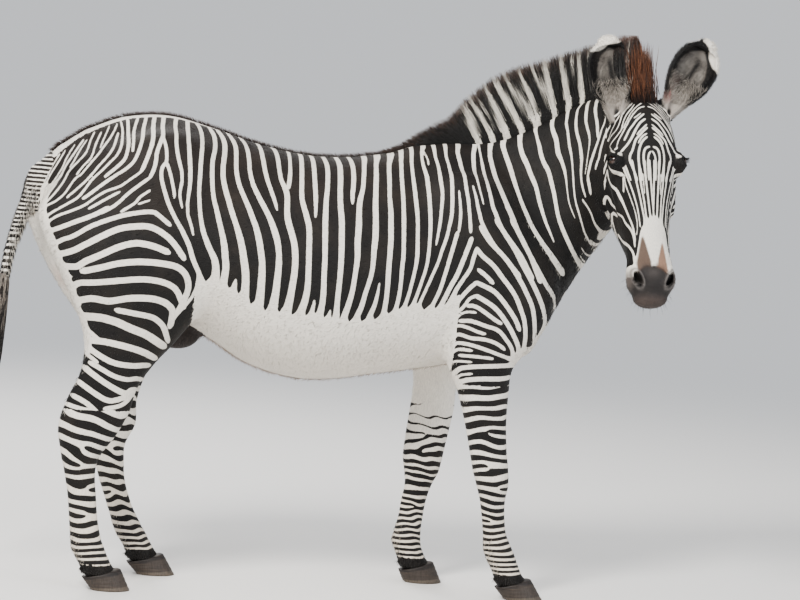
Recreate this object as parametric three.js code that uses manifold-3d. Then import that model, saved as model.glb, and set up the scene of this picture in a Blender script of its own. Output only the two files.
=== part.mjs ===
// Zebra, Grevy's kind: a standing stallion with a raised neck and the head turned to its right.
// Units are millimetres, +Z is up, +X runs toward the chest, -Y is the animal's right side.
// The flesh is one smooth implicit body: lofts through body sections (spine, neck, limbs, skull)
// and ellipsoid muscles joined by rounded blends. It is meshed, thinned and parted with thin cuts.
import * as THREE from 'three';
import { mergeVertices } from 'three/addons/utils/BufferGeometryUtils.js';
import Module from 'manifold-3d';

const wasm = await Module();
wasm.setup();

// ---------------------------------------------------------------- driving dimensions
const GAP = 0.35;              // clear space left between touching pieces
const GRID = 10;               // spacing of the field samples on the body
const EYE_R = 21;              // eyeball radius
const EYE_PROUD = 4;           // how far the eyeball stands out of the lids
const BODY_FACES = 4500;       // triangles kept on the flesh before it is parted
const HEAD_DETAIL = 5;         // how much more the head counts when the mesh is thinned
const MANE_FACES = 400;
const EAR_FACES = 320;
const TAIL_FACES = 150;
const TASSEL_FACES = 130;
const HOOF_SIDES = 18;
const KNEE_Z = 372;            // fore leg is parted through the knee
const HOCK_Z = 505;            // hind leg is parted through the hock
const ELBOW_Z = 708;           // fore leg leaves the trunk
const SHIFT = [-147, 66, 0];   // moves the model so that its box is centred on the origin

// Every loft row is one body section:
// [upper or front point x,y,z, lower or rear point x,y,z, half width, turn of the section in degrees,
//  egg (wider at the first point when positive), roundness exponent]
const TRUNK = [
  [-835, 0, 1325, -835, 0, 1160, 50, 0, -0.1, 2],
  [-780, 0, 1385, -780, 0, 1090, 105, 0, -0.2, 2],
  [-700, 0, 1438, -700, 0, 1020, 165, 0, -0.22, 2],
  [-580, 0, 1484, -580, 0, 930, 220, 0, -0.2, 2],
  [-440, 0, 1494, -440, 0, 865, 262, 0, -0.15, 2],
  [-300, 0, 1462, -300, 0, 800, 285, 0, -0.1, 2],
  [-150, 0, 1418, -150, 0, 712, 298, 0, -0.08, 2],
  [0, 0, 1391, 0, 0, 672, 303, 0, -0.08, 2],
  [120, 0, 1389, 120, 0, 672, 298, 0, -0.1, 2],
  [250, 0, 1405, 250, 0, 692, 282, 0, -0.16, 2],
  [380, 0, 1428, 380, 0, 712, 255, 0, -0.25, 2],
  [500, 0, 1440, 500, 0, 735, 235, 0, -0.32, 2],
  [620, 0, 1400, 620, 0, 775, 215, 0, -0.2, 2],
  [730, 0, 1250, 730, 0, 850, 165, 0, 0, 2],
];

const NECK = [
  [330, 0, 1410, 600, 0, 800, 215, 0, -0.3, 2],
  [342, 0, 1420, 743, 0, 763, 205, 0, -0.35, 2],
  [439, 0, 1435, 808, 0, 850, 188, 0, -0.4, 2],
  [556, 0, 1450, 855, 0, 939, 165, 3, -0.42, 2],
  [670, -10, 1485, 896, -20, 1014, 145, 10, -0.4, 2],
  [756, -25, 1528, 926, -45, 1073, 130, 20, -0.36, 2],
  [832, -55, 1575, 948, -75, 1122, 120, 32, -0.3, 2],
  [906, -95, 1616, 969, -110, 1177, 110, 46, -0.22, 2],
  [977, -150, 1631, 999, -140, 1226, 100, 60, -0.1, 2],
];

const FORE_RIGHT = [
  [801, -145, 990, 497, -145, 1090, 80, 0, 0, 2],
  [785, -165, 900, 464, -165, 960, 88, 0, 0, 2],
  [744, -168, 820, 450, -168, 840, 80, 0, 0, 2],
  [688, -163, 745, 471, -163, 745, 66, 0, 0, 2],
  [680, -158, 660, 508, -158, 660, 52, 0, 0, 2],
  [679, -155, 570, 535, -155, 570, 44, 0, 0, 2],
  [686, -153, 480, 557, -153, 480, 42, 0, 0, 2],
  [696, -152, 410, 573, -152, 410, 47, 0, 0, 2],
  [698, -152, 365, 588, -152, 365, 47, 0, 0, 2],
  [691, -152, 320, 601, -152, 320, 38, 0, 0, 2],
  [692, -152, 270, 610, -152, 270, 32, 0, 0, 2],
  [701, -152, 210, 618, -152, 210, 33, 0, 0, 2],
  [724, -152, 160, 622, -152, 160, 40, 0, 0, 2],
  [742, -152, 117, 632, -152, 133, 40, 0, 0, 2],
  [760, -152, 78, 649, -152, 102, 40, 0, 0, 2],
  [785, -152, 43, 667, -152, 67, 46, 0, 0, 2],
];

const FORE_LEFT = [
  [755, 145, 990, 462, 145, 1090, 80, 0, 0, 2],
  [715, 160, 900, 432, 160, 960, 88, 0, 0, 2],
  [655, 160, 820, 412, 160, 840, 80, 0, 0, 2],
  [594, 155, 745, 412, 155, 745, 66, 0, 0, 2],
  [575, 150, 660, 423, 150, 660, 52, 0, 0, 2],
  [569, 148, 570, 416, 148, 570, 44, 0, 0, 2],
  [553, 146, 480, 406, 146, 480, 42, 0, 0, 2],
  [540, 146, 410, 402, 146, 410, 47, 0, 0, 2],
  [530, 146, 365, 409, 146, 365, 47, 0, 0, 2],
  [509, 146, 320, 413, 146, 320, 38, 0, 0, 2],
  [494, 146, 270, 405, 146, 270, 32, 0, 0, 2],
  [486, 146, 210, 397, 146, 210, 33, 0, 0, 2],
  [482, 146, 160, 385, 146, 160, 40, 0, 0, 2],
  [486, 146, 117, 381, 146, 133, 40, 0, 0, 2],
  [502, 146, 78, 393, 146, 102, 40, 0, 0, 2],
  [524, 146, 43, 409, 146, 67, 46, 0, 0, 2],
];

const HIND_RIGHT = [
  [-408, -100, 1300, -768, -100, 1300, 100, 0, 0, 2],
  [-340, -150, 1190, -851, -150, 1190, 115, 0, 0, 2],
  [-311, -170, 1090, -827, -170, 1090, 125, 0, 0, 2],
  [-306, -180, 990, -778, -180, 990, 122, 0, 0, 2],
  [-327, -185, 900, -735, -185, 900, 105, 0, 0, 2],
  [-387, -185, 810, -703, -185, 830, 82, 0, 0, 2],
  [-462, -182, 720, -691, -182, 760, 66, 0, 0, 2],
  [-512, -178, 640, -702, -178, 680, 56, 0, 0, 2],
  [-534, -174, 560, -737, -174, 600, 47, 0, 0, 2],
  [-572, -170, 485, -760, -170, 515, 45, 0, 0, 2],
  [-617, -167, 420, -750, -167, 440, 43, 0, 0, 2],
  [-629, -165, 370, -734, -165, 370, 36, 0, 0, 2],
  [-623, -164, 300, -720, -164, 300, 33, 0, 0, 2],
  [-614, -163, 220, -711, -163, 220, 34, 0, 0, 2],
  [-599, -162, 155, -704, -162, 155, 41, 0, 0, 2],
  [-581, -162, 112, -700, -162, 128, 41, 0, 0, 2],
  [-563, -162, 76, -684, -162, 100, 41, 0, 0, 2],
  [-539, -162, 43, -663, -162, 67, 46, 0, 0, 2],
];

const HIND_LEFT = [
  [-397, 100, 1300, -758, 100, 1300, 100, 0, 0, 2],
  [-324, 150, 1190, -859, 150, 1190, 115, 0, 0, 2],
  [-283, 170, 1090, -836, 170, 1090, 125, 0, 0, 2],
  [-257, 180, 990, -786, 180, 990, 122, 0, 0, 2],
  [-257, 185, 900, -729, 185, 900, 105, 0, 0, 2],
  [-337, 185, 810, -677, 185, 830, 82, 0, 0, 2],
  [-405, 182, 720, -641, 182, 760, 66, 0, 0, 2],
  [-445, 178, 640, -628, 178, 680, 56, 0, 0, 2],
  [-468, 174, 560, -652, 174, 600, 47, 0, 0, 2],
  [-469, 170, 485, -662, 170, 515, 45, 0, 0, 2],
  [-499, 167, 420, -634, 167, 440, 43, 0, 0, 2],
  [-501, 165, 370, -606, 165, 370, 36, 0, 0, 2],
  [-494, 164, 300, -584, 164, 300, 33, 0, 0, 2],
  [-468, 163, 220, -556, 163, 220, 34, 0, 0, 2],
  [-434, 162, 155, -534, 162, 155, 41, 0, 0, 2],
  [-409, 162, 112, -521, 162, 128, 41, 0, 0, 2],
  [-388, 162, 76, -502, 162, 100, 41, 0, 0, 2],
  [-364, 162, 43, -484, 162, 67, 46, 0, 0, 2],
];

const TAIL = [
  [-780, 0, 1375, -760, 0, 1300, 37, 0, 0, 2],
  [-838, 0, 1325, -800, 0, 1262, 35, 0, 0, 2],
  [-880, 0, 1245, -832, 0, 1205, 30, 0, 0, 2],
  [-914, 0, 1150, -868, 0, 1130, 26, 0, 0, 2],
  [-938, 0, 1050, -898, 0, 1040, 22, 0, 0, 2],
  [-952, 0, 950, -914, 0, 950, 20, 0, 0, 2],
];

const TASSEL = [
  [-953, 0, 970, -912, 0, 970, 22, 0, 0, 2],
  [-974, 0, 880, -914, 0, 870, 32, 0, 0, 2],
  [-990, 0, 780, -920, 0, 770, 38, 0, 0, 2],
  [-996, 0, 680, -930, 0, 670, 34, 0, 0, 2],
  [-988, 0, 590, -950, 0, 590, 20, 0, 0, 2],
];

const MANE = [
  [238, 0, 1425, 262, 0, 1388, 12, -0, -0.3, 2.5],
  [333, 0, 1468, 401, 0, 1414, 22, -0, -0.3, 2.5],
  [457, 0, 1512, 512, 0, 1425, 28, -0, -0.3, 2.5],
  [522, 0, 1589, 577, 0, 1428, 30, 4, -0.3, 2.5],
  [594, -10, 1654, 659, -10, 1449, 30, 7.6, -0.3, 2.5],
  [672, -20, 1694, 727, -20, 1485, 30, 11.7, -0.3, 2.5],
  [751, -40, 1721, 793, -40, 1524, 30, 16.6, -0.3, 2.5],
  [827, -60, 1748, 857, -65, 1567, 30, 24.5, -0.3, 2.5],
  [894, -100, 1775, 924, -105, 1598, 30, 35.5, -0.3, 2.5],
  [952, -150, 1802, 983, -155, 1610, 30, 48.8, -0.3, 2.5],
  [1004, -225, 1832, 1038, -235, 1610, 26, 55.6, -0.3, 2.5],
];
// ---------------------------------------------------------------- the head's own frame
// a runs down the face from the poll, s runs to the animal's left, f stands off the forehead.
const POLL = [1043, -245, 1648.4];
const AX_A = [0.03935, -0.35629, -0.93354];
const AX_S = [0.99616, 0.08715, 0.00873];
const AX_F = [0.07825, -0.93030, 0.35835];
const A_SCALE = 0.972;
const H = (a, s, f) => [0, 1, 2].map((i) => POLL[i] + a * A_SCALE * AX_A[i] + s * AX_S[i] + f * AX_F[i]);

// skull rows: [a and f of the dorsal point, a and f of the ventral point, half width, egg, roundness]
const SKULL = [
  [10, -22, 30, -155, 66, 0, 2],
  [50, -2, 60, -170, 90, 0, 2.2],
  [105, 12, 110, -180, 104, 0.04, 2.3],
  [165, 18, 172, -185, 110, 0.06, 2.4],
  [225, 14, 232, -185, 110, 0.04, 2.4],
  [290, 6, 295, -178, 101, -0.03, 2.3],
  [365, -2, 370, -166, 88, -0.1, 2.2],
  [450, -10, 450, -152, 76, -0.1, 2.2],
  [525, -18, 525, -142, 71, -0.02, 2.2],
  [588, -28, 583, -138, 79, 0.02, 2.3],
  [640, -44, 630, -134, 78, 0.02, 2.3],
  [678, -72, 660, -126, 55, 0, 2.2],
];
const JAW = [
  [130, -120, 100, -235, 66, 0, 2],
  [200, -110, 190, -270, 88, 0, 2.2],
  [280, -100, 282, -272, 96, 0, 2.2],
  [360, -90, 372, -252, 88, 0, 2.2],
  [450, -80, 460, -214, 71, 0, 2.1],
  [540, -70, 540, -180, 54, 0, 2],
  [612, -80, 612, -170, 48, 0, 2],
];
// soft forms of the head: [a, s, f, radii along a, s, f, blend], made on both sides when s is not 0
const HEAD_FORMS = [
  [240, 78, -170, 100, 38, 84, 30],    // cheek muscle
  [228, 106, -42, 44, 22, 36, 22],    // rim of the eye
  [300, 88, -82, 95, 18, 22, 25],     // facial crest
  [615, 52, -62, 36, 26, 30, 15],     // nostril wing
  [40, 80, -75, 40, 34, 40, 30],      // root of the ear
  [640, 0, -156, 34, 42, 26, 20],     // chin
  [672, 0, -94, 30, 54, 32, 20],      // upper lip
];
// muscles of the body: [x, y, z, radii x, y, z, tilt in degrees, blend], made on both sides when y is not 0
const BODY_FORMS = [
  [585, 150, 1170, 110, 65, 220, -40, 90],  // shoulder blade
  [700, 130, 985, 100, 85, 120, 0, 50],     // point of the shoulder
  [-460, 160, 1300, 170, 100, 140, 0, 80],  // haunch
  [-375, 0, 800, 75, 45, 52, 0, 30],        // sheath
];
// ears: [height along the ear, half width, half depth, shift forward], and how each one is set
const EAR_ROWS = [
  [-30, 28, 32, 0], [20, 46, 38, 0], [55, 63, 41, 0], [90, 74, 41, -2],
  [130, 78, 37, -6], [165, 74, 31, -11], [195, 60, 24, -16], [216, 36, 15, -20],
];
const EAR_WALL = 12;
const EARS = {
  ear_right: { base: [958.7, -216.6, 1587.2], up: [-0.17604, 0.12128, 0.97688], front: [-0.35339, -0.93402, 0.05228] },
  ear_left: { base: [1144.0, -201.5, 1611.0], up: [0.48599, -0.01659, 0.87381], front: [-0.06184, -0.99797, 0.01545] },
};
// hooves: [ground toe x, ground heel x, top toe x, top heel x, y]
const HOOVES = {
  hoof_fore_right: [828, 700, 788, 668, -152],
  hoof_fore_left: [556, 428, 527, 410, 146],
  hoof_hind_right: [-505, -632, -536, -662, -162],
  hoof_hind_left: [-322, -449, -361, -484, 162],
};
const HOOF_TOP_TOE = 66;
const HOOF_TOP_HEEL = 38;
const HOOF_HALF_WIDTH = 53;
const HOOF_TOP_HALF_WIDTH = 45;

// ---------------------------------------------------------------- field functions
const sub = (p, q) => [p[0] - q[0], p[1] - q[1], p[2] - q[2]];
const dot = (p, q) => p[0] * q[0] + p[1] * q[1] + p[2] * q[2];
const cross = (p, q) => [p[1] * q[2] - p[2] * q[1], p[2] * q[0] - p[0] * q[2], p[0] * q[1] - p[1] * q[0]];
const unit = (p) => { const l = Math.hypot(...p) || 1; return [p[0] / l, p[1] / l, p[2] / l]; };
const clamp = (x, lo, hi) => Math.min(hi, Math.max(lo, x));

function smin(a, b, k) {
  if (k <= 0) return Math.min(a, b);
  const h = clamp(0.5 + 0.5 * (b - a) / k, 0, 1);
  return b + (a - b) * h - k * h * (1 - h);
}

// one chain of body sections, smooth between them and rounded over at both ends
class Loft {
  constructor(rows, capStart, capEnd, frame = null) {
    const n = this.n = rows.length;
    this.cap = [capStart, capEnd];
    this.parallel = Boolean(frame && frame.normal);   // all sections face one way
    const C = [], D = [], L = [], N = [], size = [];
    for (const r of rows) {
      const T = r.slice(0, 3), B = r.slice(3, 6), d = sub(T, B), axis = unit(d);
      C.push([(T[0] + B[0]) / 2, (T[1] + B[1]) / 2, (T[2] + B[2]) / 2]);
      const yaw = THREE.MathUtils.degToRad(r[7]);
      let l = frame ? frame.lateral : [Math.sin(yaw), Math.cos(yaw), 0];
      const k = dot(l, axis);
      l = unit([l[0] - k * axis[0], l[1] - k * axis[1], l[2] - k * axis[2]]);
      D.push(axis); L.push(l); N.push(frame && frame.normal ? [...frame.normal] : cross(axis, l));
      size.push([Math.hypot(...d) / 2, r[6], r[8], r[9]]);
    }
    for (let i = 0; i < n; i++) {
      if (dot(N[i], sub(C[Math.min(i + 1, n - 1)], C[Math.max(i - 1, 0)])) < 0) N[i] = N[i].map((v) => -v);
    }
    const m = Math.max(...rows.map((r) => r[6])) + Math.max(capStart, capEnd);
    this.lo = [0, 1, 2].map((i) => Math.min(...rows.map((r) => Math.min(r[i], r[i + 3]))) - m);
    this.hi = [0, 1, 2].map((i) => Math.max(...rows.map((r) => Math.max(r[i], r[i + 3]))) + m);
    // station planes, then for each span the cubics of centre, half depth and half width
    this.plane = Float64Array.from(N.flatMap((v, i) => [...v, dot(v, C[i])]));
    this.side = new Float64Array(n);
    this.span = [];
    for (let i = 0; i < n - 1; i++) {
      const cubic = (g) => {
        const b = g(i), c = g(i + 1), a = i > 0 ? g(i - 1) : 2 * b - c, d = i + 2 < n ? g(i + 2) : 2 * c - b;
        return [b, 0.5 * (c - a), 0.5 * (2 * a - 5 * b + 4 * c - d), 0.5 * (3 * b - a - 3 * c + d)];
      };
      this.span.push(Float64Array.from([
        ...cubic((k) => C[k][0]), ...cubic((k) => C[k][1]), ...cubic((k) => C[k][2]),
        ...cubic((k) => size[k][0]), ...cubic((k) => size[k][1]),
        ...D[i], ...D[i + 1], ...L[i], ...L[i + 1], size[i][2], size[i + 1][2], size[i][3], size[i + 1][3],
      ]));
    }
  }

  section(i, s0, s1, px, py, pz) {
    const S = this.span[i], over = Math.max(-s0, -s1, 0);
    const t = s0 < 0 ? 0 : s1 < 0 ? 1 : s0 + s1 > 1e-6 ? s0 / (s0 + s1) : 0.5, r = 1 - t;
    const qx = px - (((S[3] * t + S[2]) * t + S[1]) * t + S[0]);
    const qy = py - (((S[7] * t + S[6]) * t + S[5]) * t + S[4]);
    const qz = pz - (((S[11] * t + S[10]) * t + S[9]) * t + S[8]);
    const h = Math.max(((S[15] * t + S[14]) * t + S[13]) * t + S[12], 2);
    const w = Math.max(((S[19] * t + S[18]) * t + S[17]) * t + S[16], 2);
    const dx = S[20] * r + S[23] * t, dy = S[21] * r + S[24] * t, dz = S[22] * r + S[25] * t;
    const lx = S[26] * r + S[29] * t, ly = S[27] * r + S[30] * t, lz = S[28] * r + S[31] * t;
    const d = (qx * dx + qy * dy + qz * dz) / Math.sqrt(dx * dx + dy * dy + dz * dz);
    const l = (qx * lx + qy * ly + qz * lz) / Math.sqrt(lx * lx + ly * ly + lz * lz);
    const e = S[32] * r + S[33] * t, x = S[34] * r + S[35] * t;
    const a = Math.abs(l) / (w * Math.max(1 + e * clamp(d / h, -1.3, 1.3), 0.15)), b = Math.abs(d) / h;
    let k0 = x === 2 ? Math.sqrt(a * a + b * b) : Math.pow(Math.pow(a, x) + Math.pow(b, x), 1 / x);
    const c = over / (s0 < 0 ? (i === 0 ? this.cap[0] : 50) : (i === this.n - 2 ? this.cap[1] : 50));
    k0 = Math.max(Math.sqrt(k0 * k0 + c * c), 1e-4);
    const len = Math.sqrt(d * d + l * l + over * over);
    return len < 0.01 ? -Math.min(h, w) : len * (1 - 1 / k0);
  }

  value(p) {
    const [x, y, z] = p, P = this.plane, s = this.side;
    for (let i = 0; i < this.n; i++) s[i] = P[4 * i] * x + P[4 * i + 1] * y + P[4 * i + 2] * z - P[4 * i + 3];
    let best = 1e9;
    for (let i = 0; i < this.n - 1; i++) if (s[i] >= 0 && s[i + 1] <= 0) best = Math.min(best, this.section(i, s[i], -s[i + 1], x, y, z));
    if (best < 1e9) return best;
    if (this.parallel) return s[0] < 0 ? this.section(0, s[0], -s[1], x, y, z) : this.section(this.n - 2, s[this.n - 2], -s[this.n - 1], x, y, z);
    for (let i = 0; i < this.n - 1; i++) best = Math.min(best, this.section(i, s[i], -s[i + 1], x, y, z));
    return best;
  }
}

class Ellipsoid {
  constructor(c, r, axes = [[1, 0, 0], [0, 1, 0], [0, 0, 1]]) {
    this.c = c; this.r = r; this.axes = axes;
    const m = Math.max(...r);
    this.lo = c.map((v) => v - m); this.hi = c.map((v) => v + m);
  }

  value(p) {
    const q = sub(p, this.c);
    const a = this.axes.map((ax, i) => dot(q, ax) / this.r[i]);
    const k0 = Math.hypot(...a), k1 = Math.hypot(a[0] / this.r[0], a[1] / this.r[1], a[2] / this.r[2]);
    return k1 < 1e-9 ? -Math.min(...this.r) : k0 * (k0 - 1) / k1;
  }
}

const REACH = 120;             // a form has no say further than this from its own box
function blended(forms) {
  return (p) => {
    let f = 9000;
    for (const [form, k] of forms) {
      if (p[0] < form.lo[0] - REACH || p[1] < form.lo[1] - REACH || p[2] < form.lo[2] - REACH ||
          p[0] > form.hi[0] + REACH || p[1] > form.hi[1] + REACH || p[2] > form.hi[2] + REACH) continue;
      f = smin(f, form.value(p), k);
    }
    return f;
  };
}

const headRows = (rows) => rows.map((r) => [...H(r[0], 0, r[1]), ...H(r[2], 0, r[3]), r[4], 0, r[5], r[6]]);
const sides = (v) => (v === 0 ? [1] : [-1, 1]);
const bodyForms = [
  [new Loft(TRUNK, 50, 80), 0],
  [new Loft(NECK, 150, 50), 50],
  [new Loft(FORE_RIGHT, 90, 30), 45],
  [new Loft(FORE_LEFT, 90, 30), 45],
  [new Loft(HIND_RIGHT, 90, 30), 50],
  [new Loft(HIND_LEFT, 90, 30), 50],
];
for (const [x, y, z, rx, ry, rz, tilt, k] of BODY_FORMS) {
  const c = Math.cos(THREE.MathUtils.degToRad(tilt)), s = Math.sin(THREE.MathUtils.degToRad(tilt));
  for (const g of sides(y)) bodyForms.push([new Ellipsoid([x, g * y, z], [rx, ry, rz], [[c, 0, -s], [0, 1, 0], [s, 0, c]]), k]);
}
bodyForms.push([new Loft(headRows(SKULL), 50, 30, { lateral: AX_S }), 30]);
bodyForms.push([new Loft(headRows(JAW), 40, 30, { lateral: AX_S }), 30]);
for (const [a, s, f, ra, rs, rf, k] of HEAD_FORMS) {
  for (const g of sides(s)) bodyForms.push([new Ellipsoid(H(a, g * s, f), [ra, rs, rf], [AX_A, AX_S, AX_F]), k]);
}
const flesh = blended(bodyForms);

// ---------------------------------------------------------------- from field to mesh
// surface nets: one vertex in each cell that the surface crosses, worked from coarse to fine
function surfaceNets(field, lo, hi, h) {
  const n = [0, 1, 2].map((i) => Math.ceil((hi[i] - lo[i]) / h / 4) * 4 + 1);
  const H4 = 4 * h, nc = n.map((v) => (v - 1) / 4 + 1);
  const cAt = (i, j, k) => (i * nc[1] + j) * nc[2] + k;
  const at = (i, j, k) => (i * n[1] + j) * n[2] + k;
  const coarse = new Float32Array(nc[0] * nc[1] * nc[2]);
  for (let i = 0; i < nc[0]; i++) for (let j = 0; j < nc[1]; j++) for (let k = 0; k < nc[2]; k++) {
    coarse[cAt(i, j, k)] = field([lo[0] + H4 * i, lo[1] + H4 * j, lo[2] + H4 * k]);
  }
  const F = new Float32Array(n[0] * n[1] * n[2]).fill(NaN);
  const cells = [];
  for (let i = 0; i < nc[0] - 1; i++) for (let j = 0; j < nc[1] - 1; j++) for (let k = 0; k < nc[2] - 1; k++) {
    let mn = 1e9, mx = -1e9;
    for (let c = 0; c < 8; c++) {
      const v = coarse[cAt(i + (c & 1), j + ((c >> 1) & 1), k + (c >> 2))];
      mn = Math.min(mn, v); mx = Math.max(mx, v);
    }
    if (mn < 1.3 * H4 && mx > -1.3 * H4) cells.push([i, j, k]);
  }
  for (const [ci, cj, ck] of cells) {
    for (let i = ci * 4; i <= ci * 4 + 4; i++) for (let j = cj * 4; j <= cj * 4 + 4; j++) for (let k = ck * 4; k <= ck * 4 + 4; k++) {
      const a = at(i, j, k);
      if (Number.isNaN(F[a])) F[a] = field([lo[0] + h * i, lo[1] + h * j, lo[2] + h * k]);
    }
  }
  // each separate sheet of the surface inside a cell gets a vertex of its own
  const sheets = new Map(), pos = [], tri = [];
  const edges = [];
  for (const b of [1, 2, 4]) for (let c = 0; c < 8; c++) if (!(c & b)) edges.push([c, c | b, b]);
  const edgeAt = (c, b) => edges.findIndex((e) => e[0] === c && e[2] === b);
  const lookup = [1, 2, 4].map((b) => Array.from({ length: 8 }, (_, c) => (c & b ? -1 : edgeAt(c, b))));
  const faces = [];
  for (const b of [1, 2, 4]) for (const side of [0, b]) {
    faces.push([0, 1, 2, 3, 4, 5, 6, 7].filter((c) => (c & b) === side));
  }
  const faceEdges = faces.map((f) => edges.map((e, i) => (f.includes(e[0]) && f.includes(e[1]) ? i : -1)).filter((i) => i >= 0));
  for (const [ci, cj, ck] of cells) {
    for (let i = ci * 4; i < ci * 4 + 4; i++) for (let j = cj * 4; j < cj * 4 + 4; j++) for (let k = ck * 4; k < ck * 4 + 4; k++) {
      const v = [];
      let neg = 0;
      for (let c = 0; c < 8; c++) { v.push(F[at(i + (c & 1), j + ((c >> 1) & 1), k + (c >> 2))]); if (v[c] < 0) neg++; }
      if (neg === 0 || neg === 8) continue;
      const up = edges.map((_, e) => e);
      const root = (e) => { while (up[e] !== e) e = up[e]; return e; };
      faceEdges.forEach((list, f) => {
        const cut = list.filter((e) => (v[edges[e][0]] < 0) !== (v[edges[e][1]] < 0));
        if (cut.length === 2) up[root(cut[0])] = root(cut[1]);
        if (cut.length === 4) for (const c of faces[f]) {
          if (v[c] >= 0) continue;
          const own = cut.filter((e) => edges[e][0] === c || edges[e][1] === c);
          up[root(own[0])] = root(own[1]);
        }
      });
      const vertex = new Int32Array(12).fill(-1), sum = new Map();
      edges.forEach(([c, d, b], e) => {
        if ((v[c] < 0) === (v[d] < 0)) return;
        const t = v[c] / (v[c] - v[d]), r = root(e);
        if (!sum.has(r)) sum.set(r, [0, 0, 0, 0]);
        const m = sum.get(r);
        m[0] += (c & 1) + (b === 1 ? t : 0); m[1] += ((c >> 1) & 1) + (b === 2 ? t : 0); m[2] += (c >> 2) + (b === 4 ? t : 0);
        m[3]++;
      });
      for (const [r, m] of sum) {
        const n0 = pos.length / 3;
        pos.push(lo[0] + h * (i + m[0] / m[3]), lo[1] + h * (j + m[1] / m[3]), lo[2] + h * (k + m[2] / m[3]));
        for (let e = 0; e < 12; e++) if ((v[edges[e][0]] < 0) !== (v[edges[e][1]] < 0) && root(e) === r) vertex[e] = n0;
      }
      sheets.set(at(i, j, k), vertex);
    }
  }
  const step = [n[1] * n[2], n[2], 1], bit = [1, 2, 4];
  for (const key of sheets.keys()) {
    for (let ax = 0; ax < 3; ax++) {
      const a = F[key], b = F[key + step[ax]];
      if ((a < 0) === (b < 0)) continue;
      const u = (ax + 1) % 3, w = (ax + 2) % 3;
      const q = [[0, 0], [step[u], bit[u]], [step[u] + step[w], bit[u] | bit[w]], [step[w], bit[w]]].map(([back, corner]) => {
        const s = sheets.get(key - back);
        return s ? s[lookup[ax][corner]] : -1;
      });
      if (q.some((v) => v < 0)) continue;
      if (a >= 0) q.reverse();
      tri.push(q[0], q[1], q[2], q[0], q[2], q[3]);
    }
  }
  return { pos: Float64Array.from(pos), tri: Int32Array.from(tri) };
}

// moves every vertex onto the true surface
function settle(mesh, field, rounds = 2) {
  const e = 1;
  for (let r = 0; r < rounds; r++) {
    for (let i = 0; i < mesh.pos.length; i += 3) {
      const p = [mesh.pos[i], mesh.pos[i + 1], mesh.pos[i + 2]];
      const f = field(p);
      const g = [0, 1, 2].map((j) => { const q = [...p]; q[j] += e; return (field(q) - f) / e; });
      const m = dot(g, g);
      if (m < 0.05) continue;
      const s = clamp(f / m, -6, 6);
      for (let j = 0; j < 3; j++) mesh.pos[i + j] -= s * g[j];
    }
  }
  return mesh;
}

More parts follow.
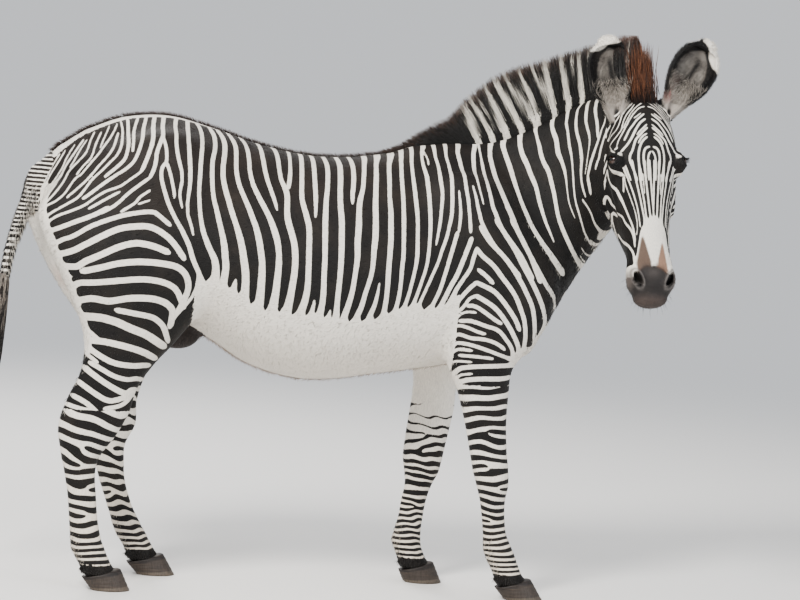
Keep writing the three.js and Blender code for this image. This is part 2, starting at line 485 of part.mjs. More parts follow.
// thins a closed mesh by collapsing the edges that matter least to its shape
function thin(mesh, target, weight = () => 1) {
  const P = Float64Array.from(mesh.pos), T = Int32Array.from(mesh.tri);
  const nv = P.length / 3, nf = T.length / 3;
  const Q = new Float64Array(nv * 10), around = Array.from({ length: nv }, () => []);
  const alive = new Uint8Array(nf).fill(1), stamp = new Int32Array(nv);
  const normal = (a, b, c) => {
    const ux = P[b * 3] - P[a * 3], uy = P[b * 3 + 1] - P[a * 3 + 1], uz = P[b * 3 + 2] - P[a * 3 + 2];
    const vx = P[c * 3] - P[a * 3], vy = P[c * 3 + 1] - P[a * 3 + 1], vz = P[c * 3 + 2] - P[a * 3 + 2];
    return [uy * vz - uz * vy, uz * vx - ux * vz, ux * vy - uy * vx];
  };
  for (let f = 0; f < nf; f++) {
    const [a, b, c] = [T[f * 3], T[f * 3 + 1], T[f * 3 + 2]];
    const m = normal(a, b, c), len = Math.hypot(...m);
    for (const v of [a, b, c]) around[v].push(f);
    if (len < 1e-9) continue;
    const x = m[0] / len, y = m[1] / len, z = m[2] / len;
    const d = -(x * P[a * 3] + y * P[a * 3 + 1] + z * P[a * 3 + 2]);
    const k = [x * x, x * y, x * z, x * d, y * y, y * z, y * d, z * z, z * d, d * d];
    for (const v of [a, b, c]) {
      const w = len * weight([P[v * 3], P[v * 3 + 1], P[v * 3 + 2]]) / 6;
      for (let i = 0; i < 10; i++) Q[v * 10 + i] += k[i] * w;
    }
  }
  const cost = (q, x, y, z) => q[0] * x * x + 2 * q[1] * x * y + 2 * q[2] * x * z + 2 * q[3] * x + q[4] * y * y +
    2 * q[5] * y * z + 2 * q[6] * y + q[7] * z * z + 2 * q[8] * z + q[9];
  const q10 = new Float64Array(10);
  function plan(u, v) {
    for (let i = 0; i < 10; i++) q10[i] = Q[u * 10 + i] + Q[v * 10 + i];
    const U = [P[u * 3], P[u * 3 + 1], P[u * 3 + 2]], V = [P[v * 3], P[v * 3 + 1], P[v * 3 + 2]];
    const M = [(U[0] + V[0]) / 2, (U[1] + V[1]) / 2, (U[2] + V[2]) / 2];
    const len = Math.hypot(...sub(U, V));
    const [a, b, c, d, e, f, g, h, i] = [q10[0], q10[1], q10[2], q10[1], q10[4], q10[5], q10[2], q10[5], q10[7]];
    const det = a * (e * i - f * h) - b * (d * i - f * g) + c * (d * h - e * g);
    let best = M, bc = cost(q10, ...M);
    const tr = (a + e + i) / 3;
    if (Math.abs(det) > 1e-3 * tr * tr * tr) {
      const r = [-q10[3], -q10[6], -q10[8]];
      const X = [
        (r[0] * (e * i - f * h) - b * (r[1] * i - f * r[2]) + c * (r[1] * h - e * r[2])) / det,
        (a * (r[1] * i - f * r[2]) - r[0] * (d * i - f * g) + c * (d * r[2] - r[1] * g)) / det,
        (a * (e * r[2] - r[1] * h) - b * (d * r[2] - r[1] * g) + r[0] * (d * h - e * g)) / det,
      ];
      if (Math.hypot(...sub(X, M)) < len) { best = X; bc = cost(q10, ...X); }
    }
    return [Math.max(bc, 0) + 2e-4 * len * len * len * len * 0.05, best];
  }
  const heap = [];
  const push = (n) => {
    let i = heap.length; heap.push(n);
    while (i > 0) { const p = (i - 1) >> 1; if (heap[p][0] <= n[0]) break; heap[i] = heap[p]; i = p; }
    heap[i] = n;
  };
  const pop = () => {
    const top = heap[0], n = heap.pop();
    if (heap.length) {
      let i = 0;
      for (;;) {
        let c = 2 * i + 1;
        if (c >= heap.length) break;
        if (c + 1 < heap.length && heap[c + 1][0] < heap[c][0]) c++;
        if (heap[c][0] >= n[0]) break;
        heap[i] = heap[c]; i = c;
      }
      heap[i] = n;
    }
    return top;
  };
  const offer = (u, v) => { const [c, x] = plan(u, v); push([c, u, v, stamp[u], stamp[v], x]); };
  for (let f = 0; f < nf; f++) for (let i = 0; i < 3; i++) {
    const a = T[f * 3 + i], b = T[f * 3 + (i + 1) % 3];
    if (a < b) offer(a, b);
  }
  const ring = (v) => { const s = new Set(); for (const f of around[v]) if (alive[f]) for (let i = 0; i < 3; i++) s.add(T[f * 3 + i]); s.delete(v); return s; };
  let left = nf;
  while (left > target && heap.length) {
    const [, u, v, su, sv, x] = pop();
    if (stamp[u] !== su || stamp[v] !== sv || stamp[u] < 0 || stamp[v] < 0) continue;
    const ru = ring(u), rv = ring(v);
    let common = 0;
    for (const w of ru) if (rv.has(w)) common++;
    if (common !== 2 || ru.size + rv.size - 4 < 3 || ru.size + rv.size > 18) continue;
    const old = [P[u * 3], P[u * 3 + 1], P[u * 3 + 2]], oldV = [P[v * 3], P[v * 3 + 1], P[v * 3 + 2]];
    let ok = true;
    const faces = new Set([...around[u], ...around[v]]);
    const before = new Map();
    for (const f of faces) {
      if (!alive[f]) continue;
      const t = [T[f * 3], T[f * 3 + 1], T[f * 3 + 2]];
      if (t.includes(u) && t.includes(v)) continue;
      before.set(f, normal(...t));
    }
    for (let j = 0; j < 3; j++) { P[u * 3 + j] = x[j]; P[v * 3 + j] = x[j]; }
    for (const [f, m] of before) {
      const t = [T[f * 3], T[f * 3 + 1], T[f * 3 + 2]];
      const k = normal(...t), lk = Math.hypot(...k);
      const e = Math.max(Math.hypot(P[t[0] * 3] - P[t[1] * 3], P[t[0] * 3 + 1] - P[t[1] * 3 + 1], P[t[0] * 3 + 2] - P[t[1] * 3 + 2]),
        Math.hypot(P[t[1] * 3] - P[t[2] * 3], P[t[1] * 3 + 1] - P[t[2] * 3 + 1], P[t[1] * 3 + 2] - P[t[2] * 3 + 2]),
        Math.hypot(P[t[2] * 3] - P[t[0] * 3], P[t[2] * 3 + 1] - P[t[0] * 3 + 1], P[t[2] * 3 + 2] - P[t[0] * 3 + 2]));
      if (dot(k, m) < 0.35 * lk * Math.hypot(...m) || lk < 0.12 * e * e) { ok = false; break; }
    }
    if (!ok) {
      for (let j = 0; j < 3; j++) { P[u * 3 + j] = old[j]; P[v * 3 + j] = oldV[j]; }
      continue;
    }
    for (let i = 0; i < 10; i++) Q[u * 10 + i] += Q[v * 10 + i];
    for (const f of around[v]) {
      if (!alive[f]) continue;
      const t = [T[f * 3], T[f * 3 + 1], T[f * 3 + 2]];
      if (t.includes(u)) { alive[f] = 0; left--; continue; }
      for (let i = 0; i < 3; i++) if (T[f * 3 + i] === v) T[f * 3 + i] = u;
      around[u].push(f);
    }
    around[u] = around[u].filter((f) => alive[f]);
    around[v] = [];
    stamp[v] = -1; stamp[u]++;
    for (const w of ring(u)) offer(u, w);
  }
  const map = new Map(), pos = [], tri = [];
  for (let f = 0; f < nf; f++) {
    if (!alive[f]) continue;
    for (let i = 0; i < 3; i++) {
      const v = T[f * 3 + i];
      if (!map.has(v)) { map.set(v, pos.length / 3); pos.push(P[v * 3], P[v * 3 + 1], P[v * 3 + 2]); }
      tri.push(map.get(v));
    }
  }
  return { pos: Float64Array.from(pos), tri: Int32Array.from(tri) };
}

// ---------------------------------------------------------------- solids
const solidOf = (m) => new wasm.Manifold(new wasm.Mesh({
  numProp: 3, vertProperties: Float32Array.from(m.pos), triVerts: Uint32Array.from(m.tri),
}));
const meshOf = (s) => {
  const g = s.getMesh(), pos = [];
  for (let i = 0; i < g.vertProperties.length; i += g.numProp) pos.push(g.vertProperties[i], g.vertProperties[i + 1], g.vertProperties[i + 2]);
  return { pos: Float64Array.from(pos), tri: Int32Array.from(g.triVerts) };
};
function fromGeometry(geometry, matrix = null) {
  const g = geometry.clone();
  for (const k of Object.keys(g.attributes)) if (k !== 'position') g.deleteAttribute(k);
  if (matrix) g.applyMatrix4(matrix);
  const m = mergeVertices(g, 1e-3);
  return { pos: Float64Array.from(m.attributes.position.array), tri: Int32Array.from(m.index.array) };
}
// a box whose lower face lies on a plane: the space on the normal's side of the plane
function beyond(point, normal, size = [3000, 3000, 3000]) {
  const q = new THREE.Quaternion().setFromUnitVectors(new THREE.Vector3(0, 0, 1), new THREE.Vector3(...unit(normal)));
  const m = new THREE.Matrix4().compose(new THREE.Vector3(...point), q, new THREE.Vector3(1, 1, 1));
  m.multiply(new THREE.Matrix4().makeTranslation(0, 0, size[2] / 2));
  return solidOf(fromGeometry(new THREE.BoxGeometry(...size), m));
}
const block = (lo, hi) => solidOf(fromGeometry(new THREE.BoxGeometry(hi[0] - lo[0], hi[1] - lo[1], hi[2] - lo[2]),
  new THREE.Matrix4().makeTranslation((lo[0] + hi[0]) / 2, (lo[1] + hi[1]) / 2, (lo[2] + hi[2]) / 2)));
// the same mesh grown outward by a little
function grown(m, by) {
  const n = new Float64Array(m.pos.length), pos = Float64Array.from(m.pos);
  for (let f = 0; f < m.tri.length; f += 3) {
    const [a, b, c] = [m.tri[f], m.tri[f + 1], m.tri[f + 2]].map((v) => [m.pos[v * 3], m.pos[v * 3 + 1], m.pos[v * 3 + 2]]);
    const k = cross(sub(b, a), sub(c, a));
    for (let i = 0; i < 3; i++) for (let j = 0; j < 3; j++) n[m.tri[f + i] * 3 + j] += k[j];
  }
  for (let v = 0; v < n.length; v += 3) {
    const l = Math.hypot(n[v], n[v + 1], n[v + 2]) || 1;
    for (let j = 0; j < 3; j++) pos[v + j] += by * n[v + j] / l;
  }
  return { pos, tri: m.tri };
}
// keeps the largest connected body of a mesh
function largest(m) {
  const nv = m.pos.length / 3, up = Int32Array.from({ length: nv }, (_, i) => i);
  const root = (i) => { while (up[i] !== i) { up[i] = up[up[i]]; i = up[i]; } return i; };
  for (let f = 0; f < m.tri.length; f += 3) { up[root(m.tri[f + 1])] = root(m.tri[f]); up[root(m.tri[f + 2])] = root(m.tri[f]); }
  const count = new Map();
  for (let f = 0; f < m.tri.length; f += 3) { const r = root(m.tri[f]); count.set(r, (count.get(r) || 0) + 1); }
  const keep = [...count.entries()].sort((x, y) => y[1] - x[1])[0][0];
  const map = new Map(), pos = [], tri = [];
  for (let f = 0; f < m.tri.length; f += 3) {
    if (root(m.tri[f]) !== keep) continue;
    for (let i = 0; i < 3; i++) {
      const v = m.tri[f + i];
      if (!map.has(v)) { map.set(v, pos.length / 3); pos.push(m.pos[v * 3], m.pos[v * 3 + 1], m.pos[v * 3 + 2]); }
      tri.push(map.get(v));
    }
  }
  return { pos: Float64Array.from(pos), tri: Int32Array.from(tri) };
}

// ---------------------------------------------------------------- the flesh, thinned
const bodyMesh = settle(surfaceNets(flesh, [-960, -500, 0], [1260, 400, 1740], GRID), flesh);
const nearHead = (p) => (0.64 * p[0] - 0.77 * p[1] > 650 ? HEAD_DETAIL : (p[2] < 620 ? 2.5 : 1));
let body = solidOf(thin(bodyMesh, BODY_FACES, nearHead));

// eyeballs sit where a line out through the orbit meets the skin
const eyes = {};
for (const [name, g] of [['eye_right', -1], ['eye_left', 1]]) {
  const from = H(228, g * 60, -50);
  const dir = unit([0, 1, 2].map((i) => 0.9 * g * AX_S[i] + 0.42 * AX_F[i]));
  let t = 0;
  while (t < 120 && flesh([0, 1, 2].map((i) => from[i] + dir[i] * t)) < 0) t += 0.25;
  eyes[name] = [0, 1, 2].map((i) => from[i] + dir[i] * (t - EYE_R + EYE_PROUD));
}
const ball = (c, r, detail) => fromGeometry(new THREE.IcosahedronGeometry(r, detail), new THREE.Matrix4().makeTranslation(...c));
for (const c of Object.values(eyes)) body = body.subtract(solidOf(ball(c, EYE_R + GAP * 1.6, 2)));

// ---------------------------------------------------------------- ears
function earLoft(e, hollow) {
  const lateral = cross(e.up, e.front);
  const rows = (hollow ? EAR_ROWS.slice(0, -1) : EAR_ROWS).map(([height, width, depth, shift]) => {
    const at = (d) => [0, 1, 2].map((i) => e.base[i] + e.up[i] * height + e.front[i] * (shift + d));
    const back = hollow ? (height < 30 ? 0.4 * depth : -depth + EAR_WALL) : -depth;
    const front = hollow ? depth + 50 : depth;
    const w = hollow ? Math.max(width - EAR_WALL - 2, 4) * (height < 30 ? 0.8 : 1) : width;
    return [...at(front), ...at(back), w, 0, 0, hollow ? 2.2 : 2];
  });
  return new Loft(rows, 15, hollow ? 12 : 24, { lateral, normal: e.up });
}
const smax = (a, b, k) => -smin(-a, -b, k);
const fleshSkin = grown(meshOf(body), GAP);
const fleshOut = solidOf(fleshSkin);
const ears = {};
for (const [name, e] of Object.entries(EARS)) {
  const outer = earLoft(e, false), inner = earLoft(e, true);
  const field = (p) => smax(outer.value(p), -inner.value(p), 4);
  const fine = settle(surfaceNets(field, outer.lo, outer.hi, 4), field, 1);
  ears[name] = largest(meshOf(solidOf(thin(largest(fine), EAR_FACES)).subtract(fleshOut)));
}

// ---------------------------------------------------------------- mane, tail and tassel
function loftMesh(loft, h, faces) {
  const field = (p) => loft.value(p);
  return thin(largest(settle(surfaceNets(field, loft.lo, loft.hi, h), field)), faces);
}
let mane = solidOf(loftMesh(new Loft(MANE, 20, 20), 9, MANE_FACES)).subtract(fleshOut);
for (const m of Object.values(ears)) mane = mane.subtract(solidOf(grown(m, 3 * GAP)));
const tailWhole = loftMesh(new Loft(TAIL, 20, 20), 7, TAIL_FACES);
const tail = largest(meshOf(solidOf(tailWhole).subtract(fleshOut)));
const tassel = largest(meshOf(solidOf(loftMesh(new Loft(TASSEL, 20, 50), 8, TASSEL_FACES)).subtract(solidOf(grown(tail, 2 * GAP)))));

// ---------------------------------------------------------------- hooves
// rings of an oval that is rounder at the toe, from the ground to the sloping coronet
function hoofMesh([toe, heel, topToe, topHeel, y]) {
  const levels = [0, 0.12, 0.5, 0.86, 1], pos = [], tri = [];
  levels.forEach((t) => {
    const bulge = 1 + 0.03 * Math.sin(Math.PI * t);
    const cut = t === 0 ? 0.975 : 1;
    for (let i = 0; i < HOOF_SIDES; i++) {
      const a = (2 * Math.PI * i) / HOOF_SIDES, c = Math.cos(a), s = Math.sin(a);
      const x0 = THREE.MathUtils.lerp(toe, topToe, t), x1 = THREE.MathUtils.lerp(heel, topHeel, t);
      const w = THREE.MathUtils.lerp(HOOF_HALF_WIDTH, HOOF_TOP_HALF_WIDTH, t) * (c < 0 ? 1 - 0.1 * c * c : 1);
      const u = (x0 + x1) / 2 + ((x0 - x1) / 2) * cut * c;
      const z = t * (HOOF_TOP_HEEL + (HOOF_TOP_TOE - HOOF_TOP_HEEL) * (u - x1) / (x0 - x1));
      pos.push(u, y + w * cut * bulge * s, t === 0 ? 0 : z);
    }
  });
  const last = levels.length - 1, S = HOOF_SIDES;
  for (let k = 0; k < last; k++) for (let i = 0; i < S; i++) {
    const j = (i + 1) % S;
    tri.push(k * S + i, k * S + j, (k + 1) * S + j, k * S + i, (k + 1) * S + j, (k + 1) * S + i);
  }
  for (let i = 1; i < S - 1; i++) {
    tri.push(0, i + 1, i);
    tri.push(last * S, last * S + i, last * S + i + 1);
  }
  return { pos: Float64Array.from(pos), tri: Int32Array.from(tri) };
}
const hooves = {};
const soleSide = {};
for (const [name, h] of Object.entries(HOOVES)) {
  hooves[name] = hoofMesh(h);
  const slope = Math.atan2(HOOF_TOP_TOE - HOOF_TOP_HEEL, h[2] - h[3]);
  const n = [Math.sin(slope), 0, -Math.cos(slope)];      // points down into the hoof
  const p = [h[2] - n[0] * GAP, h[4], HOOF_TOP_TOE - n[2] * GAP];
  soleSide[name] = [p, n];
  body = body.subtract(beyond(p, n, [400, 200, 200]));
}

// ---------------------------------------------------------------- parting the flesh
// each cut is a plane: [point, normal]; the piece keeps what lies on the normal's side
const half = GAP / 2;
const HEAD_CUT = { p: [650 / 0.64, 0, 0], n: unit([0.64, -0.77, 0]) };
const NECK_CUT = { p: [430, 0, 1450], n: unit([0.819, 0, 0.574]) };
const THIGH_CUT = { p: [-280, 0, 785], n: unit([0.2425, 0, 0.97]) };
const shifted = (c, by) => c.p.map((v, i) => v + c.n[i] * by);
const behind = (c, by) => beyond(shifted(c, by), c.n.map((v) => -v));
const ahead = (c, by) => beyond(shifted(c, by), c.n);

const pieces = {};
const frontBlock = block([430, -450, 650], [1400, 450, 2000]);
const front = body.intersect(frontBlock).intersect(ahead(NECK_CUT, half));
pieces.head = front.intersect(ahead(HEAD_CUT, half));
pieces.neck = front.intersect(behind(HEAD_CUT, -half));

const foreBlock = (s, z0, z1) => (s < 0 ? block([370, -300, z0], [860, 0, z1]) : block([370, 0, z0], [860, 300, z1]));
for (const [side, s] of [['right', -1], ['left', 1]]) {
  pieces[`fore_leg_${side}_upper`] = body.intersect(foreBlock(s, KNEE_Z + half, ELBOW_Z - half));
  pieces[`fore_leg_${side}_lower`] = body.intersect(foreBlock(s, -10, KNEE_Z - half));
}
const hindBlock = (s, z0, z1) => (s < 0 ? block([-900, -400, z0], [-268, -52, z1]) : block([-900, 52, z0], [-268, 400, z1]));
for (const [side, s] of [['right', -1], ['left', 1]]) {
  pieces[`hind_leg_${side}_upper`] = body.intersect(hindBlock(s, HOCK_Z + half, 1000)).intersect(behind(THIGH_CUT, -half));
  pieces[`hind_leg_${side}_lower`] = body.intersect(hindBlock(s, -10, HOCK_Z - half));
}
let trunk = body.subtract(ahead(NECK_CUT, -half).intersect(frontBlock));
for (const s of [-1, 1]) {
  trunk = trunk.subtract(foreBlock(s, -20, ELBOW_Z + half));
  trunk = trunk.subtract(hindBlock(s, -20, 1000).intersect(behind(THIGH_CUT, half)));
}
pieces.trunk = trunk;

// ---------------------------------------------------------------- the scene graph
const COAT = { color: 0x8a8681, roughness: 0.75, metalness: 0 };
const DARK = { color: 0x1d1a19, roughness: 0.85, metalness: 0 };
const HORN = { color: 0x4a4038, roughness: 0.55, metalness: 0 };
const EYE = { color: 0x150d09, roughness: 0.08, metalness: 0 };
const zebra = new THREE.Group();
function add(name, m, look) {
  const g = new THREE.BufferGeometry();
  const pos = new Float32Array(m.pos.length);
  for (let i = 0; i < pos.length; i += 3) for (let j = 0; j < 3; j++) pos[i + j] = m.pos[i + j];
  g.setAttribute('position', new THREE.BufferAttribute(pos, 3));
  g.setIndex(Array.from(m.tri));
  g.computeVertexNormals();
  const mesh = new THREE.Mesh(g, new THREE.MeshStandardMaterial(look));
  mesh.name = name;
  mesh.position.set(...SHIFT);
  zebra.add(mesh);
}
for (const [name, s] of Object.entries(pieces)) add(name, largest(meshOf(s)), COAT);
add('mane', largest(meshOf(mane)), DARK);
for (const [name, m] of Object.entries(ears)) add(name, m, COAT);
add('tail', tail, COAT);
add('tail_tassel', tassel, DARK);
for (const [name, c] of Object.entries(eyes)) add(name, ball(c, EYE_R, 2), EYE);
for (const [name, m] of Object.entries(hooves)) add(name, m, HORN);

export default zebra;
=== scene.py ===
# Looks of the zebra: one skin with its markings, eyes, hooves, mane, tail and coat.
# All lengths in the tables are millimetres before SHIFT; the scene is in metres.
import math
import bpy
import numpy as np
from mathutils import Matrix, Vector


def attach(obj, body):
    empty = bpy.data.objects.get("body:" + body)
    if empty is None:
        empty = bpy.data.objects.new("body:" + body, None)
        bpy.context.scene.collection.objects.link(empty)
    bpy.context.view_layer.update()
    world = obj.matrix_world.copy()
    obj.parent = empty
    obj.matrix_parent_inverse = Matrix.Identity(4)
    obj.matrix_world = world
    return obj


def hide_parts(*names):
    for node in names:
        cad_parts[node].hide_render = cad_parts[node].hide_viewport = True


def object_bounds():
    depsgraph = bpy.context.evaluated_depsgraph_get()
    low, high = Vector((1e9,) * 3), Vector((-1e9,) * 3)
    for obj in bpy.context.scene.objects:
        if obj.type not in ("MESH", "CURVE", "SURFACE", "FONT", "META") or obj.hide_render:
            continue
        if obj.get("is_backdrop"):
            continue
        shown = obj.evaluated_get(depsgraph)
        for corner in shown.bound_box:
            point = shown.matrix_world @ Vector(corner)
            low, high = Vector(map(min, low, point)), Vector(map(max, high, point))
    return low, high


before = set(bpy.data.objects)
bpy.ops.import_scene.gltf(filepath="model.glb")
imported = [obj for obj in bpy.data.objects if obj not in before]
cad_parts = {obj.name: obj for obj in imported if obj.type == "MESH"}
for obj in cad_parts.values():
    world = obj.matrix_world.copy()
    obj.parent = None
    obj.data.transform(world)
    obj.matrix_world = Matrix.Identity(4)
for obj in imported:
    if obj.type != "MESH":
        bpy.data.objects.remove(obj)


def note_size(when):
    lo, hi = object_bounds()
    SIZE[when] = {"low": [float(v) for v in lo], "high": [float(v) for v in hi]}


SIZE = {}
note_size("frame")

SHIFT = np.array([-0.147, 0.066, 0.0])
COAT = 0.004                 # the skin lies this far inside the solids
GRID = 0.0110                # spacing of the skin's samples before it is refined
RNG = np.random.default_rng(7)

# ------------------------------------------------------------------ shape, as in the solids
# body sections: upper or front point x y z, lower or rear point x y z, half width (mm), turn (deg), egg, roundness
TRUNK = [
    [-835, 0, 1325, -835, 0, 1160, 50, 0, -0.1, 2],
    [-780, 0, 1385, -780, 0, 1090, 105, 0, -0.2, 2],
    [-700, 0, 1438, -700, 0, 1020, 165, 0, -0.22, 2],
    [-580, 0, 1484, -580, 0, 930, 220, 0, -0.2, 2],
    [-440, 0, 1494, -440, 0, 865, 262, 0, -0.15, 2],
    [-300, 0, 1462, -300, 0, 800, 285, 0, -0.1, 2],
    [-150, 0, 1418, -150, 0, 712, 298, 0, -0.08, 2],
    [0, 0, 1391, 0, 0, 672, 303, 0, -0.08, 2],
    [120, 0, 1389, 120, 0, 672, 298, 0, -0.1, 2],
    [250, 0, 1405, 250, 0, 692, 282, 0, -0.16, 2],
    [380, 0, 1428, 380, 0, 712, 255, 0, -0.25, 2],
    [500, 0, 1440, 500, 0, 735, 235, 0, -0.32, 2],
    [620, 0, 1400, 620, 0, 775, 215, 0, -0.2, 2],
    [730, 0, 1250, 730, 0, 850, 165, 0, 0, 2],
]
# neck
NECK = [
    [330, 0, 1410, 600, 0, 800, 215, 0, -0.3, 2],
    [342, 0, 1420, 743, 0, 763, 205, 0, -0.35, 2],
    [439, 0, 1435, 808, 0, 850, 188, 0, -0.4, 2],
    [556, 0, 1450, 855, 0, 939, 165, 3, -0.42, 2],
    [670, -10, 1485, 896, -20, 1014, 145, 10, -0.4, 2],
    [756, -25, 1528, 926, -45, 1073, 130, 20, -0.36, 2],
    [832, -55, 1575, 948, -75, 1122, 120, 32, -0.3, 2],
    [906, -95, 1616, 969, -110, 1177, 110, 46, -0.22, 2],
    [977, -150, 1631, 999, -140, 1226, 100, 60, -0.1, 2],
]
# fore leg, right
FORE_RIGHT = [
    [801, -145, 990, 497, -145, 1090, 80, 0, 0, 2],
    [785, -165, 900, 464, -165, 960, 88, 0, 0, 2],
    [744, -168, 820, 450, -168, 840, 80, 0, 0, 2],
    [688, -163, 745, 471, -163, 745, 66, 0, 0, 2],
    [680, -158, 660, 508, -158, 660, 52, 0, 0, 2],
    [679, -155, 570, 535, -155, 570, 44, 0, 0, 2],
    [686, -153, 480, 557, -153, 480, 42, 0, 0, 2],
    [696, -152, 410, 573, -152, 410, 47, 0, 0, 2],
    [698, -152, 365, 588, -152, 365, 47, 0, 0, 2],
    [691, -152, 320, 601, -152, 320, 38, 0, 0, 2],
    [692, -152, 270, 610, -152, 270, 32, 0, 0, 2],
    [701, -152, 210, 618, -152, 210, 33, 0, 0, 2],
    [724, -152, 160, 622, -152, 160, 40, 0, 0, 2],
    [742, -152, 117, 632, -152, 133, 40, 0, 0, 2],
    [760, -152, 78, 649, -152, 102, 40, 0, 0, 2],
    [785, -152, 43, 667, -152, 67, 46, 0, 0, 2],
]
# fore leg, left
FORE_LEFT = [
    [755, 145, 990, 462, 145, 1090, 80, 0, 0, 2],
    [715, 160, 900, 432, 160, 960, 88, 0, 0, 2],
    [655, 160, 820, 412, 160, 840, 80, 0, 0, 2],
    [594, 155, 745, 412, 155, 745, 66, 0, 0, 2],
    [575, 150, 660, 423, 150, 660, 52, 0, 0, 2],
    [569, 148, 570, 416, 148, 570, 44, 0, 0, 2],
    [553, 146, 480, 406, 146, 480, 42, 0, 0, 2],
    [540, 146, 410, 402, 146, 410, 47, 0, 0, 2],
    [530, 146, 365, 409, 146, 365, 47, 0, 0, 2],
    [509, 146, 320, 413, 146, 320, 38, 0, 0, 2],
    [494, 146, 270, 405, 146, 270, 32, 0, 0, 2],
    [486, 146, 210, 397, 146, 210, 33, 0, 0, 2],
    [482, 146, 160, 385, 146, 160, 40, 0, 0, 2],
    [486, 146, 117, 381, 146, 133, 40, 0, 0, 2],
    [502, 146, 78, 393, 146, 102, 40, 0, 0, 2],
    [524, 146, 43, 409, 146, 67, 46, 0, 0, 2],
]
# hind leg, right
HIND_RIGHT = [
    [-408, -100, 1300, -768, -100, 1300, 100, 0, 0, 2],
    [-340, -150, 1190, -851, -150, 1190, 115, 0, 0, 2],
    [-311, -170, 1090, -827, -170, 1090, 125, 0, 0, 2],
    [-306, -180, 990, -778, -180, 990, 122, 0, 0, 2],
    [-327, -185, 900, -735, -185, 900, 105, 0, 0, 2],
    [-387, -185, 810, -703, -185, 830, 82, 0, 0, 2],
    [-462, -182, 720, -691, -182, 760, 66, 0, 0, 2],
    [-512, -178, 640, -702, -178, 680, 56, 0, 0, 2],
    [-534, -174, 560, -737, -174, 600, 47, 0, 0, 2],
    [-572, -170, 485, -760, -170, 515, 45, 0, 0, 2],
    [-617, -167, 420, -750, -167, 440, 43, 0, 0, 2],
    [-629, -165, 370, -734, -165, 370, 36, 0, 0, 2],
    [-623, -164, 300, -720, -164, 300, 33, 0, 0, 2],
    [-614, -163, 220, -711, -163, 220, 34, 0, 0, 2],
    [-599, -162, 155, -704, -162, 155, 41, 0, 0, 2],
    [-581, -162, 112, -700, -162, 128, 41, 0, 0, 2],
    [-563, -162, 76, -684, -162, 100, 41, 0, 0, 2],
    [-539, -162, 43, -663, -162, 67, 46, 0, 0, 2],
]
# hind leg, left
HIND_LEFT = [
    [-397, 100, 1300, -758, 100, 1300, 100, 0, 0, 2],
    [-324, 150, 1190, -859, 150, 1190, 115, 0, 0, 2],
    [-283, 170, 1090, -836, 170, 1090, 125, 0, 0, 2],
    [-257, 180, 990, -786, 180, 990, 122, 0, 0, 2],
    [-257, 185, 900, -729, 185, 900, 105, 0, 0, 2],
    [-337, 185, 810, -677, 185, 830, 82, 0, 0, 2],
    [-405, 182, 720, -641, 182, 760, 66, 0, 0, 2],
    [-445, 178, 640, -628, 178, 680, 56, 0, 0, 2],
    [-468, 174, 560, -652, 174, 600, 47, 0, 0, 2],
    [-469, 170, 485, -662, 170, 515, 45, 0, 0, 2],
    [-499, 167, 420, -634, 167, 440, 43, 0, 0, 2],
    [-501, 165, 370, -606, 165, 370, 36, 0, 0, 2],
    [-494, 164, 300, -584, 164, 300, 33, 0, 0, 2],
    [-468, 163, 220, -556, 163, 220, 34, 0, 0, 2],
    [-434, 162, 155, -534, 162, 155, 41, 0, 0, 2],
    [-409, 162, 112, -521, 162, 128, 41, 0, 0, 2],
    [-388, 162, 76, -502, 162, 100, 41, 0, 0, 2],
    [-364, 162, 43, -484, 162, 67, 46, 0, 0, 2],
]
# dock of the tail
TAIL = [
    [-780, 0, 1375, -760, 0, 1300, 37, 0, 0, 2],
    [-838, 0, 1325, -800, 0, 1262, 35, 0, 0, 2],
    [-880, 0, 1245, -832, 0, 1205, 30, 0, 0, 2],
    [-914, 0, 1150, -868, 0, 1130, 26, 0, 0, 2],
    [-938, 0, 1050, -898, 0, 1040, 22, 0, 0, 2],
    [-952, 0, 950, -914, 0, 950, 20, 0, 0, 2],
]
# long hair of the tail
TASSEL = [
    [-953, 0, 970, -912, 0, 970, 22, 0, 0, 2],
    [-974, 0, 880, -914, 0, 870, 32, 0, 0, 2],
    [-990, 0, 780, -920, 0, 770, 38, 0, 0, 2],
    [-996, 0, 680, -930, 0, 670, 34, 0, 0, 2],
    [-988, 0, 590, -950, 0, 590, 20, 0, 0, 2],
]
# standing mane
MANE = [
    [238, 0, 1425, 262, 0, 1388, 12, -0, -0.3, 2.5],
    [333, 0, 1468, 401, 0, 1414, 22, -0, -0.3, 2.5],
    [457, 0, 1512, 512, 0, 1425, 28, -0, -0.3, 2.5],
    [522, 0, 1589, 577, 0, 1428, 30, 4, -0.3, 2.5],
    [594, -10, 1654, 659, -10, 1449, 30, 7.6, -0.3, 2.5],
    [672, -20, 1694, 727, -20, 1485, 30, 11.7, -0.3, 2.5],
    [751, -40, 1721, 793, -40, 1524, 30, 16.6, -0.3, 2.5],
    [827, -60, 1748, 857, -65, 1567, 30, 24.5, -0.3, 2.5],
    [894, -100, 1775, 924, -105, 1598, 30, 35.5, -0.3, 2.5],
    [952, -150, 1802, 983, -155, 1610, 30, 48.8, -0.3, 2.5],
    [1004, -225, 1832, 1038, -235, 1610, 26, 55.6, -0.3, 2.5],
]
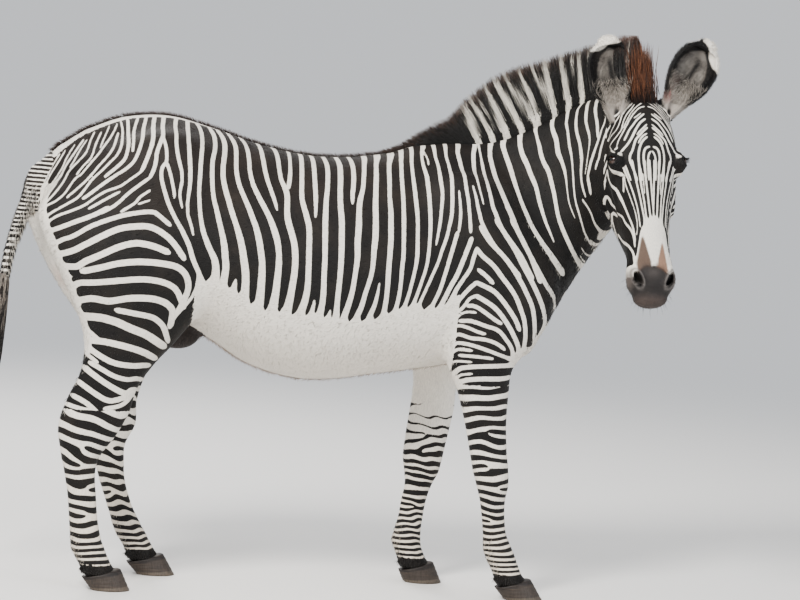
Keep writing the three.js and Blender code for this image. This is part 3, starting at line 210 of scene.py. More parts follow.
# skull: a and f of the dorsal point, a and f of the ventral point, half width, egg, roundness
SKULL = [
    [10, -22, 30, -155, 66, 0, 2],
    [50, -2, 60, -170, 90, 0, 2.2],
    [105, 12, 110, -180, 104, 0.04, 2.3],
    [165, 18, 172, -185, 110, 0.06, 2.4],
    [225, 14, 232, -185, 110, 0.04, 2.4],
    [290, 6, 295, -178, 101, -0.03, 2.3],
    [365, -2, 370, -166, 88, -0.1, 2.2],
    [450, -10, 450, -152, 76, -0.1, 2.2],
    [525, -18, 525, -142, 71, -0.02, 2.2],
    [588, -28, 583, -138, 79, 0.02, 2.3],
    [640, -44, 630, -134, 78, 0.02, 2.3],
    [678, -72, 660, -126, 55, 0, 2.2],
]
# lower jaw
JAW = [
    [130, -120, 100, -235, 66, 0, 2],
    [200, -110, 190, -270, 88, 0, 2.2],
    [280, -100, 282, -272, 96, 0, 2.2],
    [360, -90, 372, -252, 88, 0, 2.2],
    [450, -80, 460, -214, 71, 0, 2.1],
    [540, -70, 540, -180, 54, 0, 2],
    [612, -80, 612, -170, 48, 0, 2],
]
# ear: height, half width, half depth, shift forward
EAR = [
    [-30, 28, 32, 0],
    [20, 46, 38, 0],
    [55, 63, 41, 0],
    [90, 74, 41, -2],
    [130, 78, 37, -6],
    [165, 74, 31, -11],
    [195, 60, 24, -16],
    [216, 36, 15, -20],
]
# pale stripes of trunk, rump and shoulder: x, z and width of each bend (mm)
PALE_SIDE = [
    (-827, 1121, 13, -810, 1127, 13, -753, 1154, 13, -690, 1181, 13, -643, 1207, 13), (-827, 1104, 10, -806, 1104, 10),
    (-810, 1078, 13, -780, 1100, 13, -747, 1115, 13, -690, 1151, 13, -609, 1182, 13, -548, 1196, 13, -509, 1200, 13, -492, 1194, 13, -451, 1162, 13),
    (-792, 1052, 18, -749, 1068, 18, -709, 1092, 18, -659, 1121, 18, -608, 1145, 18, -556, 1154, 18, -512, 1154, 18, -468, 1133, 18, -436, 1105, 18, -403, 1060, 18),
    (-780, 1019, 19, -734, 1020, 19, -710, 1038, 19, -665, 1061, 19, -607, 1090, 19, -555, 1103, 19, -502, 1096, 19, -453, 1078, 19),
    (-716, 1007, 19, -663, 1022, 19, -605, 1039, 19, -536, 1047, 19, -469, 1043, 19, -424, 1034, 19, -396, 1012, 19, -384, 977, 19, -391, 942, 19, -414, 888, 19),
    (-767, 983, 10, -746, 987, 10),
    (-745, 940, 18, -726, 968, 18, -681, 974, 18, -619, 983, 18, -533, 993, 18, -467, 986, 18, -425, 965, 18, -404, 928, 18, -392, 907, 16),
    (-729, 909, 20, -682, 924, 20, -631, 919, 20, -573, 931, 20, -508, 934, 20, -458, 923, 20, -431, 899, 20, -430, 870, 20, -433, 845, 20),
    (-606, 893, 17, -547, 884, 17, -489, 873, 17, -456, 847, 17, -442, 817, 17, -432, 795, 14),
    (-703, 864, 24, -652, 865, 24, -601, 854, 24, -556, 836, 24, -507, 818, 24, -464, 792, 24, -442, 779, 21),
    (-693, 826, 13, -677, 815, 13, -655, 797, 13, -639, 783, 11), (-677, 790, 20, -630, 789, 20, -560, 776, 20, -515, 763, 20, -489, 751, 20, -466, 739, 17),
    (-683, 769, 17, -644, 744, 17, -600, 724, 17, -547, 717, 17, -508, 718, 17, -485, 718, 15), (-682, 744, 11, -666, 734, 11, -649, 722, 9.6),
    (-673, 720, 14, -641, 705, 14, -597, 682, 14, -552, 672, 14, -512, 673, 14, -442, 632, 12),
    (-688, 704, 18, -661, 684, 17, -612, 653, 17, -557, 627, 18, -530, 638, 18, -465, 606, 15),
    (-705, 659, 16, -658, 628, 16, -609, 603, 16, -565, 612, 16, -543, 615, 13), (-720, 614, 15, -678, 594, 15, -641, 563, 15, -623, 542, 15, -607, 525, 13),
    (-738, 586, 13, -707, 577, 13, -672, 570, 13, -651, 566, 11), (-620, 577, 13, -572, 587, 13, -546, 604, 13, -528, 622, 13, -470, 597, 12),
    (-513, 1487, 8.9, -528, 1453, 8.8, -544, 1411, 8.8, -555, 1381, 8.7, -570, 1350, 8.7, -595, 1325, 8.7, -618, 1308, 8.7, -654, 1280, 8.8, -690, 1251, 8.7, -720, 1229, 8.7),
    (-539, 1483, 7.3, -555, 1451, 7.3, -566, 1416, 7.2, -572, 1382, 7.2),
    (-573, 1474, 8.9, -577, 1433, 8.8, -586, 1386, 8.8, -597, 1355, 8.7, -619, 1331, 8.8, -653, 1299, 8.8),
    (-595, 1465, 6.2, -593, 1432, 6.1, -606, 1389, 6.1, -621, 1363, 6.1, -636, 1347, 6.1, -662, 1317, 6.1, -691, 1287, 6.1, -720, 1249, 6.1, -740, 1228, 6.1, -773, 1207, 6.1, -809, 1184, 6.1, -833, 1161, 6.1, -838, 1131, 6.1),
    (-606, 1431, 5.8, -624, 1392, 5.7, -645, 1361, 5.7, -670, 1332, 5.7, -703, 1289, 5.7, -739, 1255, 5.7, -768, 1229, 5.7),
    (-607, 1457, 4.8, -626, 1422, 4.8, -652, 1389, 4.8, -679, 1356, 4.8, -704, 1326, 4.8, -723, 1300, 4.8, -740, 1287, 4.8, -758, 1263, 4.8, -777, 1237, 4.8, -804, 1214, 4.8, -831, 1197, 4.8, -840, 1172, 4.8, -841, 1146, 4.8),
    (-630, 1450, 3.9, -648, 1415, 3.8, -664, 1383, 3.8), (-656, 1429, 4.6, -675, 1394, 4.6, -693, 1354, 4.6, -716, 1328, 4.6, -737, 1298, 4.6),
    (-676, 1428, 4.2, -691, 1400, 4.2, -704, 1370, 4.2, -728, 1342, 4.2, -754, 1312, 4.2, -771, 1280, 4.2, -793, 1250, 4.2, -828, 1209, 4.2),
    (-700, 1404, 3.2, -725, 1368, 3.2, -755, 1319, 3.2),
    (-710, 1403, 4.2, -739, 1362, 4.2, -765, 1323, 4.2, -779, 1291, 4.2, -803, 1258, 4.2, -826, 1229, 4.2, -839, 1207, 4.2, -845, 1182, 4.2),
    (-737, 1385, 3.2, -761, 1347, 3.2, -778, 1308, 3.2, -802, 1266, 3.2), (-764, 1368, 3.6, -787, 1327, 3.5, -810, 1286, 3.6, -824, 1249, 3.6, -834, 1209, 3.6),
    (-781, 1355, 2.9, -803, 1315, 2.9, -822, 1272, 2.9, -832, 1240, 2.9), (-813, 1324, 2.6, -825, 1292, 2.6, -831, 1266, 2.6),
    (-534, 1343, 6.8, -546, 1323, 6.8, -581, 1294, 6.8, -610, 1272, 6.8, -650, 1255, 6.9, -683, 1234, 6.8, -716, 1210, 6.8, -755, 1191, 6.8, -797, 1172, 6.8, -825, 1149, 6.9, -834, 1126, 6.9),
    (-609, 1256, 7.2, -655, 1229, 7.2, -703, 1200, 7.2),
    (-520, 1305, 9.2, -556, 1276, 9.2, -585, 1251, 9.2, -610, 1225, 9.2, -640, 1203, 9.2, -680, 1184, 9.2, -730, 1163, 9.2, -767, 1145, 9.2, -803, 1128, 9.3),
    (-518, 1266, 7.7, -547, 1244, 7.7, -564, 1223, 7.7, -605, 1196, 7.7), (-517, 1236, 6.2, -551, 1222, 6.2),
    (512, 1160, 14, 494, 1109, 14, 470, 1047, 14, 449, 1006, 14, 426, 955, 14, 410, 925, 14), (466, 1175, 12, 442, 1089, 12, 416, 998, 12, 396, 950, 12, 385, 913, 12),
    (530, 1130, 12, 520, 1099, 12, 510, 1062, 12, 479, 1015, 12, 455, 970, 12, 432, 918, 12),
    (530, 1128, 14, 548, 1106, 14, 584, 1078, 14, 615, 1041, 14, 656, 992, 14, 681, 942, 14, 697, 899, 14, 705, 843, 14, 702, 804, 14),
    (537, 1062, 13, 561, 1045, 13, 586, 1022, 13), (533, 1022, 13, 510, 1001, 13, 482, 967, 13, 463, 930, 13, 444, 896, 13),
    (533, 1022, 14, 561, 1010, 14, 591, 996, 14, 619, 969, 14, 647, 934, 14, 667, 905, 14, 681, 876, 14), (533, 980, 10, 512, 968, 10, 495, 942, 10, 480, 927, 10),
    (533, 980, 14, 559, 967, 14, 597, 943, 14, 629, 908, 14, 659, 865, 14, 682, 824, 14, 690, 789, 14),
    (509, 946, 12, 531, 947, 12, 561, 931, 12, 592, 910, 12, 618, 895, 12), (448, 877, 7.2, 470, 897, 7.2, 490, 920, 7.2, 514, 928, 7.2, 536, 926, 7.2),
    (486, 897, 12, 524, 899, 12, 564, 887, 12, 609, 874, 12, 638, 846, 12, 661, 816, 12, 670, 789, 12),
    (449, 847, 10, 466, 870, 10, 486, 882, 10, 519, 876, 10, 544, 866, 10, 570, 860, 10),
    (460, 797, 11, 473, 839, 11, 489, 854, 11, 528, 844, 11, 571, 842, 11, 613, 829, 11, 637, 812, 11),
    (477, 815, 11, 488, 826, 11, 530, 822, 11, 578, 809, 11, 617, 796, 11, 662, 781, 11), (464, 770, 9.5, 481, 798, 9.4, 500, 806, 9.4, 533, 804, 9.4),
    (497, 786, 10, 533, 786, 10, 573, 784, 10, 601, 781, 10), (472, 750, 7.3, 491, 766, 7.3, 535, 767, 7.3),
    (490, 726, 14, 507, 745, 14, 555, 753, 14, 610, 757, 14, 671, 759, 14), (493, 705, 7.3, 509, 722, 7.3, 541, 729, 7.3),
    (505, 696, 15, 531, 708, 15, 577, 714, 15, 635, 715, 15, 674, 719, 15), (561, 639, 13, 545, 680, 12, 585, 675, 12, 631, 672, 12, 680, 691, 12),
    (538, 657, 8, 587, 654, 8, 618, 650, 8),
    (539, 1197, 14, 550, 1179, 14, 573, 1148, 14, 612, 1112, 14, 644, 1075, 14, 677, 1029, 14, 698, 993, 14, 720, 950, 14, 732, 899, 14, 740, 845, 14),
    (589, 1220, 15, 618, 1180, 15, 654, 1129, 15, 682, 1080, 15, 711, 1035, 15, 737, 990, 15, 762, 939, 15, 773, 897, 15, 763, 859, 15),
    (642, 1222, 15, 665, 1183, 15, 697, 1129, 15, 734, 1069, 15, 764, 1023, 15, 797, 985, 15, 830, 936, 15),
    (-485, 1495, 11, -502, 1448, 11, -512, 1411, 11, -523, 1380, 11, -535, 1349, 11, -546, 1324, 11), (-455, 1496, 13, -469, 1461, 11, -479, 1427, 11),
    (-479, 1430, 11, -492, 1403, 11, -500, 1379, 11, -502, 1360, 11, -507, 1336, 11, -520, 1304, 10), (-478, 1430, 10, -471, 1404, 9.3, -469, 1377, 9.3, -470, 1353, 9.3),
    (-471, 1356, 9.3, -483, 1337, 10, -485, 1312, 11, -479, 1285, 11, -470, 1258, 12, -460, 1230, 12, -448, 1206, 12, -431, 1176, 12, -416, 1152, 13, -401, 1125, 14, -387, 1095, 14, -378, 1067, 15, -365, 1039, 14, -354, 1018, 14, -352, 996, 13, -359, 964, 11, -373, 935, 9.3, -394, 909, 9.3, -412, 887, 7.8, -420, 871, 6.2),
    (-470, 1356, 9.3, -461, 1332, 9.3, -454, 1308, 9.3, -448, 1284, 9.3, -443, 1262, 9.3, -442, 1247, 7.7),
    (-414, 1495, 13, -428, 1465, 11, -437, 1423, 11, -436, 1388, 11, -429, 1355, 11, -422, 1328, 10, -421, 1297, 9.3, -425, 1269, 8.7, -424, 1248, 7.7, -416, 1217, 6.2),
    (-379, 1490, 13, -389, 1458, 13, -397, 1425, 12, -397, 1380, 13, -395, 1335, 13, -395, 1289, 11, -399, 1249, 9.9, -400, 1224, 9.3, -396, 1193, 9.3, -385, 1163, 8.7, -378, 1135, 7.1),
    (-358, 1477, 9.5, -350, 1464, 11, -346, 1444, 13, -353, 1411, 13, -360, 1366, 13, -363, 1321, 13, -365, 1275, 12, -362, 1229, 12, -357, 1189, 12, -348, 1149, 14, -334, 1113, 16, -320, 1085, 17, -308, 1061, 20, -302, 1030, 22, -302, 991, 28),
    (-317, 1464, 7.9, -309, 1450, 13, -304, 1431, 14, -309, 1402, 14, -321, 1367, 14, -324, 1331, 14, -323, 1291, 13, -318, 1252, 13, -308, 1215, 14, -299, 1179, 15, -289, 1143, 16, -281, 1106, 19, -276, 1069, 20, -272, 1038, 20, -275, 1000, 22, -278, 967, 28),
    (-289, 1454, 9.5, -278, 1437, 14, -273, 1414, 16, -279, 1382, 16, -286, 1353, 16, -288, 1317, 16, -281, 1280, 16, -270, 1244, 16, -259, 1208, 16, -246, 1172, 16, -234, 1136, 19, -225, 1100, 20, -217, 1060, 22, -210, 1019, 22, -208, 978, 23, -207, 933, 28),
    (-239, 1002, 7.8, -242, 979, 16, -244, 953, 22, -244, 927, 28),
    (-254, 1444, 7.9, -244, 1429, 13, -237, 1406, 14, -240, 1374, 14, -243, 1338, 14, -238, 1303, 14, -225, 1267, 14, -210, 1234, 15, -197, 1202, 16, -184, 1169, 17, -174, 1133, 19, -167, 1096, 19, -161, 1056, 19, -160, 1015, 22, -160, 974, 23, -161, 923, 28),
    (-215, 1434, 7.9, -203, 1418, 11, -198, 1395, 13, -198, 1363, 13, -198, 1331, 13, -190, 1295, 14, -175, 1263, 15, -159, 1233, 16, -142, 1201, 16, -127, 1165, 19, -116, 1129, 19, -110, 1092, 17, -109, 1052, 19, -111, 1012, 20, -113, 971, 22, -118, 919, 28),
    (-159, 1422, 9.5, -152, 1407, 13, -151, 1379, 14, -149, 1347, 14, -144, 1315, 13, -133, 1279, 12, -123, 1250, 11, -116, 1223, 7.8),
    (-117, 1414, 7.9, -103, 1402, 13, -100, 1377, 14, -101, 1345, 13, -98, 1313, 13, -87, 1287, 16, -82, 1263, 17, -84, 1230, 17, -83, 1197, 19, -72, 1158, 19, -62, 1122, 19, -58, 1085, 19, -58, 1045, 19, -62, 1001, 20, -67, 957, 22, -74, 909, 28),
    (-75, 1408, 8, -55, 1401, 11, -58, 1384, 11, -63, 1355, 11, -68, 1326, 13, -77, 1290, 13),
    (-32, 1399, 8, -17, 1393, 13, -22, 1368, 14, -30, 1321, 14, -35, 1262, 15, -24, 1213, 17, -15, 1172, 17, -15, 1103, 17, -15, 1047, 17, -15, 994, 18, -19, 953, 20, -30, 911, 25, -41, 878, 28),
    (19, 1393, 11, 18, 1375, 14, 12, 1323, 14, 10, 1272, 14, 8, 1234, 11, 6, 1206, 7.2), (9, 949, 6.2, 6, 921, 12, -2, 889, 19, -12, 860, 25),
    (57, 1387, 13, 59, 1371, 14, 59, 1350, 14, 51, 1300, 14, 43, 1257, 15, 38, 1205, 17, 36, 1149, 17, 36, 1083, 16, 35, 1026, 16, 36, 977, 17, 34, 932, 19, 26, 884, 25),
    (62, 919, 6.2, 58, 896, 14, 52, 868, 22),
    (98, 1385, 13, 101, 1364, 16, 96, 1326, 16, 90, 1284, 16, 88, 1241, 17, 90, 1198, 18, 89, 1142, 18, 88, 1081, 17, 86, 1028, 16, 83, 974, 16, 82, 929, 17, 82, 877, 23),
    (138, 1389, 9.6, 142, 1374, 14, 141, 1346, 14, 135, 1307, 14, 129, 1277, 13, 127, 1251, 7.8),
    (191, 1396, 16, 180, 1368, 13, 172, 1334, 13, 164, 1296, 13, 152, 1261, 16, 147, 1227, 17, 145, 1187, 19, 140, 1131, 19, 140, 1087, 17, 135, 1043, 15, 130, 998, 15, 122, 953, 17, 110, 907, 20, 101, 861, 25),
    (235, 1403, 19, 219, 1374, 13, 212, 1336, 15, 205, 1289, 16, 201, 1246, 17, 200, 1202, 18, 198, 1155, 19, 193, 1107, 17, 190, 1058, 14, 182, 1018, 14, 170, 977, 14, 161, 936, 16, 147, 894, 19, 141, 856, 25),
    (214, 1010, 4.7, 210, 978, 9.4, 203, 942, 13, 192, 909, 16, 181, 873, 22),
    (279, 1412, 19, 259, 1372, 13, 253, 1325, 14, 249, 1278, 13, 250, 1231, 16, 249, 1187, 17, 248, 1143, 17, 245, 1099, 16, 242, 1051, 16, 241, 1002, 15, 239, 956, 15, 234, 915, 16, 223, 874, 22),
    (312, 1428, 13, 300, 1386, 12, 294, 1339, 12, 293, 1296, 13, 293, 1249, 13, 292, 1202, 14, 291, 1153, 13, 290, 1100, 13, 286, 1056, 13, 284, 1011, 12, 279, 962, 13, 270, 921, 14, 260, 885, 19),
    (341, 1447, 11, 340, 1422, 12, 332, 1384, 10, 331, 1341, 11, 333, 1294, 13, 336, 1250, 13, 338, 1207, 12, 337, 1154, 12, 336, 1102, 13, 330, 1057, 11, 320, 1012, 11, 311, 972, 11, 298, 930, 13, 281, 895, 17),
    (372, 1467, 13, 381, 1440, 16, 369, 1411, 8.9, 368, 1377, 10, 375, 1343, 13, 377, 1296, 12, 379, 1252, 12, 380, 1199, 12, 377, 1147, 11, 372, 1094, 11, 364, 1054, 10, 351, 1013, 10, 337, 968, 11, 320, 919, 16),
    (377, 1416, 5.1, 385, 1395, 5.7, 385, 1378, 4.8),
    (408, 1472, 13, 412, 1438, 13, 411, 1405, 9.5, 416, 1371, 9.5, 416, 1333, 11, 419, 1290, 10, 415, 1245, 10, 411, 1206, 9.4, 405, 1170, 7.9, 398, 1134, 5.7),
    (446, 1486, 13, 450, 1444, 13, 446, 1410, 8.9, 450, 1373, 9.5, 449, 1331, 11, 449, 1274, 11, 447, 1229, 11, 439, 1189, 10, 430, 1153, 10, 416, 1113, 10, 406, 1082, 9.4, 390, 1045, 9.4, 373, 1005, 9.4, 356, 964, 9.4, 340, 919, 13),
    (494, 1469, 19, 493, 1445, 15, 486, 1421, 13, 488, 1397, 13, 490, 1369, 12, 491, 1340, 11, 494, 1309, 11, 499, 1279, 10, 502, 1248, 10, 505, 1220, 10, 508, 1179, 11),
    (547, 1491, 22, 556, 1466, 19, 547, 1445, 13, 537, 1414, 13, 534, 1390, 13, 531, 1364, 11, 532, 1338, 7, 538, 1308, 6, 548, 1268, 5.1),
    (515, 1322, 5.7, 523, 1292, 7.9, 529, 1261, 9.5, 535, 1237, 11, 542, 1212, 11, 556, 1185, 11, 576, 1154, 11, 600, 1124, 11, 623, 1103, 11, 644, 1079, 11, 672, 1047, 13),
    (470, 1305, 5.7, 473, 1271, 7.6, 475, 1240, 8.8, 474, 1212, 8.8, 470, 1178, 8.2),
    (560, 1406, 6.4, 562, 1382, 10, 563, 1353, 10, 566, 1324, 11, 572, 1294, 11, 578, 1263, 12, 588, 1239, 13, 601, 1208, 13, 618, 1181, 13, 635, 1160, 13, 656, 1135, 12, 677, 1108, 12, 695, 1077, 12, 716, 1041, 14),
    (600, 1487, 19, 602, 1462, 16, 594, 1432, 13, 592, 1407, 13, 596, 1377, 14, 601, 1348, 15, 608, 1321, 16, 618, 1292, 16, 630, 1265, 16, 643, 1237, 16, 656, 1207, 16, 664, 1188, 15, 680, 1160, 15, 698, 1130, 14, 712, 1099, 14, 726, 1068, 14, 744, 1030, 16),
    (646, 1499, 22, 646, 1477, 17, 636, 1453, 15, 639, 1431, 13, 645, 1407, 13, 654, 1376, 14, 664, 1343, 14, 674, 1307, 13, 684, 1274, 14, 697, 1240, 16, 711, 1210, 17, 730, 1179, 17, 752, 1149, 18, 775, 1122, 21, 803, 1089, 25, 834, 1053, 27),
    (695, 1515, 19, 694, 1493, 17, 688, 1468, 14, 689, 1447, 14, 695, 1419, 15, 706, 1394, 16, 717, 1362, 16, 732, 1325, 16, 742, 1285, 15, 752, 1249, 13, 763, 1214, 11, 777, 1186, 9.2, 791, 1155, 5.7),
    (747, 1544, 21, 746, 1524, 16, 737, 1506, 12, 737, 1491, 8.3, 742, 1469, 9.3, 745, 1451, 12, 749, 1426, 13, 757, 1402, 13, 770, 1375, 15, 779, 1341, 17, 787, 1307, 17, 794, 1269, 18, 803, 1235, 19, 815, 1204, 20, 831, 1172, 21, 848, 1144, 21, 870, 1111, 22, 904, 1076, 24, 937, 1038, 26),
    (799, 1602, 26, 799, 1570, 22, 794, 1551, 16, 786, 1532, 13, 784, 1513, 12, 788, 1495, 13, 793, 1477, 15, 795, 1455, 17, 798, 1437, 17, 805, 1415, 13, 815, 1385, 13, 820, 1354, 9.6, 825, 1319, 7.3, 833, 1278, 6.7, 853, 1235, 4.8),
    (842, 1608, 18, 838, 1585, 12, 830, 1567, 11, 825, 1545, 11, 822, 1531, 9, 824, 1514, 8.9, 826, 1486, 10, 829, 1461, 11, 834, 1430, 10, 837, 1396, 9.2, 840, 1362, 11, 844, 1324, 11, 851, 1289, 11, 864, 1253, 11, 876, 1221, 11, 891, 1189, 9.6, 908, 1164, 8.3, 921, 1147, 6.4),
    (880, 1646, 15, 882, 1620, 13, 870, 1595, 7, 857, 1579, 7, 851, 1558, 8.3, 849, 1538, 9.6, 848, 1519, 10, 851, 1498, 9.6, 856, 1473, 9.6, 859, 1448, 14, 862, 1420, 15, 861, 1392, 13, 863, 1363, 11, 869, 1332, 10, 881, 1304, 7),
    (902, 1616, 5.8, 885, 1597, 9, 880, 1581, 10, 876, 1556, 10, 875, 1537, 8.6, 878, 1519, 7.6, 882, 1501, 7.3, 883, 1479, 6, 881, 1456, 4.5, 879, 1428, 4.8, 876, 1402, 5.1, 874, 1377, 4.5),
    (907, 1602, 8.3, 903, 1583, 8.3, 903, 1562, 7.6, 905, 1537, 8.9, 905, 1515, 8.9, 906, 1496, 6.4),
    (915, 1519, 4.1, 910, 1497, 5.7, 904, 1477, 8.3, 899, 1456, 10, 892, 1432, 12, 888, 1409, 12, 884, 1387, 11, 883, 1368, 11, 889, 1342, 13, 896, 1314, 9.6),
    (871, 1293, 6.4, 890, 1273, 7.6, 903, 1253, 7.7, 917, 1225, 8.3, 935, 1201, 11, 954, 1184, 13, 985, 1169, 13), (918, 1161, 9.6, 943, 1143, 13, 980, 1145, 15),
    (888, 1138, 5.1, 919, 1110, 8.3, 959, 1074, 10), (890, 1111, 5.1, 928, 1084, 6.4),
]
# pale stripes of the neck: way along it, height off its axis and width (mm)
PALE_NECK = [
   
    (261, 380, 19, 233, 345, 19, 221, 325, 15, 204, 309, 13, 195, 288, 13, 182, 262, 12, 167, 237, 11, 153, 210, 11, 140, 182, 10, 126, 154, 10, 114, 129, 10, 95, 93, 11),
    (301, 376, 22, 282, 335, 22, 278, 309, 19, 264, 296, 13, 242, 276, 13, 228, 257, 13, 214, 236, 11, 202, 214, 7, 191, 186, 6, 178, 147, 5.1),
    (193, 252, 5.7, 178, 210, 5.7, 168, 180, 7.9, 157, 151, 9.5, 150, 127, 11, 142, 102, 11, 139, 72, 11, 140, 35, 11, 144, -3, 11, 153, -33, 11, 158, -65, 11, 164, -107, 13),
    (151, 259, 5.7, 130, 219, 5.7, 114, 189, 7.6, 99, 162, 8.8, 83, 139, 8.8),
    (277, 297, 6.4, 258, 256, 6.4, 248, 235, 10, 236, 210, 10, 224, 184, 11, 213, 155, 11, 202, 126, 12, 197, 101, 13, 192, 68, 13, 192, 35, 13, 196, 8, 13, 201, -24, 12, 205, -58, 12, 203, -94, 12, 202, -135, 14),
    (338, 342, 19, 317, 302, 19, 310, 280, 16, 294, 259, 13, 283, 240, 13, 274, 213, 14, 265, 185, 15, 259, 159, 16, 253, 129, 16, 249, 100, 16, 246, 70, 16, 242, 37, 16, 239, 17, 15, 239, -15, 15, 238, -51, 14, 234, -84, 14, 230, -118, 14, 225, -160, 16),
    (378, 326, 22, 355, 287, 22, 347, 268, 17, 334, 252, 15, 329, 233, 13, 326, 209, 13, 322, 178, 14, 316, 144, 14, 310, 108, 13, 304, 75, 14, 301, 40, 16, 298, 7, 17, 301, -30, 17, 308, -68, 18, 317, -104, 21, 328, -148, 25, 341, -196, 27),
    (414, 312, 19, 397, 270, 19, 391, 252, 17, 382, 234, 14, 376, 216, 14, 373, 189, 15, 375, 160, 16, 374, 126, 16, 375, 86, 16, 367, 48, 15, 361, 12, 13, 357, -24, 11, 357, -55, 9.2, 357, -89, 5.7),
    (460, 304, 21, 444, 262, 21, 439, 246, 16, 433, 233, 12, 432, 219, 8.3, 432, 197, 9.3, 432, 178, 12, 430, 154, 13, 432, 127, 13, 440, 94, 15, 439, 58, 17, 437, 24, 17, 430, -10, 18, 424, -43, 19, 424, -77, 20, 428, -113, 21, 433, -148, 21, 439, -188, 22, 444, -233, 24, 451, -281, 26),
    (511, 323, 26, 500, 279, 26, 495, 250, 22, 489, 236, 16, 485, 221, 13, 484, 204, 12, 488, 183, 13, 493, 161, 15, 493, 139, 17, 494, 120, 17, 502, 93, 13, 511, 56, 13, 513, 24, 9.6, 509, -10, 7.3, 507, -50, 6.7, 521, -105, 4.8),
    (545, 301, 18, 539, 256, 18, 533, 238, 12, 534, 221, 11, 534, 200, 11, 532, 188, 9, 537, 167, 8.9, 542, 137, 10, 546, 109, 11, 554, 74, 10, 557, 38, 9.2, 556, 4, 11, 553, -33, 11, 551, -67, 11, 558, -109, 11, 559, -143, 11, 554, -175, 9.6, 552, -200, 8.3, 546, -216, 6.4),
    (591, 308, 15, 584, 264, 15, 577, 242, 13, 577, 218, 7, 570, 208, 7, 570, 189, 8.3, 571, 168, 9.6, 574, 148, 10, 582, 121, 9.6, 594, 89, 9.6, 602, 59, 14, 608, 29, 15, 604, 2, 13, 603, -26, 11, 608, -60, 10, 618, -93, 7),
    (591, 268, 5.8, 598, 223, 5.8, 600, 205, 9, 603, 189, 10, 608, 162, 10, 614, 142, 8.6, 624, 119, 7.6, 635, 96, 7.3, 641, 72, 6, 641, 50, 4.5, 637, 23, 4.8, 633, 0, 5.1, 626, -23, 4.5),
    (614, 239, 8.3, 629, 197, 8.3, 635, 176, 8.3, 646, 150, 7.6, 659, 120, 8.9, 667, 95, 8.9, 673, 73, 6.4),
    (690, 140, 4.1, 682, 96, 4.1, 679, 74, 5.7, 674, 54, 8.3, 668, 36, 10, 660, 16, 12, 652, -2, 12, 645, -22, 11, 639, -38, 11, 643, -65, 13, 646, -96, 9.6),
    (596, -92, 6.4, 616, -124, 7.6, 624, -148, 7.7, 621, -176, 8.3, 617, -200, 11, 609, -216, 13, 580, -222, 13), (559, -209, 9.6, 553, -227, 13, 559, -234, 15),
    (497, -194, 5.1, 499, -229, 8.3, 502, -274, 10), (468, -206, 5.1, 466, -241, 6.4), (699, 107, 4.1, 693, 62, 4.1, 689, 40, 5.1, 687, 20, 5.7, 685, 1, 4.8),
    (683, 1, 6.4, 675, -28, 7), (190, 432, 13, 167, 393, 13, 152, 363, 13, 132, 335, 9.5, 118, 304, 9.5, 98, 272, 11, 74, 230, 10),
    (225, 424, 13, 203, 385, 13, 187, 348, 13, 167, 321, 8.9, 149, 287, 9.5, 126, 253, 11, 95, 204, 11),
    (87, 38, 14, 91, 9, 14, 107, -33, 14, 114, -81, 14, 122, -144, 14, 118, -200, 14, 109, -246, 14, 87, -297, 14),
    (71, -112, 14, 80, -144, 14, 86, -189, 14, 88, -224, 14, 85, -256, 14),
    (128, 136, 14, 131, 91, 14, 132, 70, 14, 135, 31, 14, 148, -20, 14, 155, -68, 14, 159, -124, 14, 158, -166, 14, 153, -214, 14, 137, -264, 14, 117, -314, 14),
    (184, 129, 15, 187, 84, 15, 191, 35, 15, 195, -28, 15, 193, -84, 15, 194, -137, 15, 192, -190, 15, 185, -246, 15, 170, -287, 15, 142, -314, 15),
    (237, 102, 15, 237, 57, 15, 238, 12, 15, 238, -51, 15, 238, -121, 15, 241, -177, 15, 250, -226, 15, 249, -285, 15),
]
# pale stripes of the mane: way along the roots, height over them and width (mm)
PALE_MANE = [
    (307, 130, 21, 308, 102, 21, 310, 75, 21, 312, 46, 21, 315, -30, 21), (320, 174, 10, 327, 151, 10, 335, 130, 10, 344, 100, 10),
    (340, 113, 17, 352, 76, 17, 358, 50, 17, 367, -30, 17), (350, 162, 3, 361, 120, 3, 370, 75, 3), (378, 202, 6, 383, 176, 6),
    (383, 176, 12, 390, 137, 12, 397, 102, 12), (397, 110, 21, 402, 77, 21, 405, 47, 21, 410, -30, 21), (402, 248, 7, 408, 219, 7, 412, 198, 7),
    (412, 198, 13, 420, 172, 13, 426, 142, 13), (424, 151, 19, 437, 103, 19, 449, 69, 19, 457, 35, 19, 466, -30, 19), (435, 228, 7, 443, 203, 7, 455, 160, 7),
    (452, 168, 12, 467, 121, 12, 481, 86, 12, 499, 51, 12, 524, -30, 12), (483, 212, 8, 494, 167, 8, 499, 141, 8),
    (500, 145, 15, 506, 114, 15, 511, 97, 15, 519, 63, 15, 516, 38, 15, 512, -30, 15), (516, 235, 7, 527, 191, 7, 535, 148, 7),
    (533, 157, 11, 549, 110, 11, 560, 77, 11, 572, 48, 11, 590, -30, 11), (568, 212, 16, 568, 156, 16, 573, 111, 16, 576, 71, 16, 576, 36, 16, 576, -30, 16),
    (617, 189, 12, 618, 173, 12, 623, 139, 12), (623, 142, 20, 623, 112, 20, 628, 78, 20, 632, 48, 20, 628, 30, 20, 622, -30, 20), (653, 168, 8, 660, 142, 8),
    (680, 171, 12, 682, 149, 12, 682, 120, 12), (684, 120, 15, 682, 84, 15, 684, 54, 15, 678, 36, 15, 669, -30, 15), (721, 191, 6, 717, 144, 6, 714, 79, 6),
    (769, 195, 10, 763, 138, 10, 752, 74, 10), (811, 193, 8, 801, 128, 8, 791, 69, 8), (881, 171, 8, 871, 138, 8, 863, 98, 8),
]
MANE_WAY = [0, 141, 253, 318, 404, 481, 560, 642, 726, 804, 901]
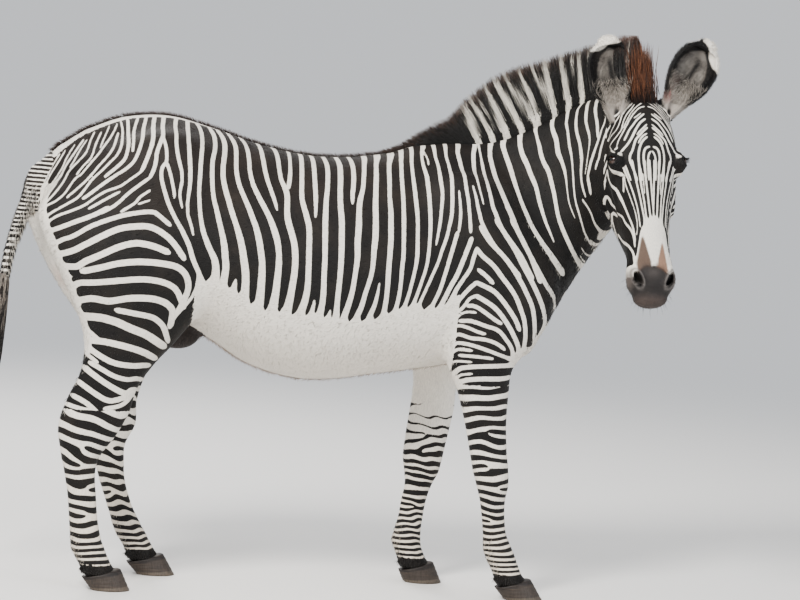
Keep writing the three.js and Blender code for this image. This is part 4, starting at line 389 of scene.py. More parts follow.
# pale stripes of the face: way round from the midline, way down from the poll and width (mm)
PALE_FACE = [
    (-45, 3, 5.3, -67, 23, 5.3, -85, 42, 5.3, -100, 61, 5.3, -127, 76, 5.3),
    (-55, 30, 4, -73, 49, 4, -89, 69, 4, -95, 82, 4, -101, 104, 4, -113, 123, 4, -136, 132, 4, -165, 143, 4.1),
    (-100, 70, 4, -115, 88, 4, -129, 106, 4, -150, 124, 4, -169, 141, 4.1), (-116, 71, 4, -146, 88, 4.1, -166, 107, 4.1, -173, 131, 4.1),
    (-21, 12, 4.1, -42, 31, 4, -61, 55, 4, -78, 77, 4, -87, 103, 4, -91, 125, 4, -100, 136, 4, -114, 148, 4, -137, 159, 4, -151, 167, 4, -118, 194, 4, -104, 206, 4),
    (-6, 27, 3.6, -32, 42, 3.6, -47, 54, 3.6, -63, 74, 3.6, -76, 101, 3.6, -86, 122, 3.6),
    (-7, 47, 4.4, -29, 53, 4.4, -43, 65, 4.4, -56, 80, 4.4, -68, 101, 4.4, -79, 123, 4.4, -90, 143, 4.4, -103, 164, 4.4, -108, 179, 4.4), (-106, 184, 8.1, -107, 192, 8),
    (-26, 73, 4.4, -40, 83, 4.4, -50, 90, 4.4), (-15, 76, 6.1, -27, 85, 6.1, -43, 99, 6, -55, 116, 6, -67, 133, 6, -73, 146, 6, -82, 165, 6),
    (-12, 94, 6.9, -29, 106, 6.9, -42, 124, 6.8, -52, 143, 6.8, -62, 164, 6.8, -74, 181, 6.8, -84, 191, 6.8, -93, 201, 6.8),
    (-9, 114, 4.8, -22, 126, 4.8, -35, 139, 4.8, -43, 150, 4.8),
    (-9, 126, 6.5, -24, 139, 6.4, -36, 153, 6.4, -48, 167, 6.4, -55, 186, 6.4, -61, 203, 6.4, -69, 218, 6.4, -71, 235, 6.4, -66, 254, 6.4, -60, 277, 6.4, -55, 300, 6.4),
    (-12, 146, 4.8, -23, 153, 4.8, -33, 164, 4.8, -41, 179, 4.8),
    (-12, 158, 6.4, -24, 168, 6.4, -34, 183, 6.4, -41, 204, 6.4, -44, 225, 6.4, -44, 246, 6.4, -40, 277, 6.4, -39, 301, 6.4),
    (-7, 191, 6.8, -19, 196, 6.8, -26, 211, 6.8, -28, 236, 6.8, -26, 267, 6.8, -24, 300, 6.8), (-3, 206, 5.6, -10, 217, 5.6, -14, 238, 5.6, -14, 267, 5.6, -13, 300, 5.6),
    (-94, 206, 5.2, -90, 232, 5.2, -87, 251, 5.2, -83, 272, 5.2, -77, 297, 5.2), (-181, 183, 4.9, -189, 199, 4.9, -195, 214, 4.9),
    (-177, 205, 5.3, -189, 221, 5.3, -202, 240, 5.3), (-65, 234, 6, -62, 269, 6, -58, 306, 6, -53, 341, 6, -48, 375, 6, -43, 410, 6, -39, 439, 6),
    (-44, 236, 6, -45, 282, 6, -41, 329, 6, -36, 367, 6, -33, 404, 6, -30, 436, 6),
    (-25, 237, 6.6, -25, 283, 6.6, -22, 330, 6.6, -19, 367, 6.6, -16, 405, 6.6, -12, 436, 6.6), (-8, 236, 6, -7, 283, 6, -5, 324, 6, -3, 361, 6, 0, 398, 6, 2, 436, 6),
    (-34, 280, 3.6, -33, 317, 3.6, -32, 345, 3.6),
    (-93, 239, 5.4, -93, 264, 5.4, -86, 293, 5.4, -78, 325, 5.4, -71, 357, 5.4, -65, 389, 5.4, -62, 421, 5.4, -61, 449, 5.4),
    (-98, 275, 4.2, -99, 306, 4.2, -92, 341, 4.2, -83, 374, 4.2, -75, 407, 4.2, -73, 444, 4.2, -81, 475, 4.2), (-125, 262, 12, -111, 270, 12, -104, 274, 12),
    (-136, 238, 7.3, -129, 254, 7.2, -113, 266, 7.2), (-103, 283, 6, -108, 307, 6, -114, 328, 6),
    (-180, 237, 9.1, -178, 264, 9.1, -165, 290, 9.1, -140, 314, 9.1, -130, 342, 9.1, -124, 370, 9, -115, 399, 9, -102, 430, 9, -94, 460, 9, -92, 495, 9),
    (-197, 261, 4.3, -215, 289, 4.3), (-180, 215, 4.3, -198, 237, 4.3, -214, 266, 4.3, -230, 293, 4.3), (-180, 234, 4.2, -198, 257, 4.3, -215, 279, 4.3, -236, 307, 4.3),
    (-248, 332, 9.8, -222, 313, 9.7, -213, 325, 9.7, -213, 352, 9.7, -154, 395, 9.7, -141, 423, 9.7, -111, 451, 9.6, -98, 479, 9.6, -96, 511, 9.6),
    (-260, 447, 10, -242, 369, 10, -205, 387, 10), (-243, 440, 11, -216, 471, 11, -149, 498, 11, -111, 528, 11, -104, 555, 11),
]

POLL = np.array([1.042997, -0.245, 1.648417])          # the head's own frame
AX_A = np.array([0.03935, -0.356294, -0.933545])       # a: down the face
AX_S = np.array([0.996157, 0.087152, 0.008727])        # s: to the animal's left
AX_F = np.array([0.078251, -0.9303, 0.358354])         # f: off the forehead
A_SCALE = 0.972
EARS = {
    "right": ([0.9587, -0.2166, 1.5872], [-0.17604, 0.12128, 0.97688], [-0.35339, -0.93402, 0.05228]),
    "left": ([1.1440, -0.2015, 1.6110], [0.48599, -0.01659, 0.87381], [-0.06184, -0.99797, 0.01545]),
}
EYES = {"right": (-1, np.array([0.9417, -0.3078, 1.4307])), "left": (1, np.array([1.1574, -0.2890, 1.4326]))}
EYE_R = 0.0208
# hooves: ground toe x, ground heel x, top toe x, top heel x, y
HOOVES = {
    "hoof_fore_right": [828, 700, 788, 668, -152],
    "hoof_fore_left": [556, 428, 527, 410, 146],
    "hoof_hind_right": [-505, -632, -536, -662, -162],
    "hoof_hind_left": [-322, -449, -361, -484, 162],
}


def head_point(a, s, f):
    a, s, f = np.broadcast_arrays(np.asarray(a, float), s, f)
    return POLL + (a * A_SCALE)[..., None] * AX_A + s[..., None] * AX_S + f[..., None] * AX_F


def head_coords(P):
    q = P - POLL
    return q @ AX_A / A_SCALE, q @ AX_S, q @ AX_F


def unit(v):
    v = np.asarray(v, float)
    return v / np.maximum(np.linalg.norm(v, axis=-1, keepdims=True), 1e-12)


def smin(a, b, k):
    h = np.clip(0.5 + 0.5 * (b - a) / k, 0, 1)
    return b + (a - b) * h - k * h * (1 - h)


def smax(a, b, k):
    return -smin(-a, -b, k)


def step(x, a, b):
    t = np.clip((x - a) / (b - a), 0, 1)
    return t * t * (3 - 2 * t)


class Loft:
    """a chain of body sections, smooth between them and rounded over at both ends"""

    def __init__(self, rows, cap0, cap1, lateral=None, normal=None):
        A = np.array(rows, float)
        T, B = A[:, 0:3] / 1000, A[:, 3:6] / 1000
        self.C = (T + B) / 2
        D = (T - B) / 2
        self.h = np.linalg.norm(D, axis=1)
        self.w = A[:, 6] / 1000
        self.D = D / self.h[:, None]
        yaw = np.radians(A[:, 7])
        L = np.stack([np.sin(yaw), np.cos(yaw), 0 * yaw], 1) if lateral is None else np.tile(lateral, (len(A), 1))
        self.L = unit(L - (L * self.D).sum(1)[:, None] * self.D)
        self.N = np.cross(self.D, self.L) if normal is None else np.tile(normal, (len(A), 1))
        self.par = normal is not None
        n = len(A)
        for i in range(n):
            if self.N[i] @ (self.C[min(i + 1, n - 1)] - self.C[max(i - 1, 0)]) < 0:
                self.N[i] *= -1
        self.e, self.n, self.cap = A[:, 8], A[:, 9], (cap0, cap1)
        m = self.w.max() + max(cap0, cap1)
        self.lo, self.hi = np.minimum(T, B).min(0) - m, np.maximum(T, B).max(0) + m

    def cubic(self, V, i, t):
        n = len(V)
        b, c = V[i], V[i + 1]
        a = V[i - 1] if i > 0 else 2 * b - c
        d = V[i + 2] if i + 2 < n else 2 * c - b
        if np.ndim(b) > 0:
            t = t[:, None]
        return 0.5 * ((2 * b) + (c - a) * t + (2 * a - 5 * b + 4 * c - d) * t * t + (3 * b - a - 3 * c + d) * t ** 3)

    def section(self, i, P, s0, s1):
        n = len(self.C)
        tot = s0 + s1
        t = np.where(s0 < 0, 0, np.where(s1 < 0, 1, np.clip(s0 / np.where(np.abs(tot) < 1e-9, 1e-9, tot), 0, 1)))
        over = np.maximum(np.maximum(-s0, -s1), 0)
        h = np.maximum(self.cubic(self.h, i, t), 0.002)
        w = np.maximum(self.cubic(self.w, i, t), 0.002)
        r = (1 - t)[:, None]
        D = unit(self.D[i] * r + self.D[i + 1] * (1 - r))
        L = unit(self.L[i] * r + self.L[i + 1] * (1 - r))
        q = P - self.cubic(self.C, i, t)
        d, l = (q * D).sum(1), (q * L).sum(1)
        e = self.e[i] * (1 - t) + self.e[i + 1] * t
        x = self.n[i] * (1 - t) + self.n[i + 1] * t
        a = np.abs(l) / (w * np.maximum(1 + e * np.clip(d / h, -1.3, 1.3), 0.15))
        b = np.abs(d) / h
        k0 = np.sqrt(a * a + b * b) if (x == 2).all() else (a ** x + b ** x) ** (1 / x)
        cap = np.where(s0 < 0, self.cap[0] if i == 0 else 0.05, self.cap[1] if i == n - 2 else 0.05)
        k0 = np.maximum(np.sqrt(k0 ** 2 + (over / cap) ** 2), 1e-4)
        ln = np.sqrt(d * d + l * l + over ** 2)
        return np.where(ln < 1e-5, -np.minimum(h, w), ln * (1 - 1 / k0)), i + t

    def value(self, P, way=False):
        n = len(self.C)
        S = (P @ self.N.T) - (self.C * self.N).sum(1)
        best, bu = np.full(len(P), 1e9), np.zeros(len(P))
        seen = np.zeros(len(P), bool)
        for i in range(n - 1):
            m = np.nonzero((S[:, i] >= 0) & (S[:, i + 1] <= 0))[0]
            if len(m):
                f, u = self.section(i, P[m], S[m, i], -S[m, i + 1])
                k = f < best[m]
                best[m[k]], bu[m[k]] = f[k], u[k]
                seen[m] = True
        m = np.nonzero(~seen)[0]
        if len(m):
            for i in range(n - 1):
                if self.par and 0 < i < n - 2:
                    continue
                f, u = self.section(i, P[m], S[m, i], -S[m, i + 1])
                if self.par:
                    f = np.where(((i == 0) & (S[m, 0] < 0)) | ((i == n - 2) & (S[m, n - 1] > 0)), f, 1e8)
                k = f < best[m]
                best[m[k]], bu[m[k]] = f[k], u[k]
        return (best, bu) if way else best


class Oval:
    def __init__(self, c, r, axes=None):
        self.c, self.r = np.array(c, float), np.array(r, float)
        self.M = np.eye(3) if axes is None else np.array(axes, float)
        self.lo, self.hi = self.c - max(r), self.c + max(r)

    def value(self, P):
        a = (P - self.c) @ self.M.T / self.r
        k0, k1 = np.linalg.norm(a, axis=1), np.linalg.norm(a / self.r, axis=1)
        return np.where(k1 < 1e-9, -self.r.min(), k0 * (k0 - 1) / np.maximum(k1, 1e-9))


def head_rows(rows):
    out = []
    for a0, f0, a1, f1, w, egg, n in rows:
        T, B = head_point(a0 / 1000, 0, f0 / 1000) * 1000, head_point(a1 / 1000, 0, f1 / 1000) * 1000
        out.append([*T, *B, w, 0, egg, n])
    return out


def head_oval(a, s, f, ra, rs, rf):
    return Oval(head_point(a, s, f), (ra, rs, rf), np.stack([AX_A, AX_S, AX_F]))


NECK_LOFT, TAIL_LOFT = Loft(NECK, 0.15, 0.05), Loft(TAIL, 0.02, 0.02)
MANE_LOFT, TASSEL_LOFT = Loft(MANE, 0.02, 0.02), Loft(TASSEL, 0.02, 0.05)
SKULL_LOFT, JAW_LOFT = Loft(head_rows(SKULL), 0.05, 0.03, AX_S), Loft(head_rows(JAW), 0.04, 0.03, AX_S)
FORMS = [(Loft(TRUNK, 0.05, 0.08), 0), (NECK_LOFT, 0.05), (Loft(FORE_RIGHT, 0.09, 0.03), 0.045), (Loft(FORE_LEFT, 0.09, 0.03), 0.045),
         (Loft(HIND_RIGHT, 0.09, 0.03), 0.05), (Loft(HIND_LEFT, 0.09, 0.03), 0.05)]
TILT = math.radians(-40)
LEAN = [[math.cos(TILT), 0, -math.sin(TILT)], [0, 1, 0], [math.sin(TILT), 0, math.cos(TILT)]]
for g in (-1, 1):
    FORMS += [(Oval((0.585, g * 0.150, 1.17), (0.11, 0.065, 0.22), LEAN), 0.09), (Oval((0.70, g * 0.13, 0.985), (0.10, 0.085, 0.12)), 0.05),
              (Oval((-0.46, g * 0.16, 1.30), (0.17, 0.10, 0.14)), 0.08)]
FORMS += [(Oval((-0.375, 0, 0.80), (0.075, 0.045, 0.052)), 0.03), (SKULL_LOFT, 0.03), (JAW_LOFT, 0.03)]
for g in (-1, 1):
    FORMS += [(head_oval(0.240, g * 0.078, -0.170, 0.100, 0.038, 0.084), 0.03), (head_oval(0.228, g * 0.106, -0.042, 0.044, 0.022, 0.036), 0.022),
              (head_oval(0.300, g * 0.088, -0.082, 0.095, 0.018, 0.022), 0.025), (head_oval(0.615, g * 0.052, -0.062, 0.036, 0.026, 0.030), 0.015),
              (head_oval(0.040, g * 0.080, -0.075, 0.040, 0.034, 0.040), 0.03)]
FORMS += [(head_oval(0.640, 0, -0.156, 0.034, 0.042, 0.026), 0.02), (head_oval(0.672, 0, -0.094, 0.030, 0.054, 0.032), 0.02), (TAIL_LOFT, 0.02)]


def flesh(P):
    f = np.full(len(P), 9.0)
    for form, k in FORMS:
        m = np.nonzero(np.all((P > form.lo - 0.12) & (P < form.hi + 0.12), axis=1))[0]
        if not len(m):
            continue
        g = form.value(P[m])
        f[m] = smin(f[m], g, k) if k > 0 else np.minimum(f[m], g)
    return f


# ------------------------------------------------------------------ lids, nostrils and lips
def eye_axes(g, c):
    gaze = unit(0.9 * g * AX_S + 0.42 * AX_F)
    up = unit(-AX_A - (-AX_A @ gaze) * gaze)
    return gaze, up, np.cross(gaze, up)


def first_f(a, s, f0=0.08, f1=-0.2, n=281):
    """how far forward the flesh stands at (a, s)"""
    f = np.linspace(f0, f1, n)
    v = flesh(head_point(a, s, f)) + COAT
    i = int(np.argmax(v < 0))
    return f[i]


NOSTRILS = []
for g in (-1, 1):
    f = first_f(0.620, g * 0.054)
    t = math.radians(24) * g
    la, ls = math.cos(t) * AX_A - math.sin(t) * AX_S, math.sin(t) * AX_A + math.cos(t) * AX_S
    NOSTRILS.append((g, head_point(0.619, g * 0.055, f - 0.004), np.stack([la, ls, AX_F])))


def lip_line(a):
    return -0.121 + 0.14 * np.clip(0.69 - a, 0, 0.2) * 0.6


def skin(P):
    f = flesh(P) + COAT
    near = np.nonzero((P[:, 0] > 0.86) & (P[:, 1] < -0.12) & (P[:, 2] > 0.9) & (f < 0.05))[0]
    if not len(near):
        return f
    Q, v = P[near], f[near]
    a, s, d = head_coords(Q)
    for g, c in EYES.values():
        gaze, up, side = eye_axes(g, c)
        q = Q - c
        r = np.linalg.norm(q, axis=1)
        m = r < 0.07
        if m.any():
            x, y, z = q[m] @ side, q[m] @ up, q[m] @ gaze
            u = v[m]
            # brow and lids wrap the ball, and a fold runs over the upper lid
            u = smin(u, r[m] - EYE_R - 0.0032, 0.010)
            fold = np.exp(-((y - 0.0165 + 14 * x * x) / 0.0022) ** 2) * step(-np.abs(x), -0.024, -0.010) * (z > 0)
            under = np.exp(-((y + 0.0165 - 12 * x * x) / 0.0022) ** 2) * step(-np.abs(x), -0.020, -0.008) * (z > 0)
            u = u + 0.0016 * fold + 0.0010 * under
            open_up, open_low = 0.0118 * (1 - (x / 0.0185) ** 2), 0.0098 * (1 - (x / 0.0185) ** 2)
            slot = np.maximum(np.maximum(y - open_up, -y - open_low), -z)
            v[m] = smax(u, -slot, 0.0015)
    for g, c, axes in NOSTRILS:
        q = (Q - c) @ axes.T
        m = np.linalg.norm(q, axis=1) < 0.08
        if m.any():
            x, y, z = q[m, 0], q[m, 1] + 9.0 * g * np.clip(q[m, 0] + 0.004, -0.03, 0.03) ** 2, q[m, 2]
            k0 = np.sqrt((x / 0.024) ** 2 + (y / 0.0090) ** 2 + (z / 0.022) ** 2)
            hole = 0.0085 * (k0 - 1)
            rim = np.sqrt((x / 0.028) ** 2 + (y / 0.0145) ** 2 + (z / 0.02) ** 2)
            u = v[m] - 0.0028 * np.exp(-((rim - 1) / 0.28) ** 2)
            v[m] = smax(u, -hole, 0.004)
    # the line of the mouth
    lip = np.abs(d - lip_line(a))
    v = v + 0.0045 * np.exp(-(lip / 0.0032) ** 2) * step(a, 0.545, 0.575) * step(a, 0.50, 0.52)
    v = v - 0.0015 * np.exp(-((lip - 0.008) / 0.005) ** 2) * step(a, 0.56, 0.59)
    f[near] = v
    return f


# ------------------------------------------------------------------ meshing
def nets(f, lo, hi, h):
    """surface nets of a field, coarse to fine"""
    lo, hi = np.array(lo, float), np.array(hi, float)
    n = ((np.ceil((hi - lo) / h).astype(int) + 4) // 4) * 4 + 1
    H, nc = h * 4, (n - 1) // 4 + 1
    gx = [lo[i] + H * np.arange(nc[i]) for i in range(3)]
    Fc = f(np.stack(np.meshgrid(*gx, indexing="ij"), -1).reshape(-1, 3)).reshape(nc)
    lim = H * 1.25

    def corners(A, op):
        r = A[:-1, :-1, :-1]
        for i in (0, 1):
            for j in (0, 1):
                for k in (0, 1):
                    r = op(r, A[i:A.shape[0] - 1 + i, j:A.shape[1] - 1 + j, k:A.shape[2] - 1 + k])
        return r

    idx = np.argwhere((corners(Fc, np.minimum) < lim) & (corners(Fc, np.maximum) > -lim))
    F = np.repeat(np.repeat(np.repeat(Fc, 4, 0), 4, 1), 4, 2)[:n[0], :n[1], :n[2]].astype(np.float32)
    o = np.arange(5)
    off = np.stack(np.meshgrid(o, o, o, indexing="ij"), -1).reshape(-1, 3)
    mask = np.zeros(n, bool)
    for a in range(125):
        p = idx * 4 + off[a]
        mask[p[:, 0], p[:, 1], p[:, 2]] = True
    pts = np.argwhere(mask)
    vals = np.empty(len(pts), np.float32)
    for s in range(0, len(pts), 300000):
        vals[s:s + 300000] = f(lo + h * pts[s:s + 300000])
    F[pts[:, 0], pts[:, 1], pts[:, 2]] = vals
    S = F < 0
    cnt = sum(S[i:n[0] - 1 + i, j:n[1] - 1 + j, k:n[2] - 1 + k].astype(np.int8) for i in (0, 1) for j in (0, 1) for k in (0, 1))
    act = (cnt > 0) & (cnt < 8) & mask[:-1, :-1, :-1] & mask[1:, 1:, 1:]
    ci = np.argwhere(act)
    vid = np.full(act.shape, -1, np.int32)
    vid[ci[:, 0], ci[:, 1], ci[:, 2]] = np.arange(len(ci))
    acc, num = np.zeros((len(ci), 3)), np.zeros(len(ci))
    for a in [(i, j, k) for i in (0, 1) for j in (0, 1) for k in (0, 1)]:
        for ax in range(3):
            if a[ax]:
                continue
            b = list(a)
            b[ax] = 1
            fa = F[ci[:, 0] + a[0], ci[:, 1] + a[1], ci[:, 2] + a[2]]
            fb = F[ci[:, 0] + b[0], ci[:, 1] + b[1], ci[:, 2] + b[2]]
            m = (fa < 0) != (fb < 0)
            p = np.tile(np.array(a, float), (len(ci), 1))
            p[:, ax] += np.where(m, fa / np.where(m, fa - fb, 1), 0)
            acc[m] += p[m]
            num[m] += 1
    V = lo + h * (ci + acc / num[:, None])
    quads = []
    for ax in range(3):
        u, v = (ax + 1) % 3, (ax + 2) % 3
        s0, s1 = [slice(None)] * 3, [slice(None)] * 3
        s0[ax], s1[ax] = slice(0, n[ax] - 1), slice(1, n[ax])
        A, B = S[tuple(s0)], S[tuple(s1)]
        e = np.argwhere(A != B)
        e = e[(e[:, u] > 0) & (e[:, v] > 0) & (e[:, u] < n[u] - 1) & (e[:, v] < n[v] - 1)]

        def at(du, dv):
            q = e.copy()
            q[:, u] -= du
            q[:, v] -= dv
            return vid[q[:, 0], q[:, 1], q[:, 2]]

        q = np.stack([at(0, 0), at(1, 0), at(1, 1), at(0, 1)], 1)
        flip = ~A[e[:, 0], e[:, 1], e[:, 2]]
        q[flip] = q[flip][:, ::-1]
        quads.append(q[(q >= 0).all(1)])
    return V, np.concatenate(quads)


def gradient(f, P, e=0.0015):
    k = np.array([[1, -1, -1], [-1, -1, 1], [-1, 1, -1], [1, 1, 1]], float)
    return sum(k[i] * f(P + e * k[i])[:, None] for i in range(4)) / (4 * e)


def settle(f, P, reach, e=0.0015):
    """moves points onto the surface and returns them with their normals"""
    g = gradient(f, P, e)
    gg = np.maximum((g * g).sum(1), 0.05)
    move = -g * (f(P) / gg)[:, None]
    ln = np.linalg.norm(move, axis=1, keepdims=True)
    return P + move * np.minimum(1, reach / np.maximum(ln, 1e-9)), unit(g)


def split(V, T, long_edge):
    """cuts every edge that long_edge picks in half"""
    E = np.sort(np.concatenate([T[:, [0, 1]], T[:, [1, 2]], T[:, [2, 0]]]), 1)
    U, inv = np.unique(E[:, 0].astype(np.int64) * len(V) + E[:, 1], return_inverse=True)
    A, B = U // len(V), U % len(V)
    cut = long_edge(V[A], V[B])
    mid = np.full(len(U), -1)
    mid[cut] = len(V) + np.arange(cut.sum())
    V2 = np.vstack([V, (V[A[cut]] + V[B[cut]]) / 2])
    n = len(T)
    m = mid[inv].reshape(3, n).T
    k = (m >= 0).sum(1)
    out = [T[k == 0]]
    for r in range(3):
        a, b, c = T[:, r], T[:, (r + 1) % 3], T[:, (r + 2) % 3]
        ab, bc, ca = m[:, r], m[:, (r + 1) % 3], m[:, (r + 2) % 3]
        s = (k == 1) & (ab >= 0)
        out += [np.stack([a, ab, c], 1)[s], np.stack([ab, b, c], 1)[s]]
        s = (k == 2) & (ab >= 0) & (bc >= 0)
        out += [np.stack([ab, b, bc], 1)[s], np.stack([a, ab, bc], 1)[s], np.stack([a, bc, c], 1)[s]]
    s = k == 3
    a, b, c = T[s, 0], T[s, 1], T[s, 2]
    ab, bc, ca = m[s, 0], m[s, 1], m[s, 2]
    out += [np.stack(x, 1) for x in ((a, ab, ca), (ab, b, bc), (ca, bc, c), (ab, bc, ca))]
    return V2, np.concatenate(out)


def relax(V, T, rounds=1, amount=0.35):
    for _ in range(rounds):
        acc, num = np.zeros_like(V), np.zeros(len(V))
        for i, j in ((0, 1), (1, 2), (2, 0)):
            for p, q in ((i, j), (j, i)):
                for ax in range(3):
                    acc[:, ax] += np.bincount(T[:, p], V[T[:, q], ax], len(V))
                num += np.bincount(T[:, p], minlength=len(V))
        V = V + amount * (acc / np.maximum(num, 1)[:, None] - V)
    return V


def tris(Q):
    return np.vstack([Q[:, [0, 1, 2]], Q[:, [0, 2, 3]]])

# ------------------------------------------------------------------ markings
def srgb(*c):
    c = np.array(c, float)
    return np.where(c <= 0.04045, c / 12.92, ((c + 0.055) / 1.055) ** 2.4)


def stroke_field(U, strokes, reach=32.0, grow=0.3):
    """signed distance (mm) to the nearest pale stroke: negative inside it; a stroke is x, y, width at each of its bends"""
    best = np.full(len(U), reach)
    order = np.argsort(U[:, 0], kind="stable")
    S = U[order]
    for stroke in strokes:
        line = np.array(stroke, float).reshape(-1, 3)
        if len(line) > 2:                       # the bends are eased
            fine = [line[0]]
            for i in range(len(line) - 1):
                a, b = line[max(i - 1, 0)], line[min(i + 2, len(line) - 1)]
                p, q = line[i], line[i + 1]
                for t in (0.33, 0.67, 1.0):
                    fine.append(0.5 * (2 * p + (q - a) * t + (2 * a - 5 * p + 4 * q - b) * t * t + (3 * p - a - 3 * q + b) * t ** 3))
            line = np.array(fine)
        line, half = line[:, :2], np.maximum(line[:, 2] / 2 + grow, 0.6)
        total = np.linalg.norm(np.diff(line, axis=0), axis=1).sum()
        run = 0.0
        for p, q, h0, h1 in zip(line[:-1], line[1:], half[:-1], half[1:]):
            d = q - p
            ln = max(np.hypot(*d), 1e-6)
            i0, i1 = np.searchsorted(S[:, 0], (min(p[0], q[0]) - reach, max(p[0], q[0]) + reach))
            if i1 > i0:
                X = S[i0:i1]
                k = np.nonzero((X[:, 1] > min(p[1], q[1]) - reach) & (X[:, 1] < max(p[1], q[1]) + reach))[0]
                if len(k):
                    w = X[k] - p
                    t = np.clip((w @ d) / ln ** 2, 0, 1)
                    r = np.hypot(w[:, 0] - t * d[0], w[:, 1] - t * d[1])
                    end = np.minimum(run + t * ln, total - run - t * ln)
                    r = r - (h0 + (h1 - h0) * t) * np.clip(0.7 + end / 16.0, 0, 1)
                    o = order[i0:i1][k]
                    best[o] = np.minimum(best[o], r)
            run += ln
    return best


WAY = np.array([0, 79, 174, 272, 368, 448, 523, 600, 673], float)      # length of the neck at its sections


def leg_line(rows, z):
    """x of the leg's middle at height z (metres)"""
    A = np.array(rows, float)
    zz, xx = (A[:, 2] + A[:, 5]) / 2000, (A[:, 0] + A[:, 3]) / 2000
    return np.interp(z, zz[::-1], xx[::-1])


def turns(z, table):
    """number of rings up to height z, for a table of (height, ring spacing) in mm"""
    t = np.array(table, float)
    h = np.arange(0, 1300, 2.0)
    gap = np.interp(h, t[:, 0], t[:, 1])
    return np.interp(z * 1000, h, np.cumsum(2.0 / gap)), np.interp(z * 1000, t[:, 0], t[:, 1])


FORE_RINGS = [(60, 14), (110, 16), (170, 20), (320, 23), (400, 28), (560, 34), (700, 38)]
HIND_RINGS = [(60, 17), (120, 20), (180, 28), (320, 34), (500, 38), (640, 44), (760, 48)]
# height of the lower edge of the stripes on the flank (x, z in mm)
BELLY = np.array([(-361, 966), (-291, 950), (-245, 925), (-190, 894), (-136, 878), (-20, 860), (50, 853), (116, 845), (180, 850), (246, 868), (318, 900), (423, 892), (470, 930)], float)
WHITE, BLACK = srgb(0.90, 0.88, 0.845), srgb(0.075, 0.066, 0.064)
BROWN, RUST = srgb(0.20, 0.155, 0.13), srgb(0.45, 0.27, 0.17)


def wave(P, seed, scale):
    """smooth wander from -1 to 1"""
    r = np.random.default_rng(seed)
    out = np.zeros(len(P))
    for i in range(5):
        k = r.normal(size=3) * scale
        out += np.sin(P @ k + r.uniform(0, 6.28))
    return out / 2.6


